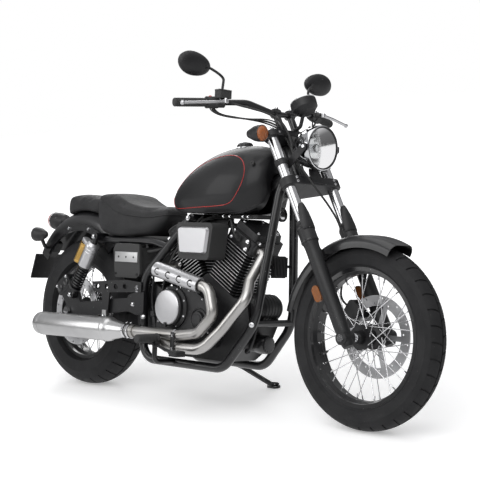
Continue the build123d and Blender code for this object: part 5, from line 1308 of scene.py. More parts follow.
@dataclass
class Speedometer:
    """The dial of the speedometer: bezel, face, ticks, numbers, needle and hub."""

    foot: Vector = field(default_factory=lambda: steered(150, 0, 870))
    radius: float = 50.0
    height: float = 44.0
    first_angle: float = 225.0
    sweep: float = 270.0

    def place(self) -> Matrix:
        """The middle of the dial's rim, facing along the steering axis; X points forward."""
        way = steered(0, 0, 1) - steered(0, 0, 0)
        ahead = steered(1, 0, 0) - steered(0, 0, 0)
        return aimed(self.foot + way * self.height, way, ahead)

    def spot(self, angle: float, radius: float) -> Vector:
        """A point on the face, its angle counted from the right as the rider sees it."""
        turn = math.radians(angle)
        return Vector((radius * math.sin(turn), -radius * math.cos(turn), 0.6))

    def build(self) -> None:
        """Makes the dial's pieces on the steering body."""
        bezel = [(41, 0.2), (49.2, 0.2), (50, 1.5), (49, 4), (46, 5), (43, 4.2), (41, 2.4)]
        finished(turned("dial_bezel", bezel, 64, self.place()), CHROME, "steering")
        face = turned("dial_face", [(0, 0.1), (41.2, 0.1), (41.2, 0.6), (0, 0.6)], 64, self.place())
        finished(face, DIAL_FACE, "steering")
        marks = []
        for number in range(41):
            long = number % 5 == 0
            angle = self.first_angle - self.sweep * number / 40
            high = 5.5 if long else 3
            tick = plate("tick", [(-0.5, 0), (0.5, 0), (0.5, high), (-0.5, high)], 0.3)
            tick.data.transform(Matrix.Translation(self.spot(angle, 33.5)) @ self._outwards(angle))
            marks.append(tick)
            if long:
                marks.append(self._number(number * 5, angle))
        needle = plate("needle", [(-1.3, -8), (1.3, -8), (0.4, 31), (-0.4, 31)], 0.6)
        needle.data.transform(Matrix.Translation((0, 0, 1.6)) @ self._outwards(self.first_angle))
        marks.append(needle)
        whole = joined("dial_marks", marks)
        whole.data.transform(self.place())
        finished(whole, DIAL_MARKS, "steering")
        hub = turned("needle_hub", [(0, 1.2), (5, 1.2), (5, 2.8), (0, 3.2)], 24, self.place())
        finished(hub, BLACK_PLASTIC, "steering")

    def _outwards(self, angle: float) -> Matrix:
        """The turn of a mark that points away from the dial's middle."""
        way = self.spot(angle, 1) - Vector((0, 0, 0.6))
        return aimed((0, 0, 0), (0, 0, 1), (way.y, -way.x, 0))

    def _number(self, value: int, angle: float) -> bpy.types.Object:
        """One number of the dial, as a mesh on its face."""
        deselect()
        bpy.ops.object.text_add()
        words = bpy.context.object
        words.data.body = str(value)
        words.data.size = 6.2
        words.data.extrude = 0.1
        words.data.align_x = "CENTER"
        words.data.align_y = "CENTER"
        bpy.ops.object.convert(target="MESH")
        made = bpy.context.object
        turn = Matrix.Rotation(-math.pi / 2, 4, "Z")
        made.data.transform(Matrix.Translation(self.spot(angle, 25.5)) @ turn)
        return made


@dataclass
class SignalLenses:
    """Ribbed lenses with a thin black ring on a pair of bullet turn signals."""

    name: str
    body: str
    centre: tuple[float, float, float]
    facing: int
    finish: LitPlastic
    radius: float = 31.0

    def build(self) -> None:
        """Makes both lenses and their rings."""
        r = self.radius
        dome = [(0, 16.5), (12, 15.2), (21, 11.6), (26.5, 6.6), (r - 2.2, 1.4), (r - 2.2, -0.2), (0, -0.2)]
        ring = [(r - 2.4, 0.1), (r + 0.5, 0.1), (r + 0.8, 1.2), (r - 0.4, 2.6), (r - 2.4, 2.2)]
        lenses, rings = [], []
        for side in (-1, 1):
            spot = (self.centre[0], side * self.centre[1], self.centre[2])
            place = aimed(spot, (self.facing, 0, 0), (0, 1, 0))
            lenses.append(turned("lens", dome, 40, place))
            rings.append(turned("ring", ring, 40, place))
        finished(joined(f"{self.name}_lenses", lenses), self.finish, self.body)
        finished(joined(f"{self.name}_rings", rings), BLACK_GLOSS, self.body)


@dataclass
class TankTrim:
    """The pinstripe, seam, plug and cap details of the fuel tank."""

    stripe: tuple[tuple[float, float, float], ...] = (
        (640.0, -96.0, 771.0),
        (760.0, -128.0, 777.0),
        (880.0, -138.0, 781.0),
        (952.0, -136.0, 786.0),
        (985.0, -132.0, 800.0),
        (1010.0, -130.0, 832.0),
        (1030.0, -126.0, 868.0),
        (1040.0, -122.0, 905.0),
        (1030.0, -112.0, 945.0),
        (1000.0, -102.0, 974.0),
        (940.0, -92.0, 988.0),
        (850.0, -86.0, 975.0),
        (760.0, -78.0, 948.0),
        (670.0, -62.0, 900.0),
        (610.0, -52.0, 850.0),
        (590.0, -54.0, 805.0),
        (604.0, -66.0, 778.0),
    )
    stripe_r: float = 1.5
    cap_at: tuple[float, float, float] = (918.0, 0.0, 1017.0)
    plug_at: tuple[float, float, float] = (1066.0, -104.0, 950.0)

    def build(self) -> None:
        """Makes the tank's trim on the chassis."""
        self._stripes()
        self._seam()
        self._cap()
        self._plug()

    def _stripes(self) -> None:
        """A thin painted loop on each side."""
        tank = frame["nodes"]["fuel_tank"]
        right = laid_line(tank, self.stripe, self.stripe_r, "pinstripe_right")
        left = laid_line(tank, [(x, -y, z) for x, y, z in self.stripe], self.stripe_r, "pinstripe_left")
        finished(joined("tank_pinstripes", [right, left]), RED_LINE, "chassis")

    def _seam(self) -> None:
        """The rolled seam low on each side of the tank."""
        run = [(600, 50, 774), (650, 88, 764), (780, 117, 759), (930, 121, 760), (1040, 98, 770),
               (1080, 68, 806)]
        seams = []
        for side in (-1, 1):
            points = [(x, side * y, z) for x, y, z in run]
            seams.append(laid_line(frame["nodes"]["fuel_tank"], points, 2.2, "seam", False))
        finished(joined("tank_seams", seams), TANK_PAINT, "chassis")

    def _cap(self) -> None:
        """A knurled ring and a lock cover on the filler cap."""
        place = aimed(self.cap_at, (-0.12, 0, 1))
        ring = []
        for number in range(24):
            turn = Matrix.Rotation(math.tau * number / 24, 4, "Z")
            rib = turned("rib", [(0, 1), (1.5, 1), (1.5, 13), (0, 13.5)], 6, Matrix.Translation((30, 0, 0)))
            rib.data.transform(place @ turn)
            ring.append(rib)
        lock = turned("lock", [(0, 21.8), (9, 21.8), (9, 23), (7, 23.8), (0, 23.8)], 28, place)
        foot = turned("cap_foot", [(29.8, -4), (37, -4), (37, 1), (35, 2.6), (29.8, 2.6)], 48, place)
        finished(joined("cap_knurls", [*ring, lock]), BLACK_GLOSS, "chassis")
        finished(foot, CHROME, "chassis")

    def _plug(self) -> None:
        """A small round plug near the front of each side."""
        plugs = []
        for side in (-1, 1):
            x, y, z = self.plug_at
            outline = [(0, -6), (8.5, -6), (8.5, 2), (7, 3.2), (3, 3.2), (2.4, 1.6), (0, 1.6)]
            plugs.append(turned("plug", outline, 24, aimed((x, side * -y, z), (0.45, side, 0.35))))
        finished(joined("tank_plugs", plugs), BLACK_RUBBER, "chassis")


@dataclass
class PaddedSeat:
    """A padded seat: its solid swells under a stretched cover, with a piped seam."""

    name: str
    node: str
    voxel: float = 0.0055
    rounding: int = 220
    cap: float = 0.011
    fill: float = 0.8
    pressure: float = 4.0
    frames: int = 20

    def build(self) -> None:
        """Makes the cushion from the node's solid and puts it in the node's place."""
        cushion = self._copy()
        before = [vertex.co.copy() for vertex in cushion.data.vertices]
        self._swell(cushion, before)
        smooth = cushion.modifiers.new("smooth", "SMOOTH")
        smooth.factor = 0.5
        smooth.iterations = 4
        take(cushion)
        bpy.ops.object.modifier_apply(modifier=smooth.name)
        apply_modifier(cushion, "SUBSURF", levels=1, render_levels=1)
        cushion.data.materials.clear()
        cushion.data.materials.append(LEATHERETTE.material())
        take(cushion)
        bpy.ops.object.shade_smooth()
        deselect()
        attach(cushion, "chassis")
        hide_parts(self.node)
        LOG.info("%s: %d faces", cushion.name, len(cushion.data.polygons))

    def _copy(self) -> bpy.types.Object:
        """A rounded, remeshed copy of the node."""
        copy = node_copy(self.node, self.name)
        apply_modifier(copy, "REMESH", mode="VOXEL", voxel_size=self.voxel)
        apply_modifier(copy, "SMOOTH", factor=0.5, iterations=self.rounding)
        return copy

    def _swell(self, cushion: bpy.types.Object, before: list[Vector]) -> None:
        """Lets the cover stretch over its foam, held at its underside.

        Args:
            cushion: the cushion.
            before: where its points were, for the cap on their move.
        """
        under = cushion.vertex_groups.new(name="under")
        low = min(v.co.z for v in cushion.data.vertices)
        under.add([v.index for v in cushion.data.vertices if v.normal.z < -0.5 or v.co.z < low + 0.02], 1.0,
                  "REPLACE")
        cloth = cushion.modifiers.new("cloth", "CLOTH")
        cloth.settings.use_pressure = True
        cloth.settings.uniform_pressure_force = self.pressure
        cloth.settings.effector_weights.gravity = 0.0
        cloth.settings.vertex_group_mass = "under"
        cloth.settings.quality = 5
        cloth.settings.tension_stiffness = 20
        scene = bpy.context.scene
        for number in range(1, self.frames + 1):
            scene.frame_set(number)
        shape = cushion.evaluated_get(bpy.context.evaluated_depsgraph_get()).to_mesh()
        swollen = [vertex.co.copy() for vertex in shape.vertices]
        cushion.evaluated_get(bpy.context.evaluated_depsgraph_get()).to_mesh_clear()
        cushion.modifiers.remove(cloth)
        scene.frame_set(1)
        for vertex, old, new in zip(cushion.data.vertices, before, swollen):
            move = new - old
            vertex.co = old + move * min(1.0, self.cap / max(move.length, 1e-6))


@dataclass
class SeatSeams:
    """Piping round the dish of the rider's seat."""

    # Columns: name, points of the right half (x, y, z), mirrored and joined at the middle
    piping: tuple[tuple[str, tuple[tuple[float, float, float], ...]], ...] = (
        (
            "rider_seat_piping",
            ((146, 0, 806), (150, 70, 806), (176, 128, 806), (216, 148, 800), (300, 150, 766),
             (356, 146, 746), (420, 118, 740), (480, 92, 742), (530, 74, 748), (548, 50, 752), (550, 0, 752)),
        ),
    )

    def build(self) -> None:
        """Lays the piping on the finished cushion."""
        for name, points in self.piping:
            loop = [(x, -y, z) for x, y, z in points] + [(x, y, z) for x, y, z in reversed(points[1:-1])]
            made = laid_line(bpy.data.objects["rider_cushion"], loop, 2.4, name, True, 0.0004, 2)
            finished(made, LEATHERETTE, "chassis")


@dataclass
class Shocks:
    """Twin shock absorbers: silver can, black spring, gold reservoir under a bridge."""

    top: tuple[float, float, float] = (193.0, 152.0, 650.0)
    bottom: tuple[float, float, float] = (41.0, 152.0, 395.0)
    can_r: float = 30.0
    reservoir_r: float = 20.0
    eye_r: float = 17.0
    spring_r: float = 22.5
    wire_r: float = 4.0
    spring_turns: int = 8

    def build(self) -> None:
        """Makes both shocks in the place of the two nodes."""
        line = Vector(self.top) - Vector(self.bottom)
        back = Vector((0, 1, 0)).cross(line).normalized()
        back = back if back.x < 0 else -back
        place = aimed(self.bottom, line, back)
        long = line.length
        dark = self._dark_pieces(place, long)
        silver = self._silver_pieces(place, long)
        gold = self._reservoir(place, long)
        finished(self._pair(dark, "shock_springs"), BLACK_GLOSS, "chassis")
        bright = finished(self._pair(silver, "shock_cans"), CAST_ALLOY, "chassis")
        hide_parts("shock_absorbers")
        tanks = finished(self._pair(gold, "shock_gold_reservoirs"), GOLD_ALLOY, "chassis")
        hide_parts("shock_reservoirs")
        nuts = []
        for x, _, z in (self.top, self.bottom):
            for side in (-1, 1):
                nuts.append(aimed((x, side * 167.2, z), (0, side, 0)))
        finished(bolts("shock_nuts", hex_bolt(9, 6), nuts), CHROME, "chassis")

    def _pair(self, things: list[bpy.types.Object], name: str) -> bpy.types.Object:
        """Joins the left pieces with their mirror image."""
        left = joined(name, things)
        return joined(name, [left, mirrored_copy(left, f"{name}_right")])

    def _eye(self, spot: Point) -> bpy.types.Object:
        """A rubber-bushed eye round a pin."""
        outline = [(8.3, -13), (self.eye_r - 2, -13), (self.eye_r, -11), (self.eye_r, 11),
                   (self.eye_r - 2, 13)]
        outline += [(8.3, 13)]
        return turned("eye", outline, 32, aimed(spot, (0, 1, 0)))

    def _dark_pieces(self, place: Matrix, long: float) -> list[bpy.types.Object]:
        """Eyes, damper, spring seat and spring of the left shock."""
        pieces = [self._eye(self.top), self._eye(self.bottom)]
        low = [(0, 12), (13, 12), (13, 24), (22, 29), (26, 31), (26.5, 38), (23, 40), (14, 41),
               (14, 0.5 * long)]
        pieces.append(turned("damper", [*low, (0, 0.5 * long)], 36, place))
        neck = [(0, long - 40), (15, long - 40), (15, long - 30), (12.5, long - 26), (12.5, long - 13),
                (0, long - 13)]
        pieces.append(turned("neck", neck, 32, place))
        pitch = (0.5 * long - 48) / self.spring_turns
        wire = coil(self.spring_r, self.wire_r, 45, pitch, self.spring_turns, 26, 10)
        wire.data.transform(place)
        pieces.append(wire)
        return pieces

    def _silver_pieces(self, place: Matrix, long: float) -> list[bpy.types.Object]:
        """The can with its turned rings, and the bridge to the reservoir."""
        low, high, r = 0.5 * long, long - 46, self.can_r
        outline = [(15, low), (r - 2, low), (r, low + 2), (r, high - 30), (r - 2, high - 28),
                   (r - 2, high - 24)]
        outline += [(r, high - 22), (r, high - 16), (r - 2, high - 14), (r - 2, high - 10), (r, high - 8),
                    (r, high)]
        outline += [(r - 4, high + 8), (18, high + 14), (15, high + 14)]
        can = turned("can", outline, 48, place)
        shape = []
        reach = r + self.reservoir_r + 0.3
        for number in range(13):
            angle = math.radians(90 + 180 * number / 12)
            shape.append((26 * math.cos(angle), 26 * math.sin(angle)))
        for number in range(13):
            angle = math.radians(-90 + 180 * number / 12)
            shape.append((reach + 18 * math.cos(angle), 18 * math.sin(angle)))
        bridge = plate("bridge", shape, 17.0)
        bridge.data.transform(place @ Matrix.Translation((0, 0, high - 13.5)))
        return [can, rounded(bridge, 4.0, 3)]

    def _reservoir(self, place: Matrix, long: float) -> list[bpy.types.Object]:
        """The reservoir beside the can."""
        low, r = 0.46 * long, self.reservoir_r
        outline = [(0, 0), (14, 0), (r - 2, 2), (r, 5), (r, 12), (r - 1, 13), (r - 1, 15), (r, 16), (r, 84)]
        outline += [(r - 1, 85), (r - 1, 87), (r, 88), (r, 97), (0, 97)]
        shift = Matrix.Translation((self.can_r + r + 0.3, 0, low))
        return [turned("reservoir", outline, 40, place @ shift)]


@dataclass
class EngineTrim:
    """Bolts, caps, plugs, leads and lines of the engine."""

    cover_bolts: tuple[tuple[float, float], ...] = (
        (630, 378), (627, 322), (652, 254), (716, 236), (796, 227), (868, 242), (916, 300), (912, 366),
        (880, 424), (802, 452), (726, 446), (662, 420),
    )
    left_bolts: tuple[tuple[float, float], ...] = (
        (690, 300), (712, 240), (796, 227), (880, 244), (924, 320), (890, 410), (802, 452), (718, 440),
    )
    clutch: tuple[float, float] = (712.0, 383.0)
    clutch_face: float = -192.0
    points_at: tuple[float, float] = (862.0, 345.0)

    def build(self) -> None:
        """Makes the engine's small parts on the chassis."""
        self._covers()
        self._clutch_cap()
        self._heads()
        self._plugs()
        self._nose()
        self._ports()

    def _covers(self) -> None:
        """The screws of the two side covers, and the ring and boss of the points cover."""
        places = [landed("crankcase", (x, -400, z), (0, 1, 0), 0.6) for x, z in self.cover_bolts]
        places += [landed("crankcase", (x, 400, z), (0, -1, 0), 0.6) for x, z in self.left_bolts]
        for number in range(6):
            angle = math.tau * (number + 0.5) / 6
            spot = (812 + 80 * math.cos(angle), 400, 340 + 80 * math.sin(angle))
            places.append(landed("crankcase", spot, (0, -1, 0), 0.6))
        finished(bolts("cover_screws", button_bolt(5.5, 5), places), BRIGHT_STEEL, "chassis")
        seal = [(39, -1), (45, -1), (45, 3.5), (43, 5), (40.5, 5), (39, 3.5)]
        inner = [(0, 11.6), (20, 11.6), (22, 13), (20, 14.4), (0, 14.4)]
        place = aimed((self.points_at[0], -160, self.points_at[1]), (0, -1, 0))
        cap = joined("points_cover", [turned("ring", seal, 48, place), turned("boss", inner, 32, place)])
        finished(cap, COVER_PAINT, "chassis")

    def _clutch_cap(self) -> None:
        """The satin silver cap of the clutch cover, with a groove and a notch at its foot."""
        outline = [(0, -3.5), (67, -3.5), (69, -1), (69, 3), (66, 6.4), (58, 7.8), (30, 8.8), (0, 9.2)]
        place = aimed((self.clutch[0], self.clutch_face, self.clutch[1]), (0, -1, 0))
        cap = turned("clutch_cap", outline, 72, place)
        finished(cap, CAST_ALLOY, "chassis")
        tab = rounded(plate("clutch_tab", [(-6, -77), (6, -77), (6, -58), (-6, -58)], 12.0), 1.5)
        tab.data.transform(aimed((self.clutch[0], self.clutch_face, self.clutch[1]), (0, -1, 0), (1, 0, 0)))
        finished(tab, COVER_PAINT, "chassis")
        places = []
        for number in range(8):
            angle = math.tau * (number + 0.5) / 8
            spot = (self.clutch[0] + 78 * math.cos(angle), -400, self.clutch[1] + 78 * math.sin(angle))
            places.append(landed("clutch_cover", spot, (0, 1, 0), 0.8))
        finished(bolts("clutch_screws", button_bolt(4.5, 4), places), BRIGHT_STEEL, "chassis")

    def _heads(self) -> None:
        """Side plates on the heads and bolts on the rocker covers."""
        plates, places = [], []
        outline = [(-58, 8), (-30, 4), (34, 4), (60, 10), (60, 38), (38, 52), (-36, 52), (-58, 40)]
        for lean in (-1, 1):
            bank = bank_place(lean, 330)
            for side in (-1, 1):
                face = bank @ aimed((0, side * 79.4, 0), (0, side, 0), (1, 0, 0))
                shape = [(u, side * -v) for u, v in outline]
                plates.append(rounded(plate("head_plate", shape, 7.0, face), 2.5))
                for across, up in ((-44, 44), (44, 44), (-46, 14), (48, 14)):
                    places.append(bank @ aimed((across, side * 86, up), (0, side, 0)))
            for across in (-46, 46):
                for side in (-50, 50):
                    places.append(bank @ Matrix.Translation((across, side, 81.6)))
        finished(joined("head_side_plates", plates), COVER_PAINT, "chassis")
        finished(bolts("head_bolts", hex_bolt(6, 6), places), BRIGHT_STEEL, "chassis")

    def _plugs(self) -> None:
        """Spark plugs with their boots and leads to the coil under the tank."""
        boots, leads = [], []
        for lean in (-1, 1):
            bank = bank_place(lean, 358)
            for side in (-1, 1):
                outline = [(0, -2), (8, -2), (8, 6), (10.5, 8), (10.5, 14), (8.5, 16), (8.5, 34), (5, 40),
                           (0, 41)]
                root = bank @ Vector((0, side * 84, 0))
                way = bank.to_3x3() @ Vector((0, side, 0.55))
                boots.append(turned("boot", outline, 20, aimed(root, way)))
                tip = root + way.normalized() * 38
                hang = tip + way.normalized() * 18
                end = Vector((900 if lean > 0 else 800, side * 40, 738))
                bend = Vector(((hang.x + end.x) / 2, side * 96, 736))
                leads.append(smooth_line([tip, hang, bend, end + Vector((0, side * 18, -4)), end], 3.4,
                                         "lead"))
        finished(joined("spark_plug_boots", boots), BLACK_RUBBER, "chassis")
        finished(joined("spark_plug_leads", leads), BLACK_RUBBER, "chassis")

    def _nose(self) -> None:
        """The oil filter, the generator bulge and an oil line at the front of the crankcase."""
        filter_can = [(0, 0), (34, 0), (36, 3), (36, 44), (33, 54), (24, 57), (0, 57)]
        can = turned("oil_filter", filter_can, 48, aimed((1040, -6, 262), (1, 0, 0)))
        flutes = []
        for number in range(14):
            angle = math.tau * number / 14
            spot = (1094, -6 + 26 * math.cos(angle), 262 + 26 * math.sin(angle))
            flutes.append(turned("flute", [(0, -4), (3, -4), (3, 3), (0, 4)], 8, aimed(spot, (1, 0, 0))))
        finished(joined("oil_filter_can", [can, *flutes]), BLACK_GLOSS, "chassis")
        bulge = [(0, -64), (34, -64), (44, -58), (51, -44), (52, 44), (44, 58), (34, 64), (0, 64)]
        body = turned("nose_bulge", bulge, 56, aimed((1056, 0, 400), (0, 1, 0)))
        ribs = [turned("rib", [(51, y), (53.5, y + 1), (53.5, y + 4), (51, y + 5)], 56,
                       aimed((1056, 0, 400), (0, 1, 0)))
                for y in (-40, -24, -8, 8, 24)]
        finished(joined("crankcase_nose", [body, *ribs]), COVER_PAINT, "chassis")
        run = [(1040, -70, 236), (1066, -76, 240), (1090, -74, 300), (1096, -70, 392), (1070, -66, 456),
               (1040, -74, 470), (1030, -79, 460)]
        line = smooth_line(run, 5.0, "oil_line", 4)
        nuts = bolts("oil_line_nuts", hex_bolt(9, 12), [aimed(run[0], (1, 0, 0)),
                                                        aimed(run[-1], (0.4, 0, 1))])
        finished(joined("oil_line", [line, nuts]), BLACK_SATIN, "chassis")

    def _ports(self) -> None:
        """Flanges, studs and nuts where the exhaust pipes leave the heads."""
        rings, places = [], []
        front = bank_place(1, 357) @ Vector((77.5, -48, 0))
        way = bank_place(1, 357).to_3x3() @ Vector((1, 0, 0))
        for spot, aim, r in ((front, way, 21.8), (Vector((640, -88.2, 532)), Vector((0, -1, 0)), 22.4)):
            face = aimed(spot, aim)
            rings.append(turned("flange", [(r, 0), (33, 0), (34, 2), (34, 8), (32, 10), (r, 10)], 44, face))
            for angle in (30, 210):
                turn = math.radians(angle)
                ear = face @ Vector((38 * math.cos(turn), 38 * math.sin(turn), 0))
                rings.append(turned("ear", [(0, 0), (9, 0), (9, 9), (0, 9)], 18, aimed(ear, aim)))
                places.append(aimed(ear + aim * 9, aim))
        finished(joined("port_flanges", rings), BLACK_SATIN, "chassis")
        finished(bolts("port_nuts", hex_bolt(6, 7), places), BRIGHT_STEEL, "chassis")


@dataclass
class ExhaustTrim:
    """Clamps, strap and bolts of the exhaust, and the hoops and outlet of the muffler."""

    pipe_y: float = -200.0
    pipe_r: float = 22.0
    rear: tuple[float, float] = (-128.0, 262.0)
    join: tuple[float, float] = (800.0, 280.0)

    def spot(self, x: float) -> Vector:
        """A point on the line of the muffler."""
        share = (x - self.rear[0]) / (self.join[0] - self.rear[0])
        return Vector((x, self.pipe_y, self.rear[1] + (self.join[1] - self.rear[1]) * share))

    def build(self) -> None:
        """Makes the exhaust's small parts on the chassis."""
        way = (self.spot(800) - self.spot(0)).normalized()
        bands = []
        for x, radius in ((474, self.pipe_r + 6.4), (500, self.pipe_r + 6.4), (780, self.pipe_r + 0.4)):
            ring = [(radius, 0), (radius + 2.2, 0.5), (radius + 2.2, 11.5), (radius, 12)]
            bands.append(turned("band", ring, 48, aimed(self.spot(x), way)))
        ring = [(self.pipe_r - 0.2, 0), (self.pipe_r + 2, 0.5), (self.pipe_r + 2, 11.5),
                (self.pipe_r - 0.2, 12)]
        bands.append(turned("band", ring, 48, aimed((780, self.pipe_y, 231), (1, 0, 0.02))))
        finished(joined("exhaust_bands", bands), BRIGHT_STEEL, "chassis")
        outline = [(-9, -38), (9, -38), (11, 0), (9, 38), (-9, 38), (-11, 0)]
        strap = rounded(plate("exhaust_strap", outline, 5.0,
                              aimed((786, self.pipe_y - 22, 254), (0, -1, 0))), 1.2)
        finished(strap, BLACK_SATIN, "chassis")
        places = [aimed((786, self.pipe_y - 27, 254 + up), (0, -1, 0)) for up in (-26, 26)]
        places += [aimed(self.spot(x) + Vector((6, -2, self.pipe_r + 8)), (0, -0.3, 1)) for x in (474, 500)]
        finished(bolts("exhaust_bolts", hex_bolt(5.5, 5), places), BRIGHT_STEEL, "chassis")
        tube = [(22, -3), (25, -4.5), (29.6, -3), (29.6, 56), (22, 56)]
        finished(turned("muffler_outlet", tube, 48, aimed(self.spot(self.rear[0]), way)), BLACK_SATIN,
                 "chassis")
        hoops = []
        for along in (36, 478):
            hoop = [(49.6, along), (51.2, along + 1), (51.2, along + 9), (49.6, along + 10)]
            hoops.append(turned("hoop", hoop, 64, aimed(self.spot(self.rear[0]), way)))
        finished(joined("muffler_hoops", hoops), MUFFLER_STEEL, "chassis")
        tab = aimed((275, -162.4, 318), (0, -1, 0))
        finished(bolts("muffler_bolt", hex_bolt(8, 7), [tab]), CHROME, "chassis")


@dataclass
class RearTrim:
    """Bolts, tail lens, plate frame, side plates, hanger rims and inner mudguard of the rear."""

    fender_centre: tuple[float, float] = (0.0, 400.0)
    strut_r: float = 288.0
    strut_y: float = 101.3
    bolt_angles: tuple[float, ...] = (104.0, 76.0, 62.0, 53.5)
    tail: tuple[float, float, float] = (-334.0, 0.0, 715.0)
    plate_x: tuple[float, float] = (300.0, 446.0)
    plate_z: tuple[float, float] = (549.0, 591.0)
    cover_y: float = 131.0

    def build(self) -> None:
        """Makes the small parts of the rear on the chassis."""
        places = []
        for side in (-1, 1):
            for angle in self.bolt_angles:
                turn = math.radians(angle)
                x = self.fender_centre[0] + self.strut_r * math.cos(turn)
                z = self.fender_centre[1] + self.strut_r * math.sin(turn)
                places.append(aimed((x, side * (self.strut_y - 0.4), z), (0, side, 0)))
        finished(bolts("strut_bolts", button_bolt(8.5, 8), places), CHROME, "chassis")
        self._tail_lens()
        self._plate()
        self._side_plates()
        self._hangers()
        self._inner_mudguard()

    def _tail_lens(self) -> None:
        """The red lens at the back of the tail light, in a thin chrome rim."""
        place = aimed(self.tail, (1, 0, 0), (0, 1, 0))
        lens = [(0, -1.2), (15, -0.8), (26.4, 1.0), (32.5, 5.2), (36.9, 11.0), (38.2, 16), (38.2, 19)]
        lens += [(37, 19), (36.4, 12.6), (25.6, 2.6), (0, 0.6)]
        finished(turned("tail_lens", lens, 48, place), RED_LENS, "chassis")
        rim = [(37.8, 19), (39.2, 20), (39.2, 24), (37.8, 25)]
        finished(turned("tail_rim", rim, 48, place), CHROME, "chassis")

    def _plate(self) -> None:
        """A thin frame with two screws round the blank plate, and a small lamp over it."""
        face = aimed((-350.6, 0, 504.5), (-0.948, 0, 0.313), (0, 1, 0))
        bars = []
        for across, up, wide, high in ((0, 55.6, 88, 3), (0, -55.6, 88, 3), (-86.5, 0, 3, 58),
                                       (86.5, 0, 3, 58)):
            shape = [(across - wide, up - high), (across + wide, up - high), (across + wide, up + high),
                     (across - wide, up + high)]
            bars.append(plate("bar", shape, 2.6, face))
        finished(rounded(joined("plate_frame", bars), 0.6, 1), BLACK_PLASTIC, "chassis")
        places = [face @ Matrix.Translation((across, 40, 1.2)) for across in (-60, 60)]
        finished(bolts("plate_screws", button_bolt(5, 3), places), BRIGHT_STEEL, "chassis")
        lamp = rounded(plate("plate_lamp", [(-26, 0), (26, 0), (22, 14), (-22, 14)], 16.0), 3.0)
        lamp.data.transform(aimed((-331, 0, 566), (-0.948, 0, 0.313), (0, 1, 0)))
        finished(lamp, BLACK_PLASTIC, "chassis")

    def _side_plates(self) -> None:
        """A brushed plate with three dimples on each side cover, and two screws."""
        low_x, high_x = self.plate_x
        low_z, high_z = self.plate_z
        plates, dots, places = [], [], []
        for side in (-1, 1):
            middle = Vector(((low_x + high_x) / 2, side * (self.cover_y - 0.3), (low_z + high_z) / 2))
            face = aimed(middle, (0, side, 0), (1, 0, 0))
            half, high = (high_x - low_x) / 2, (high_z - low_z) / 2
            shape = [(-half, -high), (half, -high), (half, high), (-half, high)]
            plates.append(rounded(plate("side_plate", shape, 3.4, face), 1.4, 2))
            for across in (-48, 0, 48):
                dot = [(0, 3), (4.5, 3), (4.5, 4.1), (3.6, 4.4), (0, 4.0)]
                dots.append(turned("dot", dot, 16, face @ Matrix.Translation((across, 0, 0))))
            for x, z in ((306, 500), (444, 500)):
                places.append(aimed((x, side * (self.cover_y - 0.3), z), (0, side, 0)))
        finished(joined("side_cover_plates", plates), SIDE_PLATE, "chassis")
        finished(joined("side_plate_dots", dots), BLACK_PLASTIC, "chassis")
        finished(bolts("side_cover_screws", button_bolt(5.5, 4), places), BLACK_GLOSS, "chassis")

    def _hangers(self) -> None:
        """The bolts of the side hangers and a rolled rim round each of their holes."""
        places, rims = [], []
        for side in (-1, 1):
            for x, z in ((196, 440), (478, 450), (478, 436)):
                places.append(landed("side_hangers", (x, side * 400, z), (0, -side, 0), 0.4))
            for x, z in ((220, 440), (280, 443), (340, 446), (400, 449)):
                rim = [(11.2, -0.2), (14, -0.2), (13, 1.8), (11.2, 2.2)]
                rims.append(turned("rim", rim, 24, aimed((x, side * 155.3, z), (0, side, 0))))
        finished(bolts("hanger_bolts", hex_bolt(6.5, 6), places), BRIGHT_STEEL, "chassis")
        finished(joined("hanger_hole_rims", rims), BLACK_SATIN, "chassis")

    def _inner_mudguard(self) -> None:
        """A thin guard between the rear tyre and the battery box."""
        radius, start, end, steps = 331.5, 12.0, 41.5, 12
        outline = [(radius, -78), (radius + 3, -78), (radius + 3, 78), (radius, 78)]
        guard = turned("inner_mudguard", outline, steps, None, end - start)
        guard.data.transform(Matrix.Rotation(math.radians(end), 4, "Z"))
        capped(guard, 4)
        turn = Matrix(((1, 0, 0, 0), (0, 0, -1, 0), (0, 1, 0, 0), (0, 0, 0, 1)))
        guard.data.transform(Matrix.Translation((0, 0, REAR_AXLE_Z)) @ turn)
        finished(guard, BLACK_PLASTIC, "chassis")


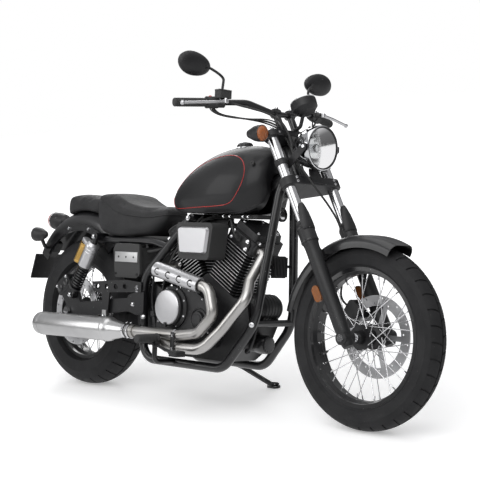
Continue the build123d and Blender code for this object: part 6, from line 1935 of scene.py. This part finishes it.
@dataclass
class FootControls:
    """Ribbed rubbers and pivots of the pegs, pedal and gear lever, and the stand's spring."""

    peg: tuple[float, float, float] = (700.0, 227.0, 262.0)
    peg_length: float = 105.0
    stand_pivot: tuple[float, float, float] = (785.0, 152.0, 148.0)
    stand_foot: tuple[float, float, float] = (835.0, 300.0, 56.5)
    spring_turns: int = 18

    def build(self) -> None:
        """Makes the foot controls' small parts."""
        outline = [(0, self.peg_length + 1.5), (13, self.peg_length + 1.5), (17.2, self.peg_length - 2)]
        for number in range(12):
            high = self.peg_length - 6 - number * 7.6
            outline += [(17.4, high), (17.4, high - 4.2), (15.9, high - 5.0), (15.9, high - 6.6)]
        outline += [(17.4, 8), (19.5, 6), (19.5, 1), (0, 1)]
        rubbers, pivots, pads = [], [], []
        for side in (-1, 1):
            x, y, z = self.peg
            rubbers.append(turned("peg", outline, 28, aimed((x, side * y, z), (0, side, 0))))
            boss = [(0, -11), (12, -11), (13, -9), (13, 9), (12, 11), (0, 11)]
            pivots.append(turned("boss", boss, 28, aimed((x + 9, side * 240, 240), (0, side, 0))))
            nut = hex_bolt(7, 6)
            nut.data.transform(aimed((x + 9, side * 251, 240), (0, side, 0)))
            pivots.append(nut)
        sleeve = [(0, -1), (10.5, -1), (11.5, 1), (11.5, 12), (10.6, 13), (10.6, 15), (11.5, 16), (11.5, 36)]
        sleeve += [(10, 38), (0, 38)]
        pads.append(turned("sleeve", sleeve, 24, aimed((860, 254, 230), (0, 1, 0))))
        pads.append(rounded(plate("pad", [(-21, -24), (21, -24), (21, 24), (-21, 24)], 4.5,
                                  Matrix.Translation((861, -264, 221.8))), 1.6))
        for across in (-16, -5.5, 5.5, 16):
            rib = [(-18, across - 2.6), (18, across - 2.6), (18, across + 2.6), (-18, across + 2.6)]
            pads.append(rounded(plate("rib", rib, 2.4, Matrix.Translation((861, -264, 226.0))), 0.8, 1))
        finished(joined("peg_rubbers", rubbers), BLACK_RUBBER, "chassis")
        finished(joined("pedal_pads", pads), BLACK_RUBBER, "chassis")
        finished(joined("pedal_pivots", pivots), BLACK_SATIN, "chassis")
        self._stand()

    def _stand(self) -> None:
        """The return spring beside the stand's leg, its hooks and the foot tang."""
        start, end = Vector(self.stand_pivot), Vector(self.stand_foot)
        leg = end - start
        aside = leg.cross(Vector((0, 0, 1))).normalized() * 17
        low, high = start + leg * 0.16 + aside, start + leg * 0.62 + aside
        wire = coil(6.5, 1.5, 0, (high - low).length / self.spring_turns, self.spring_turns, 14, 8)
        wire.data.transform(aimed(low, high - low))
        hooks = [
            smooth_line([low, low - leg * 0.05, start + leg * 0.10 + aside * 0.4, start + leg * 0.09], 1.6,
                        "hook"),
            smooth_line([high, high + leg * 0.05, start + leg * 0.70 + aside * 0.5, start + leg * 0.71],
                        1.6, "hook"),
        ]
        finished(joined("stand_spring", [wire, *hooks]), BLACK_GLOSS, "side_stand")
        root = start + leg * 0.80
        loop = [root, root + Vector((14, 4, 2)), root + Vector((34, 16, 3)), root + Vector((40, 30, 0)),
                root + Vector((26, 34, -6)), start + leg * 0.95]
        finished(smooth_line(loop, 4.2, "stand_tang", 4), BLACK_SATIN, "side_stand")


@dataclass
class FrameFittings:
    """What fills the frame: horn, coil tray, regulator, looms, guards, seat pan and mount bolts."""

    tray: tuple[tuple[float, float], tuple[float, float], tuple[float, float]] = (
        (846.0, 1046.0), (-54.0, 54.0), (741.0, 756.0),
    )
    horn: tuple[float, float, float] = (1112.0, 0.0, 758.0)
    regulator: tuple[float, float, float] = (1118.0, 0.0, 560.0)

    def build(self) -> None:
        """Makes the fittings on the chassis."""
        self._tray()
        self._horn()
        self._regulator()
        self._looms()
        self._pivot_guard()
        self._belt_guard()
        self._seat_pan()
        self._mount_bolts()

    def _tray(self) -> None:
        """The tray with the ignition coil under the tank, and its bright bolts."""
        (x0, x1), (y0, y1), (z0, z1) = self.tray
        outline = [(x0, y0 + 10), (x0 + 14, y0), (x1 - 14, y0), (x1, y0 + 10), (x1, y1 - 10), (x1 - 14, y1),
                   (x0 + 14, y1), (x0, y1 - 10)]
        body = rounded(plate("coil_tray", outline, z1 - z0, Matrix.Translation((0, 0, z0))), 2.5)
        finished(body, BLACK_PLASTIC, "chassis")
        places = []
        for side in (-1, 1):
            for x in (868, 904, 977, 1005):
                places.append(aimed((x, side * 53.8, z0 + 7), (0, side, 0)))
        finished(bolts("coil_tray_bolts", hex_bolt(4, 5), places), CHROME, "chassis")

    def _horn(self) -> None:
        """A round horn between the down tubes."""
        outline = [(0, 0), (17, 0), (19, 4), (19, 10), (28.5, 13), (29.5, 15), (29.5, 20), (27.5, 22),
                   (25, 20.5)]
        outline += [(22, 21.5), (19, 20.5), (12, 22), (9, 25), (0, 25)]
        horn = turned("horn", outline, 40, aimed(self.horn, (1, 0, 0.15)))
        stem = smooth_line([(self.horn[0] + 4, 0, 770), (self.horn[0] + 2, 0, 792), (1112, 0, 812)], 5.0,
                           "stem")
        finished(joined("horn", [horn, stem]), BLACK_GLOSS, "chassis")
        ring = [(12, 22.2), (20, 21), (20, 22.4), (12, 23.6)]
        finished(turned("horn_ring", ring, 40, aimed(self.horn, (1, 0, 0.15))), CHROME, "chassis")

    def _regulator(self) -> None:
        """A finned regulator on a strap between the down tubes."""
        x, _, z = self.regulator
        pieces = [rounded(plate("base", [(-36, -42), (36, -42), (36, 42), (-36, 42)], 10.0,
                                aimed((x, 0, z), (1, 0, 0), (0, 1, 0))), 2.0)]
        for number in range(9):
            across = -32 + 8 * number
            fin = [(across - 1.3, -38), (across + 1.3, -38), (across + 1.3, 38), (across - 1.3, 38)]
            pieces.append(plate("fin", fin, 12.0, aimed((x + 9.5, 0, z), (1, 0, 0), (0, 1, 0))))
        pieces.append(smooth_line([(x + 4, -76, z + 4), (x, -40, z), (x, 40, z), (x + 4, 76, z + 4)], 5.5,
                                  "strap"))
        finished(joined("regulator", pieces), BLACK_SATIN, "chassis")

    def _looms(self) -> None:
        """Wiring and hoses along the backbone, the down tube and the seat tube."""
        runs = (
            ([(846, -30, 748), (800, -46, 752), (742, -84, 716), (650, -104, 640), (560, -108, 604),
              (470, -96, 596)], 6.0),
            ([(770, -70, 748), (728, -96, 700), (664, -112, 620), (604, -112, 520), (566, -98, 430),
              (556, -92, 360)], 5.0),
            ([(846, 30, 748), (800, 46, 752), (742, 84, 716), (650, 104, 640), (560, 108, 604),
              (470, 96, 596)], 6.0),
        )
        lines = [smooth_line(points, radius, f"loom_{number}", 4) for number,
                 (points, radius) in enumerate(runs)]
        finished(joined("wiring_looms", lines), BLACK_RUBBER, "chassis")

    def _pivot_guard(self) -> None:
        """The cast guard inside the right pivot, with the rear brake's cylinder on it."""
        outline = [(428, 470), (500, 478), (560, 452), (604, 420), (604, 262), (560, 222), (500, 214),
                   (446, 238), (424, 300), (420, 400)]
        face = aimed((0, -92, 0), (0, -1, 0), (1, 0, 0))
        guard = rounded(plate("pivot_guard", outline, 8.0, face), 2.5)
        cylinder = [(0, 0), (12, 0), (14, 3), (14, 40), (10, 44), (10, 72), (14, 76), (14, 96), (6, 100),
                    (6, 118), (0, 118)]
        master = turned("master", cylinder, 28, aimed((560, -114, 262), (-0.25, 0, 1)))
        cup = [(0, 0), (17, 0), (18, 2), (18, 34), (19.5, 36), (19.5, 44), (0, 46)]
        tank = turned("cup", cup, 32, aimed((528, -112, 500), (0, 0, 1)))
        hose = smooth_line([(531, -114, 378), (524, -114, 420), (530, -112, 470), (528, -112, 502)], 5.0,
                           "hose")
        whole = joined("pivot_guard", [guard, master, tank, hose])
        finished(whole, BLACK_SATIN, "chassis")
        places = [aimed((x, -99.6, z), (0, -1, 0)) for x,
                  z in ((470, 250), (585, 300), (585, 400), (500, 460))]
        finished(bolts("pivot_guard_bolts", hex_bolt(6.5, 6), places), BRIGHT_STEEL, "chassis")

    def _belt_guard(self) -> None:
        """The guard outside the belt's upper run, on two spacers from the swingarm."""
        outline = [(-96, 352), (60, 384), (250, 400), (410, 402), (418, 420), (404, 446), (250, 452),
                   (60, 440), (-60, 408), (-104, 376)]
        face = aimed((0, 143.5, 0), (0, 1, 0), (1, 0, 0))
        guard = rounded(plate("belt_guard", [(x, -z) for x, z in outline], 3.5, face), 1.2)
        pegs = [turned("peg", [(0, -7), (8, -7), (8, 0), (0, 0)], 20, aimed((x, 142, z), (0, 1, 0)))
                for x, z in ((30, 366), (330, 404))]
        finished(joined("belt_guard", [guard, *pegs]), BLACK_PLASTIC, "chassis")

    def _seat_pan(self) -> None:
        """The pan under the rider's seat, with its front tongue."""
        outline = [(392, -88), (600, -74), (706, -50), (716, -30), (716, 30), (706, 50), (600, 74), (392, 88)]
        pan = rounded(plate("seat_pan", outline, 20.0, Matrix.Translation((0, 0, 641))), 5.0)
        finished(pan, BLACK_PLASTIC, "chassis")

    def _mount_bolts(self) -> None:
        """Bright bolts where the engine and the pivot sit in the frame."""
        places = []
        for side in (-1, 1):
            for x, z in ((1110, 342), (735, 738), (448, 378), (508, 330)):
                places.append(landed("frame", (x, side * 420, z), (0, -side, 0), 0.4))
        finished(bolts("mount_bolts", hex_bolt(8, 6), places), BRIGHT_STEEL, "chassis")


@dataclass
class FrontEndTrim:
    """Caps and bolts of the calipers, the headlamp's ears and the guards on the sliders."""

    piston_r: float = 16.0

    def build(self) -> None:
        """Makes the pieces on the bodies that carry the calipers."""
        # Columns: node, body, axle x and z, caliper angle, side of the outer face
        for node, body, x, z, angle, side in (
            ("front_caliper", "steering", WHEELBASE, FRONT_AXLE_Z, 147.0, 1),
            ("rear_caliper", "chassis", 0.0, REAR_AXLE_Z, 128.0, -1),
        ):
            turn = math.radians(angle)
            ahead, across = Vector((math.cos(turn), 0, math.sin(turn))), Vector((-math.sin(turn), 0,
                                                                                 math.cos(turn)))
            caps, places = [], []
            for share in (-1, 1):
                spot = Vector((x, side * 400, z)) + ahead * 137 + across * share * 24
                face = landed(node, spot, (0, -side, 0), 0.5)
                cap = [(0, 0), (self.piston_r, 0), (self.piston_r, 2.6), (self.piston_r - 2, 4), (0, 4.2)]
                caps.append(turned("cap", cap, 28, face))
                edge = Vector((x, side * 400, z)) + ahead * 156 + across * share * 38
                places.append(landed(node, edge, (0, -side, 0), 0.4))
            finished(joined(f"{node}_caps", caps), BLACK_GLOSS, body)
            finished(bolts(f"{node}_bolts", hex_bolt(6, 5), places), BRIGHT_STEEL, body)
        self._lamp_ears()
        self._slider_guards()

    def _slider_guards(self) -> None:
        """The raised guard at the front of each slider's top."""
        way = steered(0, 0, 1) - steered(0, 0, 0)
        guards = []
        for side in (-1, 1):
            outline = [(31.0, -30), (34.4, -30), (35.0, -10), (34.0, 34), (31.5, 62), (28.5, 74),
                       (27.0, 74), (29.5, 40), (31.0, 10)]
            shell = turned("guard", outline, 16, None, 130.0)
            capped(shell, 8)
            shell.data.transform(Matrix.Rotation(math.radians(65), 4, "Z"))
            for vertex in shell.data.vertices:
                if vertex.co.z > 20:
                    vertex.co.y *= 1 - 0.5 * (vertex.co.z - 20) / 50
            foot = steered(FORK_OFFSET, side * FORK_HALF, 449)
            guards.append(rounded(shell, 1.0, 2))
            shell.data.transform(aimed(foot, way, steered(1, 0, 0) - steered(0, 0, 0)))
        finished(joined("slider_guards", guards), BLACK_SATIN, "steering")

    def _lamp_ears(self) -> None:
        """The clamped ears from the fork legs to the headlamp's sides."""
        way = steered(0, 0, 1) - steered(0, 0, 0)
        pieces, places = [], []
        for side in (-1, 1):
            ring = [(20.7, 0), (24.5, 1), (24.5, 23), (20.7, 24)]
            pieces.append(turned("clamp", ring, 36, aimed(steered(FORK_OFFSET, side * FORK_HALF, 690), way)))
            outline = [(1232, 936), (1248, 928), (1284, 960), (1326, 998), (1326, 1018), (1310, 1020),
                       (1262, 984), (1236, 958)]
            face = aimed((0, side * 88.5, 0), (0, side, 0), (1, 0, 0))
            shape = [(x, -side * z) for x, z in outline]
            pieces.append(rounded(plate("ear", shape, 4.0, face), 1.0, 1))
            places.append(aimed((1314, side * 92.4, 1007), (0, side, 0)))
        finished(joined("headlamp_ears", pieces), BLACK_SATIN, "steering")
        finished(bolts("headlamp_bolts", button_bolt(7, 5), places), CHROME, "steering")


@dataclass
class SmoothCopies:
    """Evenly shaded copies of the round and shiny CAD nodes, each in its node's place."""

    # Columns: node, body, slot
    nodes: tuple[tuple[str, str, str], ...] = (
        ("fork_tubes", "steering", "chrome"), ("fork_sliders", "steering", "satin_black"),
        ("speedometer", "steering", "satin_black"),
        ("front_turn_signals", "steering", "satin_black"), ("handlebar", "steering", "black_metal"),
        ("front_fender", "steering", "black_paint"),
        ("rear_fender", "chassis", "black_paint"), ("fuel_tank", "chassis", "black_paint"),
        ("exhaust_pipes", "chassis", "bright_steel"), ("muffler", "chassis", "bright_steel"),
        ("heat_shield", "chassis", "cast_alloy"), ("tail_light", "chassis", "satin_black"),
        ("rear_turn_signals", "chassis", "satin_black"), ("air_filter_cover", "chassis", "cast_alloy"),
        ("frame", "chassis", "black_metal"), ("side_stand", "side_stand", "satin_black"),
        ("clutch_cover", "chassis", "dark_alloy"), ("fork_yokes", "steering", "satin_black"),
    )

    def build(self) -> None:
        """Makes the copies with soft round faces and sharp edges."""
        for node, body, slot in self.nodes:
            copy = node_copy(node, f"{node}_smooth")
            bpy.ops.object.shade_smooth_by_angle(angle=COPY_SMOOTH_ANGLE)
            copy.data.materials.clear()
            copy.data.materials.append(CAD_FINISHES[node].material())
            deselect()
            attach(copy, body)
            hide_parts(node)


@dataclass
class Studio:
    """The floor, lights and camera of the photograph's plain white studio."""

    camera_at: tuple[float, float, float] = (4392.777, -3400.352, 648.732)
    look: tuple[float, float, float] = (-0.715633, 0.698474, 0.001889)
    up: tuple[float, float, float] = (-0.025974, -0.029314, 0.999233)
    focal_pixels: float = 1242.76
    frame_pixels: float = 480.0
    sensor: float = 36.0

    def build(self) -> None:
        """Makes the floor, world, lights and camera."""
        self._floor()
        self._world()
        self._lights()
        self._camera()
        bpy.context.scene.view_settings.view_transform = "Standard"

    def _shown_white(self, tree: bpy.types.NodeTree, lit: bpy.types.NodeSocket) -> bpy.types.NodeSocket:
        """Mixes a lit shader with plain white for what a reflection or a lens shows of it."""
        path = node_of(tree, "LightPath", {}).outputs
        both = math_of(tree, "MAXIMUM", path["Is Glossy Ray"], path["Is Transmission Ray"])
        white = node_of(tree, "Emission", {"Color": (0.86, 0.86, 0.87, 1)})
        mix = node_of(tree, "MixShader", {"Fac": both, 1: lit, 2: white.outputs["Emission"]})
        return mix.outputs["Shader"]

    def _floor(self) -> None:
        """A wide pale floor that takes a soft shadow."""
        deselect()
        bpy.ops.mesh.primitive_plane_add(size=60.0)
        floor = bpy.context.object
        floor.name = "studio_floor"
        made = bpy.data.materials.new("studio_floor")
        made.use_nodes = True
        tree = made.node_tree
        shader = tree.nodes["Principled BSDF"]
        fill_inputs(tree, shader, {
            "Base Color": (0.92, 0.92, 0.92, 1), "Roughness": 0.9, "Specular IOR Level": 0.1,
        })
        where = node_of(tree, "TexCoord", {}).outputs["Object"]
        reach = node_of(tree, "VectorMath", {0: where}, operation="LENGTH").outputs["Value"]
        far = node_of(tree, "MapRange", {"Value": reach, "From Min": 1.5, "From Max": 6.0, "To Min": 0.30,
                                         "To Max": 0.9}).outputs["Result"]
        seen = node_of(tree, "LightPath", {}).outputs["Is Camera Ray"]
        strength = math_of(tree, "MULTIPLY", seen, far)
        lift = node_of(tree, "Emission", {"Color": (1, 1, 1, 1), "Strength": strength})
        total = node_of(tree, "AddShader", {0: shader.outputs["BSDF"], 1: lift.outputs["Emission"]})
        shown = self._shown_white(tree, total.outputs["Shader"])
        fill_inputs(tree, tree.nodes["Material Output"], {"Surface": shown})
        floor.data.materials.append(made)

    def _world(self) -> None:
        """A pale world that the camera sees as white."""
        world = bpy.data.worlds.new("studio")
        bpy.context.scene.world = world
        world.use_nodes = True
        tree = world.node_tree
        plain = tree.nodes["Background"]
        where = node_of(tree, "TexCoord", {}).outputs["Generated"]
        height = node_of(tree, "SeparateXYZ", {"Vector": where}).outputs["Z"]
        sky = node_of(tree, "ValToRGB", {"Fac": height})
        for number, (level, tone) in enumerate(((0.0, 0.20), (0.22, 0.30), (0.42, 1.0), (0.75, 0.85),
                                                (1.0, 0.5))):
            stop = sky.color_ramp.elements[number] if number < 2 else sky.color_ramp.elements.new(level)
            stop.position = level
            stop.color = (tone, tone, tone * 1.02, 1)
        fill_inputs(tree, plain, {"Color": sky.outputs["Color"], "Strength": 0.5})
        white = node_of(tree, "Background", {"Color": (1, 1, 1, 1), "Strength": 1.0})
        path = node_of(tree, "LightPath", {}).outputs
        either = math_of(tree, "MAXIMUM", path["Is Camera Ray"], path["Is Transmission Ray"])
        mix = node_of(tree, "MixShader", {"Fac": either, 1: plain.outputs["Background"],
                                          2: white.outputs["Background"]})
        fill_inputs(tree, tree.nodes["World Output"], {"Surface": mix.outputs["Shader"]})

    def _lights(self) -> None:
        """Soft boxes above, at the camera's left and behind."""
        # Columns: name, place in metres, size, power
        boxes = (
            ("key_light", (2.2, -4.0, 3.8), 4.2, 125.0),
            ("top_light", (0.2, -0.4, 4.4), 4.4, 80.0),
            ("rear_light", (-3.4, 2.4, 3.0), 2.4, 60.0),
            ("side_light", (-2.6, -3.6, 2.2), 2.6, 45.0),
        )
        for name, place, size, power in boxes:
            data = bpy.data.lights.new(name, "AREA")
            data.shape = "SQUARE"
            data.size = size
            data.energy = power
            lamp = bpy.data.objects.new(name, data)
            bpy.context.scene.collection.objects.link(lamp)
            lamp.location = place
            aim = Vector((0, 0, 0.5)) - Vector(place)
            lamp.rotation_euler = aim.to_track_quat("-Z", "Y").to_euler()

    def _camera(self) -> None:
        """The photograph's camera, carried with the motorcycle as it leans."""
        data = bpy.data.cameras.new("photo_camera")
        data.sensor_width = self.sensor
        data.lens = self.focal_pixels / self.frame_pixels * self.sensor
        data.clip_end = 100.0
        camera = bpy.data.objects.new("photo_camera", data)
        bpy.context.scene.collection.objects.link(camera)
        turn = PARKED.to_3x3().normalized()
        back = -(turn @ Vector(self.look)).normalized()
        upward = (turn @ Vector(self.up)).normalized()
        right = upward.cross(back).normalized()
        upward = back.cross(right)
        place = Matrix((right, upward, back)).transposed().to_4x4()
        camera.matrix_world = Matrix.Translation(PARKED @ Vector(self.camera_at)) @ place
        bpy.context.scene.camera = camera


CAD_FINISHES: dict[str, Finish | LitPlastic] = {
    "front_tyre": TYRE, "rear_tyre": TYRE,
    "front_rim": BLACK_GLOSS, "rear_rim": BLACK_GLOSS, "front_hub": BLACK_SATIN, "rear_hub": BLACK_SATIN,
    "front_spokes": BRIGHT_STEEL, "rear_spokes": BRIGHT_STEEL,
    "front_brake_disc": DISC_STEEL_FRONT, "rear_brake_disc": DISC_STEEL_REAR, "drive_pulley": BLACK_SATIN,
    "front_axle": BRIGHT_STEEL, "rear_axle": BRIGHT_STEEL, "fork_tubes": FORK_CHROME,
    "fork_sliders": BLACK_SATIN, "fork_yokes": BLACK_SATIN, "handlebar": BLACK_GLOSS,
    "handlebar_grips": BLACK_RUBBER, "hand_controls": BLACK_PLASTIC, "hand_levers": CAST_ALLOY,
    "mirrors": BLACK_SATIN, "headlight": CHROME, "headlight_lens": CLEAR_LENS, "speedometer": BLACK_SATIN,
    "front_turn_signals": BLACK_SATIN, "fork_reflectors": AMBER_REFLEX, "front_fender": FENDER_PAINT,
    "front_caliper": BLACK_SATIN, "brake_hose": BLACK_RUBBER, "frame": BLACK_GLOSS, "side_stand": BLACK_SATIN,
    "swingarm": BLACK_SATIN, "rear_caliper": BLACK_SATIN, "shock_absorbers": CAST_ALLOY,
    "shock_reservoirs": GOLD_ALLOY, "drive_belt": BLACK_RUBBER, "crankcase": COVER_PAINT,
    "clutch_cover": COVER_PAINT, "cylinders": ENGINE_PAINT, "cylinder_heads": ENGINE_PAINT,
    "air_filter_box": BLACK_PLASTIC, "air_filter_cover": CAST_ALLOY, "exhaust_pipes": PIPE_STEEL,
    "muffler": MUFFLER_STEEL, "heat_shield": CAST_ALLOY, "fuel_tank": TANK_PAINT, "filler_cap": BLACK_GLOSS,
    "rider_seat": LEATHERETTE, "pillion_seat": LEATHERETTE, "rear_fender": FENDER_PAINT,
    "tail_light": BLACK_SATIN, "rear_turn_signals": BLACK_SATIN, "number_plate": BLACK_SATIN,
    "side_covers": BLACK_PLASTIC, "battery_box": BLACK_PLASTIC, "side_hangers": BLACK_SATIN,
    "footpegs_and_pedals": BLACK_SATIN,
}


def dress_cad() -> None:
    """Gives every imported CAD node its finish."""
    for name, node in frame["nodes"].items():
        node.data.materials.clear()
        node.data.materials.append(CAD_FINISHES[name].material())


def main() -> None:
    """Builds the looks of the whole motorcycle, piece by piece."""
    logging.basicConfig(level=logging.INFO, format="%(name)s %(message)s")
    dress_cad()
    SmoothCopies().build()
    Tyre("front_tyre", "front_wheel", (WHEELBASE, 0.0, FRONT_AXLE_Z), 331.0, 50.0, 58.0, 240.0, 31.0,
         36).build()
    Tyre("rear_tyre", "rear_wheel", (0.0, 0.0, REAR_AXLE_Z), 323.0, 75.0, 95.0, 203.0, 41.0, 32).build()
    WireWheel("front", "front_wheel", (WHEELBASE, 0.0, FRONT_AXLE_Z), 224.7, (46.0, 33.0, 5.0), 1.2, 58.5,
              1).build()
    WireWheel("rear", "rear_wheel", (0.0, 0.0, REAR_AXLE_Z), 187.7, (58.0, 40.0, 6.0), 2.5, -94.5, -1).build()
    ForkTrim().build()
    Cockpit().build()
    Mirrors().build()
    Headlamp().build()
    Speedometer().build()
    front_signal = steered(FORK_OFFSET + 22, 190, 809)
    SignalLenses("front_signal", "steering", (front_signal.x, 190.0, front_signal.z), 1, AMBER).build()
    SignalLenses("rear_signal", "chassis", (-246.0, 150.0, 650.0), -1, AMBER).build()
    TankTrim().build()
    PaddedSeat("rider_cushion", "rider_seat").build()
    PaddedSeat("pillion_cushion", "pillion_seat", cap=0.008, rounding=90).build()
    SeatSeams().build()
    Shocks().build()
    EngineTrim().build()
    ExhaustTrim().build()
    RearTrim().build()
    FootControls().build()
    FrameFittings().build()
    FrontEndTrim().build()
    Studio().build()


if __name__ == "__main__":
    main()
